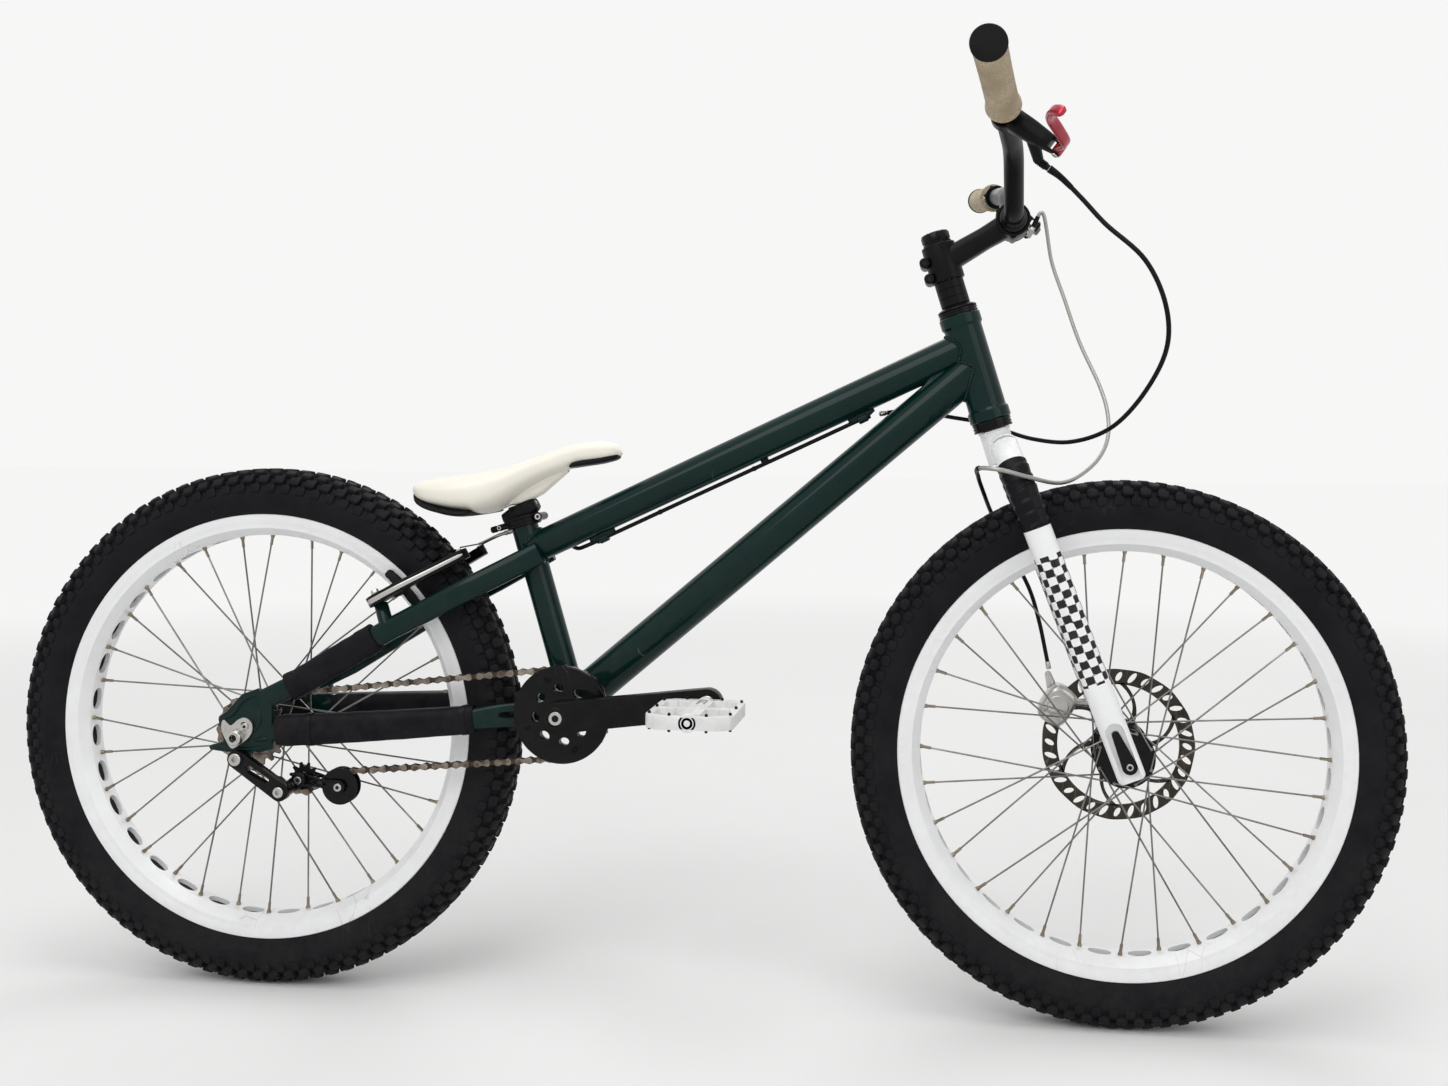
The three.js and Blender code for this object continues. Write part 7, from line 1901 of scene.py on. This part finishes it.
# The profile of a ring with grooves at shares of its height.
def ribbed(inner, radius, low, high, ribs, depth=0.7, gap=1.0):
    profile = [(inner, low), (radius - 0.7, low), (radius, low + 0.7)]
    for share in ribs:
        at = low + (high - low) * share
        profile += [(radius, at - gap), (radius - depth, at - gap * 0.6),
                    (radius - depth, at + gap * 0.6), (radius, at + gap)]
    return [*profile, (radius, high - 0.7), (radius - 0.7, high), (inner, high)]


def makeHead(v):
    cups = [("lowerCup", "headset_bearing_lower", v["lower"], (0.3, 0.62)),
            ("upperCup", "headset_bearing_upper", v["upper"], (0.5,))]
    for name, node, (low, high, radius), ribs in cups:
        shape = lathe(ribbed(15.2, radius, low, high, ribs), steerBase, steerUp, 80)
        makePiece(name, [(shape, "blackGloss")], "frame", [node], angle=30)
    low, high = v["cover"]
    wide, narrow = v["upper"][2], v["spacers"][2]
    cover = [(v["bore"], low), (wide - 0.4, low), (wide, low + 0.5), (wide - 0.6, low + 1.8),
             (narrow + 1.6, high - 1), (narrow, high - 0.3), (narrow - 0.4, high), (v["bore"], high)]
    makePiece("headCover", [(lathe(cover, steerBase, steerUp, 80), "blackMetal")], "steering",
              ["headset_cover"], angle=30)
    low, high, radius = v["spacers"]
    makePiece("headSpacers",
              [(lathe(ribbed(v["bore"], radius, low, high, (0.333, 0.667), 0.8, 0.5), steerBase, steerUp,
                      72),
                "blackMetal")],
              "steering", ["headset_spacers"], angle=30)
    low, high, radius = v["stem"]
    bar = Vector((v["bar"][0], 0, v["bar"][1]))
    middle = onSteer((low + high) / 2)
    span = (bar - middle).normalized()
    rising = -span.cross(leftward)
    parts = [(lathe(ribbed(v["bore"], radius, low, high, (), 0), steerBase, steerUp, 72), "blackMetal")]
    wide, tall = v["arm"]
    length = (bar - middle).length
    arm = [squareRing(middle + span * length * far, leftward, rising, wide * w, tall * t, 0.62, 48)
           for far, w, t in ((0.02, 1, 1), (0.2, 1, 1), (0.38, 0.94, 0.97), (0.6, 0.86, 0.93),
                             (0.76, 0.93, 0.97), (0.86, 1.0, 1.0), (0.97, 1, 1))]
    parts.append((loft(arm), "blackMetal"))
    radius, half = v["clamp"]
    hold = [(v["clampBore"], -half), (radius - 0.8, -half), (radius, 0.8 - half), (radius, half - 0.8),
            (radius - 0.8, half), (v["clampBore"], half)]
    parts.append((lathe(hold, bar, leftward, 80), "blackMetal"))
    # A slotted face plate holds the bar with a bolt at each corner.
    for end in (-1, 1):
        parts.append((rod(bar + rising * end * 15.6 + span * -9 - leftward * 19,
                          bar + rising * end * 15.6 + span * -9 + leftward * 19, 4.2, 24),
                      "blackMetal"))
        for y in (-1, 1):
            seat = bar + rising * end * 15.2 + leftward * y * 15
            parts.append((rod(seat - span * 8, seat + span * 9.4, 4.5, 28, lip=0.8), "blackMetal"))
            parts += hexBolt(seat + span * 9.2, span, 3.3, 1.8, "silver", 0.52)
            parts.append((lathe([(0, -0.3), (4.62, -0.3), (4.62, 0.3), (0, 0.3)], seat + span * 1.0, span,
                                28),
                          "rimTape"))
    for share in v["bolts"]:
        seat = onSteer(low + share * (high - low)) - steerForward * v["boltBack"]
        parts.append((rod(seat - leftward * v["boltHalf"], seat + leftward * v["boltHalf"], 6, 40,
                          lip=0.8),
                      "blackMetal"))
        parts.append((lathe([(2.6, 0), (4.4, 0), (4.4, 0.5), (2.6, 0.5)], seat - leftward * v["boltHalf"],
                            -leftward, 32),
                      "blackGloss"))
        # A dark disc at each bolt's end stands for its socket as painted shade.
        parts.append((rod(seat - leftward * v["boltHalf"], seat - leftward * (v["boltHalf"] + 0.15), 2.6,
                          24),
                      "rimTape"))
    makePiece("stemBody", parts, "steering", ["stem"], bevel=0.35, angle=40)
    low, high, radius = v["cap"]
    cap = [(v["bore"], low), (radius, low), (radius, low + 2), (radius - 0.9, low + 2.6),
           (radius - 0.9, low + 4), (radius, low + 4.6), (radius, high - 3), (radius - 1.2, high - 0.8),
           (radius - 3, high), (6.4, high), (5.6, high - 1.2), (0, high - 1.2)]
    shape = lathe(cap, steerBase, steerUp, 96)
    points = []
    for k, point in enumerate(shape[0]):
        notch = 1.0 if (k // len(cap)) % 16 in (0, 1, 2) else 0.0
        away = point - steerBase - steerUp * (point - steerBase).dot(steerUp)
        high = (point - steerBase).dot(steerUp) > low + 4.3 and away.length > 12
        points.append(point - away.normalized() * (1.4 * notch if high else 0))
    makePiece("topCapPiece",
              [((points, shape[1]), "blackGloss"),
               *hexBolt(onSteer(low + 13.4), steerUp, 4.6, 1.1, "silver", 0.52)],
              "steering", ["top_cap"], angle=30)


makeHead(headValues)
print("headset and stem made")


barValues = {"radius": 11.1, "bend": 24, "corners": [(42, 0, 0), (125, 4, 56), (365, 35, 95)],
             "bulge": (15.9, 27, 22), "grip": 235, "bore": 11.3, "foam": 16.5, "lip": 18.5, "plug": 17.5,
             "end": 368.5}
barCentre = Vector((headValues["bar"][0], 0, headValues["bar"][1]))


def barCorners(side):
    return [barCentre + Vector((-back, side * out, rise)) for out, back, rise in barValues["corners"]]


def onBar(side, out):
    shoulder, tip = barCorners(side)[1:]
    way = (tip - shoulder).normalized()
    return shoulder + way * ((out - barValues["corners"][1][0]) / abs(way.y))


def makeBars(v):
    path = bentPath([*reversed(barCorners(-1)), *barCorners(1)], v["bend"], 12)
    radius, half, taper = v["bulge"]
    bulge = [(0, -half - taper / 2), (v["radius"] + 0.05, -half - taper / 2)]
    for k in range(9):
        t = k / 8
        bulge.append((v["radius"] + (radius - v["radius"]) * (3 * t * t - 2 * t ** 3),
                      -half - taper / 2 + taper / 2 * t))
    bulge += [(r, -along) for r, along in reversed(bulge)]
    makePiece("barTube",
              [(sweep(path, v["radius"], 48), "blackMetal"),
               (lathe(bulge, barCentre, leftward, 64), "blackMetal")],
              "steering", ["handlebar"], angle=40)
    for side in (-1, 1):
        name = sideNames[side]
        start, tip = onBar(side, v["grip"]), barCorners(side)[2]
        way = (tip - start).normalized()
        length = (tip - start).length
        foam, lip = v["foam"], v["lip"]
        profile = [(v["bore"], 0), (lip - 2, 0), (lip - 0.6, 0.5), (lip, 1.4), (lip, 2.2),
                   (lip - 0.7, 3.4), (foam + 0.5, 5), (foam, 7)]
        for k in range(1, 40):
            t = k / 40
            profile.append((foam - 0.45 * math.sin(math.pi * t) + 0.12 * math.sin(k * 2.6),
                            7 + (length - 12) * t))
        profile += [(foam, length - 3), (foam - 0.8, length - 0.6), (foam - 2, length), (v["bore"], length)]
        makePiece("gripFoam" + name, [(lathe(profile, start, way, 72), "creamFoam")], "steering",
                  ["grip_" + name.lower()], angle=40)
        ends = []
        for share, radius in ((0.0, v["plug"] - 0.6), (0.2, v["plug"]), (0.75, v["plug"]),
                              (1.0, v["plug"] - 1.1)):
            ring = circle(tip - way * 0.15, way.orthogonal().normalized(),
                          way.cross(way.orthogonal().normalized()), radius, 56)
            ends.append([p + way * (max((v["end"] - abs(p.y)) / abs(way.y), 0.04) * share) for p in ring])
        makePiece("gripPlug" + name, [(loft(ends), "plasticBlack")], "steering",
                  angle=40)


makeBars(barValues)
print("bars and grips made")


leverValues = {"clampAt": 213, "clamp": (15.5, 13), "drop": 36, "reach": 66, "half": 10, "gap": 12,
               "pin": 3, "blade": 104, "wall": 3.2, "wide": 5.7, "eye": 5.5,
               "body": [(0.14, 1.05, 1.2), (0.34, 0.97, 1.16), (0.5, 0.9, 1.1), (0.7, 0.86, 0.95),
                        (0.88, 0.8, 0.8), (1.0, 0.68, 0.76), (1.06, 0.62, 0.72)],
               "rows": [(0, 0, 0.9), (0.12, 0.03, 1.1), (0.26, 0.09, 1.1), (0.45, 0.04, 1.05),
                        (0.66, -0.04, 1.1), (0.86, -0.02, 1.1), (0.95, 0.05, 1.05), (1, 0.12, 0.8)]}
cordRadius = 2.5
# The routes of the three cables, point by point.
frontRoute = [(418, 192, 959.1), (429, 190, 978.1), (443, 195, 913.1), (459, 185, 864.1), (477, 165, 807),
              (501, 130, 746), (508, 110, 716), (507, 85, 684), (494, 55, 658), (469, 20, 637),
              (442, -20, 628), (403, -70, 635), (371, -87, 643), (348, -72, 644), (348, -40, 634),
              (355, -8, 614), (366, 34, 587), (388, 60, 543), (413, 64, 495), (425, 64, 456),
              (432, 63, 424), (437, 62, 400)]
loopRoute = [(415, -190, 953), (426, -189, 945), (447, -196, 922), (470, -206, 894), (508, -222, 855),
             (527, -226, 814), (533, -212, 776), (522, -165, 734), (490, -95, 690), (451, -50, 675),
             (412, -10, 678), (380, 26, 688), (350, 36, 698), (314, 35, 704), (277, 31, 710),
             (247, 14, 709), (232, 3, 706)]
rearRoute = [(217, 0, 703), (122, 0, 658), (2, 0, 601.5), (-88, 0, 558.9), (-106, 0, 550.5),
             (-122, 0, 543.3), (-134, 7, 539.4), (-147, 19, 542.4), (-161, 27, 552), (-178, 28, 558),
             (-200, 28, 562), (-218, 28, 560), (-230, 28, 556)]


# A lever's directions: out along the bar, forward and down, and across both.
def leverAxes(side, v=leverValues):
    shoulder, tip = barCorners(side)[1:]
    outward = (tip - shoulder).normalized()
    aim = heading(-v["drop"])
    reach = (aim - outward * aim.dot(outward)).normalized()
    return outward, reach, outward.cross(reach).normalized()


def makeLever(side, v):
    name = sideNames[side]
    outward, reach, normal = leverAxes(side)
    seat, half = onBar(side, v["clampAt"]), v["half"]
    pin = seat + reach * v["reach"]
    radius, width = v["clamp"]
    ring = [(11.4, -width / 2), (radius - 0.8, -width / 2), (radius, 0.8 - width / 2),
            (radius, width / 2 - 0.8), (radius - 0.8, width / 2), (11.4, width / 2)]
    rings = [squareRing(seat + reach * far * v["reach"], outward, normal, wide * half, tall * half, 0.6,
                        44)
             for far, wide, tall in v["body"]]
    slot = [squareRing(pin + reach * (half / 2 + far), outward, normal, 3 * half, v["gap"] / 2, 1.0, 24)
            for far in (-1.5 * half, 1.5 * half)]
    look = "blackMetal"
    makePiece("leverBody" + name, [(loft(rings), look)], "steering", ["lever_body_" + name.lower()],
              bevel=0.5, angle=35, cuts=[loft(slot)])
    route = [Vector(p) for p in (loopRoute if side < 0 else frontRoute)]
    leaving = (route[1] - route[0]).normalized()
    back = route[0] - leaving * 15
    parts = [(lathe(ring, seat, outward, 64), look)]
    ear = seat - reach * 11.5
    parts.append((rod(ear - normal * 9, ear + normal * 9, 3.8, 28, lip=0.7), look))
    parts += hexBolt(ear + normal * 9 * side, normal * side, 3.2, 1.4, "silver", 0.55)
    barrel = [(0, 0), (4.2, 0)]
    for k in range(5):
        barrel += [(4.6, 0.7 + k * 2.2), (4.6, 1.7 + k * 2.2), (4.0, 2.1 + k * 2.2), (4.0, 2.5 + k * 2.2)]
    barrel += [(3.4, 12.5), (3.4, 14.7), (0, 14.7)]
    parts.append((lathe(barrel, back, leaving, 32), "blackGloss" if side < 0 else "silver"))
    parts.append((rod(back + leaving * 1.5, seat + reach * 31, 5.4, 28, endRadius=7.6, lip=0.8),
                  "plasticBlack"))
    for end in (-1, 1):
        parts.append((rod(pin + normal * end * half * 0.72, pin + normal * end * half * 0.9, 3.4, 28,
                          lip=0.5),
                      "silver"))
    parts.append((rod(pin - normal * half * 0.8, pin + normal * half * 0.8, v["pin"] - 0.1, 24), "silver"))
    makePiece("leverClamp" + name, parts, "steering", angle=35)
    blade = []
    for far in [*spread(0, 0.9, 34), *spread(0.915, 1, 8)]:
        ahead, size = curveRow(v["rows"], far)
        after, _ = curveRow(v["rows"], min(far + 0.01, 1))
        before, _ = curveRow(v["rows"], max(far - 0.01, 0))
        way = (outward * 0.02 + reach * (after - before)).normalized()
        across = way.cross(normal)
        across = across if across.dot(reach) > 0 else -across
        swell = 0.3 + 0.7 * roundEnd(1.003 - far, 0.02)
        place = pin + outward * far * v["blade"] + reach * ahead * v["blade"]
        blade.append(squareRing(place, across, normal, size * v["wall"] * 0.92 * swell,
                                min(size * 6, v["wide"]) * swell, 0.7, 28))
    look = "redMetal" if side < 0 else "blackGloss"
    eye = lathe([(v["pin"] + 0.3, -5.6), (v["eye"] - 0.5, -5.6), (v["eye"], -5.1), (v["eye"], 5.1),
                 (v["eye"] - 0.5, 5.6), (v["pin"] + 0.3, 5.6)],
                pin, normal, 40)
    parts = [(loft(blade), look), (eye, look)]
    makePiece("leverBlade" + name, parts, "lever_" + name.lower(), ["lever_blade_" + name.lower()],
              angle=40)


for side in (-1, 1):
    makeLever(side, leverValues)
print("levers made")


brakeValues = {"length": 112, "wall": 12, "post": 4.7, "pad": (25, 56, 9, 12), "padFace": 23.8,
               "outer": [(-0.09, 0.08), (0.02, 0.15), (0.3, 0.13), (0.62, 0.02), (1, -0.1)],
               "inner": [(1.03, -0.18), (0.98, -0.22), (0.6, -0.11), (0.3, 0), (0.05, -0.07),
                         (-0.07, -0.05)],
               "noodle": (34, 2.2, 12)}


def makeRearBrake(side, v):
    name = sideNames[side]
    pivot = brakePivot(side)
    outward = leftward * side
    long, wall = v["length"], v["wall"]
    edge = smoothPath([Vector((a * long, b * long, 0)) for a, b in v["outer"]], 6)
    under = smoothPath([Vector((a * long, b * long, 0)) for a, b in v["inner"]], 6)
    outline = [(p.x, p.y) for p in [*edge, *under]]
    # The plate grows along the normal, so its outline is turned over on one side of the bike.
    first, second = (outward, brakeAlong) if outward.cross(brakeAlong).dot(brakeNormal) > 0 else (
        brakeAlong, outward)
    loop = outline if first == brakeAlong else [(b, a) for a, b in outline]
    body = plate(loop, pivot - brakeNormal * wall / 2, first, second, wall)
    bore = rod(pivot - brakeNormal * wall, pivot + brakeNormal * wall, v["post"], 32)
    makePiece("brakeArm" + name, [(body, "blackMetal")], "brake_arm_" + name.lower(),
              ["brake_arm_" + name.lower()], bevel=1.6, angle=35, cuts=[bore])
    parts = []
    strip = [pivot + brakeAlong * p.x + outward * (p.y - 0.9) for p in edge[2:]]
    rings = []
    for k, place in enumerate(strip):
        span = (strip[min(k + 1, len(strip) - 1)] - strip[max(k - 1, 0)]).normalized()
        out = brakeNormal.cross(span).normalized()
        share = k / (len(strip) - 1)
        size = 3.4 - 1.2 * share
        rings.append(squareRing(place, brakeNormal, out, size * (0.4 if k in (0, len(strip) - 1) else 1),
                                1.6, 0.75, 24))
    parts.append((loft(rings), "silver"))
    parts += hexBolt(pivot + brakeNormal * wall / 2, brakeNormal, 6, 2.6, "silver", 0.5)
    parts += hexBolt(pivot + brakeAlong * long * 0.965 - outward * 0.145 * long + brakeNormal * wall / 2,
                     brakeNormal, 3.6, 1.8, "silver", 0.5)
    reach, padLong, padWall, padTall = v["pad"]
    place = pivot + brakeAlong * reach
    spoke = place - rearAxle
    spoke.y = 0
    turn, radius = math.atan2(spoke.z, spoke.x), spoke.length
    pads = []
    for k in range(17):
        share = k / 16 * 2 - 1
        a = turn + share * padLong / 2 / radius
        out = Vector((math.cos(a), 0, math.sin(a)))
        swell = 0.7 + 0.3 * roundEnd(1 - abs(share), 0.1)
        swell *= 0.93 if k % 4 == 2 else 1
        centre = Vector((rearAxle.x, side * (v["padFace"] + padWall / 2), rearAxle.z)) + out * (radius - 1)
        pads.append(squareRing(centre, outward, out, padWall / 2 * (swell if k % 4 != 2 else 0.84),
                               padTall / 2 * swell * 0.9, 0.85, 28))
    parts.append((loft(pads), "padRubber"))
    foot = Vector((place.x, side * (v["padFace"] + padWall - 0.5), place.z))
    parts.append((rod(foot, Vector((place.x, side * 53.6, place.z)), 4, 28, lip=0.6), "silver"))
    parts.append((rod(foot + outward * 1, foot + outward * 5, 6.4, 36, endRadius=5.2, lip=0.6),
                  "blackMetal"))
    hold = [squareRing(Vector((place.x, side * at, place.z)), brakeAlong, brakeNormal, wide, wide, 0.6,
                       36)
            for at, wide in ((40, 7.6), (41, 8.6), (50, 8.6), (51, 7.4))]
    parts.append((loft(hold), "blackMetal"))
    parts.append((loft([circle(Vector((place.x, side * at, place.z)), brakeAlong, brakeNormal, 5.6, 6)
                        for at in (51, 54.4)]),
                  "silver"))
    makePiece("brakeDetails" + name, parts, "brake_arm_" + name.lower(), angle=35)


def makeNoodle(v):
    out, radius, lead = v["noodle"]
    seat = Vector((-266.34, out, 541.01))
    start, heading = Vector((-230.33, 28, 555.89)), Vector((-0.9488, 0, -0.3158)).normalized()
    path = cordPath([start, start + heading * lead, seat, seat - leftward * 4], 10)
    parts = [(sweep(path, radius, 20), "silver"),
             (rod(start, start + heading * 4, 3.0, 24, lip=0.4), "silver"),
             (rod(seat + leftward * 0.5, Vector((seat.x, -out, seat.z)), 0.9, 12), "cableBlack")]
    makePiece("brakeNoodle", parts, "brake_arm_left", ["brake_noodle"], angle=40)


for side in (-1, 1):
    makeRearBrake(side, brakeValues)
makeNoodle(brakeValues)


caliperValues = {"centre": (446, 361), "y": (29, 57), "half": (19, 24), "slot": (38.4, 41.6),
                 "slotReach": 92.5, "bracket": (51, 6), "arm": (57.3, 61.3)}


def makeCaliper(v):
    low, high = v["y"]
    centre = Vector((v["centre"][0], 0, v["centre"][1]))
    aim = (centre - frontAxle).normalized()
    up = risingFrom(aim)
    long, tall = v["half"]
    rings = [squareRing(centre + leftward * y, aim, up, long * s, tall * s, 0.6, 48)
             for y, s in ((low, 0.78), (low + 2, 0.9), (low + 5, 1), (high - 7, 1), (high - 3, 0.93),
                          (high, 0.76))]
    start, finish = v["slot"]
    slot = rod(Vector((frontAxle.x, start, frontAxle.z)), Vector((frontAxle.x, finish, frontAxle.z)),
               v["slotReach"], 96)
    makePiece("caliperBody", [(loft(rings), "silver")], "steering", ["brake_caliper"],
              bevel=0.8, angle=35, cuts=[slot])
    at, radius = v["bracket"]
    foot = Vector((legPlace(1, 45).x, at, legPlace(1, 45).z))
    parts = [(rod(centre + leftward * at, foot - (foot - centre - leftward * at).normalized() * 14,
                  radius, 32),
              "silver")]
    for end in (-1, 1):
        seat = centre + up * end * 17 + leftward * (high - 2.5)
        parts += hexBolt(seat, leftward, 4.2, 2.2, "blackMetal", 0.52)
    parts.append((lathe([(0, 0), (13, 0), (13, 1), (11.6, 2.2), (0, 2.2)],
                        centre + leftward * (low + 0.5), -leftward, 48),
                  "silver"))
    makePiece("caliperDetails", parts, "steering", angle=35)
    inner, outer = v["arm"]
    turned = plate(taperLoop((0, 0), (-10, 33), 9, 4), centre + leftward * outer, forward, upward,
                   outer - inner)
    makePiece("caliperArmPlate",
              [(turned, "silver"),
               *hexBolt(centre + leftward * (outer - 0.8), leftward, 5, 0.8, "silver", 0.5)],
              "caliper_arm", ["caliper_arm"], bevel=0.6, angle=35)


makeCaliper(caliperValues)
print("brakes made")


# A cable along its route, with an optional boot, metal ends and ties.
def makeCable(name, route, look, body, node, boot, ends=(), trims=(), darkFrom=None):
    path = cordPath(route, 9)
    change = 9 * darkFrom if darkFrom else len(path) - 1
    parts = [(sweep(path[:change + 1], cordRadius, 20, chart=True), look)]
    if darkFrom:
        parts.append((sweep(path[change:], cordRadius, 20), "cableBlack"))
        way = (path[change + 1] - path[change - 1]).normalized()
        parts.append((rod(path[change] - way * 3, path[change] + way * 3, 3.0, 24, lip=0.6), "cableBlack"))
    if boot:
        long, wide = boot
        far, near = 0.0, []
        for a, b in zip(path, path[1:]):
            if far <= long:
                near.append(a)
            far += (b - a).length
        parts.append((sweep(near, lambda share: wide + (2.9 - wide) * share, 20), "cableBlack"))
    for at, long in ends:
        a, b = (path[0], path[2]) if at == 0 else (path[-1], path[-3])
        way = (b - a).normalized()
        parts.append((lathe([(0, 0), (2.9, 0), (3.1, 0.4), (3.1, long - 1), (2.8, long - 0.4),
                             (2.8, long), (0, long)],
                            a, way, 28),
                      "silver"))
    for place in trims:
        far = int(place * (len(path) - 1))
        way = (path[far + 1] - path[far]).normalized()
        parts.append((rod(path[far] - way * 2, path[far] + way * 2, 3.0, 24, lip=0.5), "plasticBlack"))
    makePiece(name, parts, body, [node], angle=50)


makeCable("frontHose", frontRoute, "braidGrey", "steering", "front_brake_cable", (16, 3.4), [(1, 9)],
          darkFrom=13)
makeCable("rearLoop", loopRoute, "cableBlack", "frame", "rear_brake_loop", (34, 4.2), [(1, 9)])
makeCable("rearHose", rearRoute, "cableBlack", "frame", "rear_brake_cable", None, [(0, 9), (1, 8)],
          (0.12, 0.2))
print("cables made")


# The pieces whose solid has the right shape keep it and get their paint.
slotLooks = {"green_paint": "greenPaint", "black_metal": "blackMetal", "white_paint": "whitePaint",
             "silver": "silver", "chain_steel": "chainSteel", "rotor_steel": "rotorSteel",
             "tyre": "padRubber", "sleeve_rubber": "sleeveRubber", "cream_foam": "creamFoam",
             "saddle_cover": "saddleCover", "red_metal": "redMetal", "white_plastic": "whitePlastic",
             "cable_black": "cableBlack", "cable_grey": "braidGrey"}
for row in frame["record"]["subparts"]:
    solid = bpy.data.objects.get(row["node"])
    if solid and len(solid.material_slots):
        for place in solid.material_slots:
            place.material = materials[slotLooks[row["material_slot"]]]
print("paint given to the solids that stay")
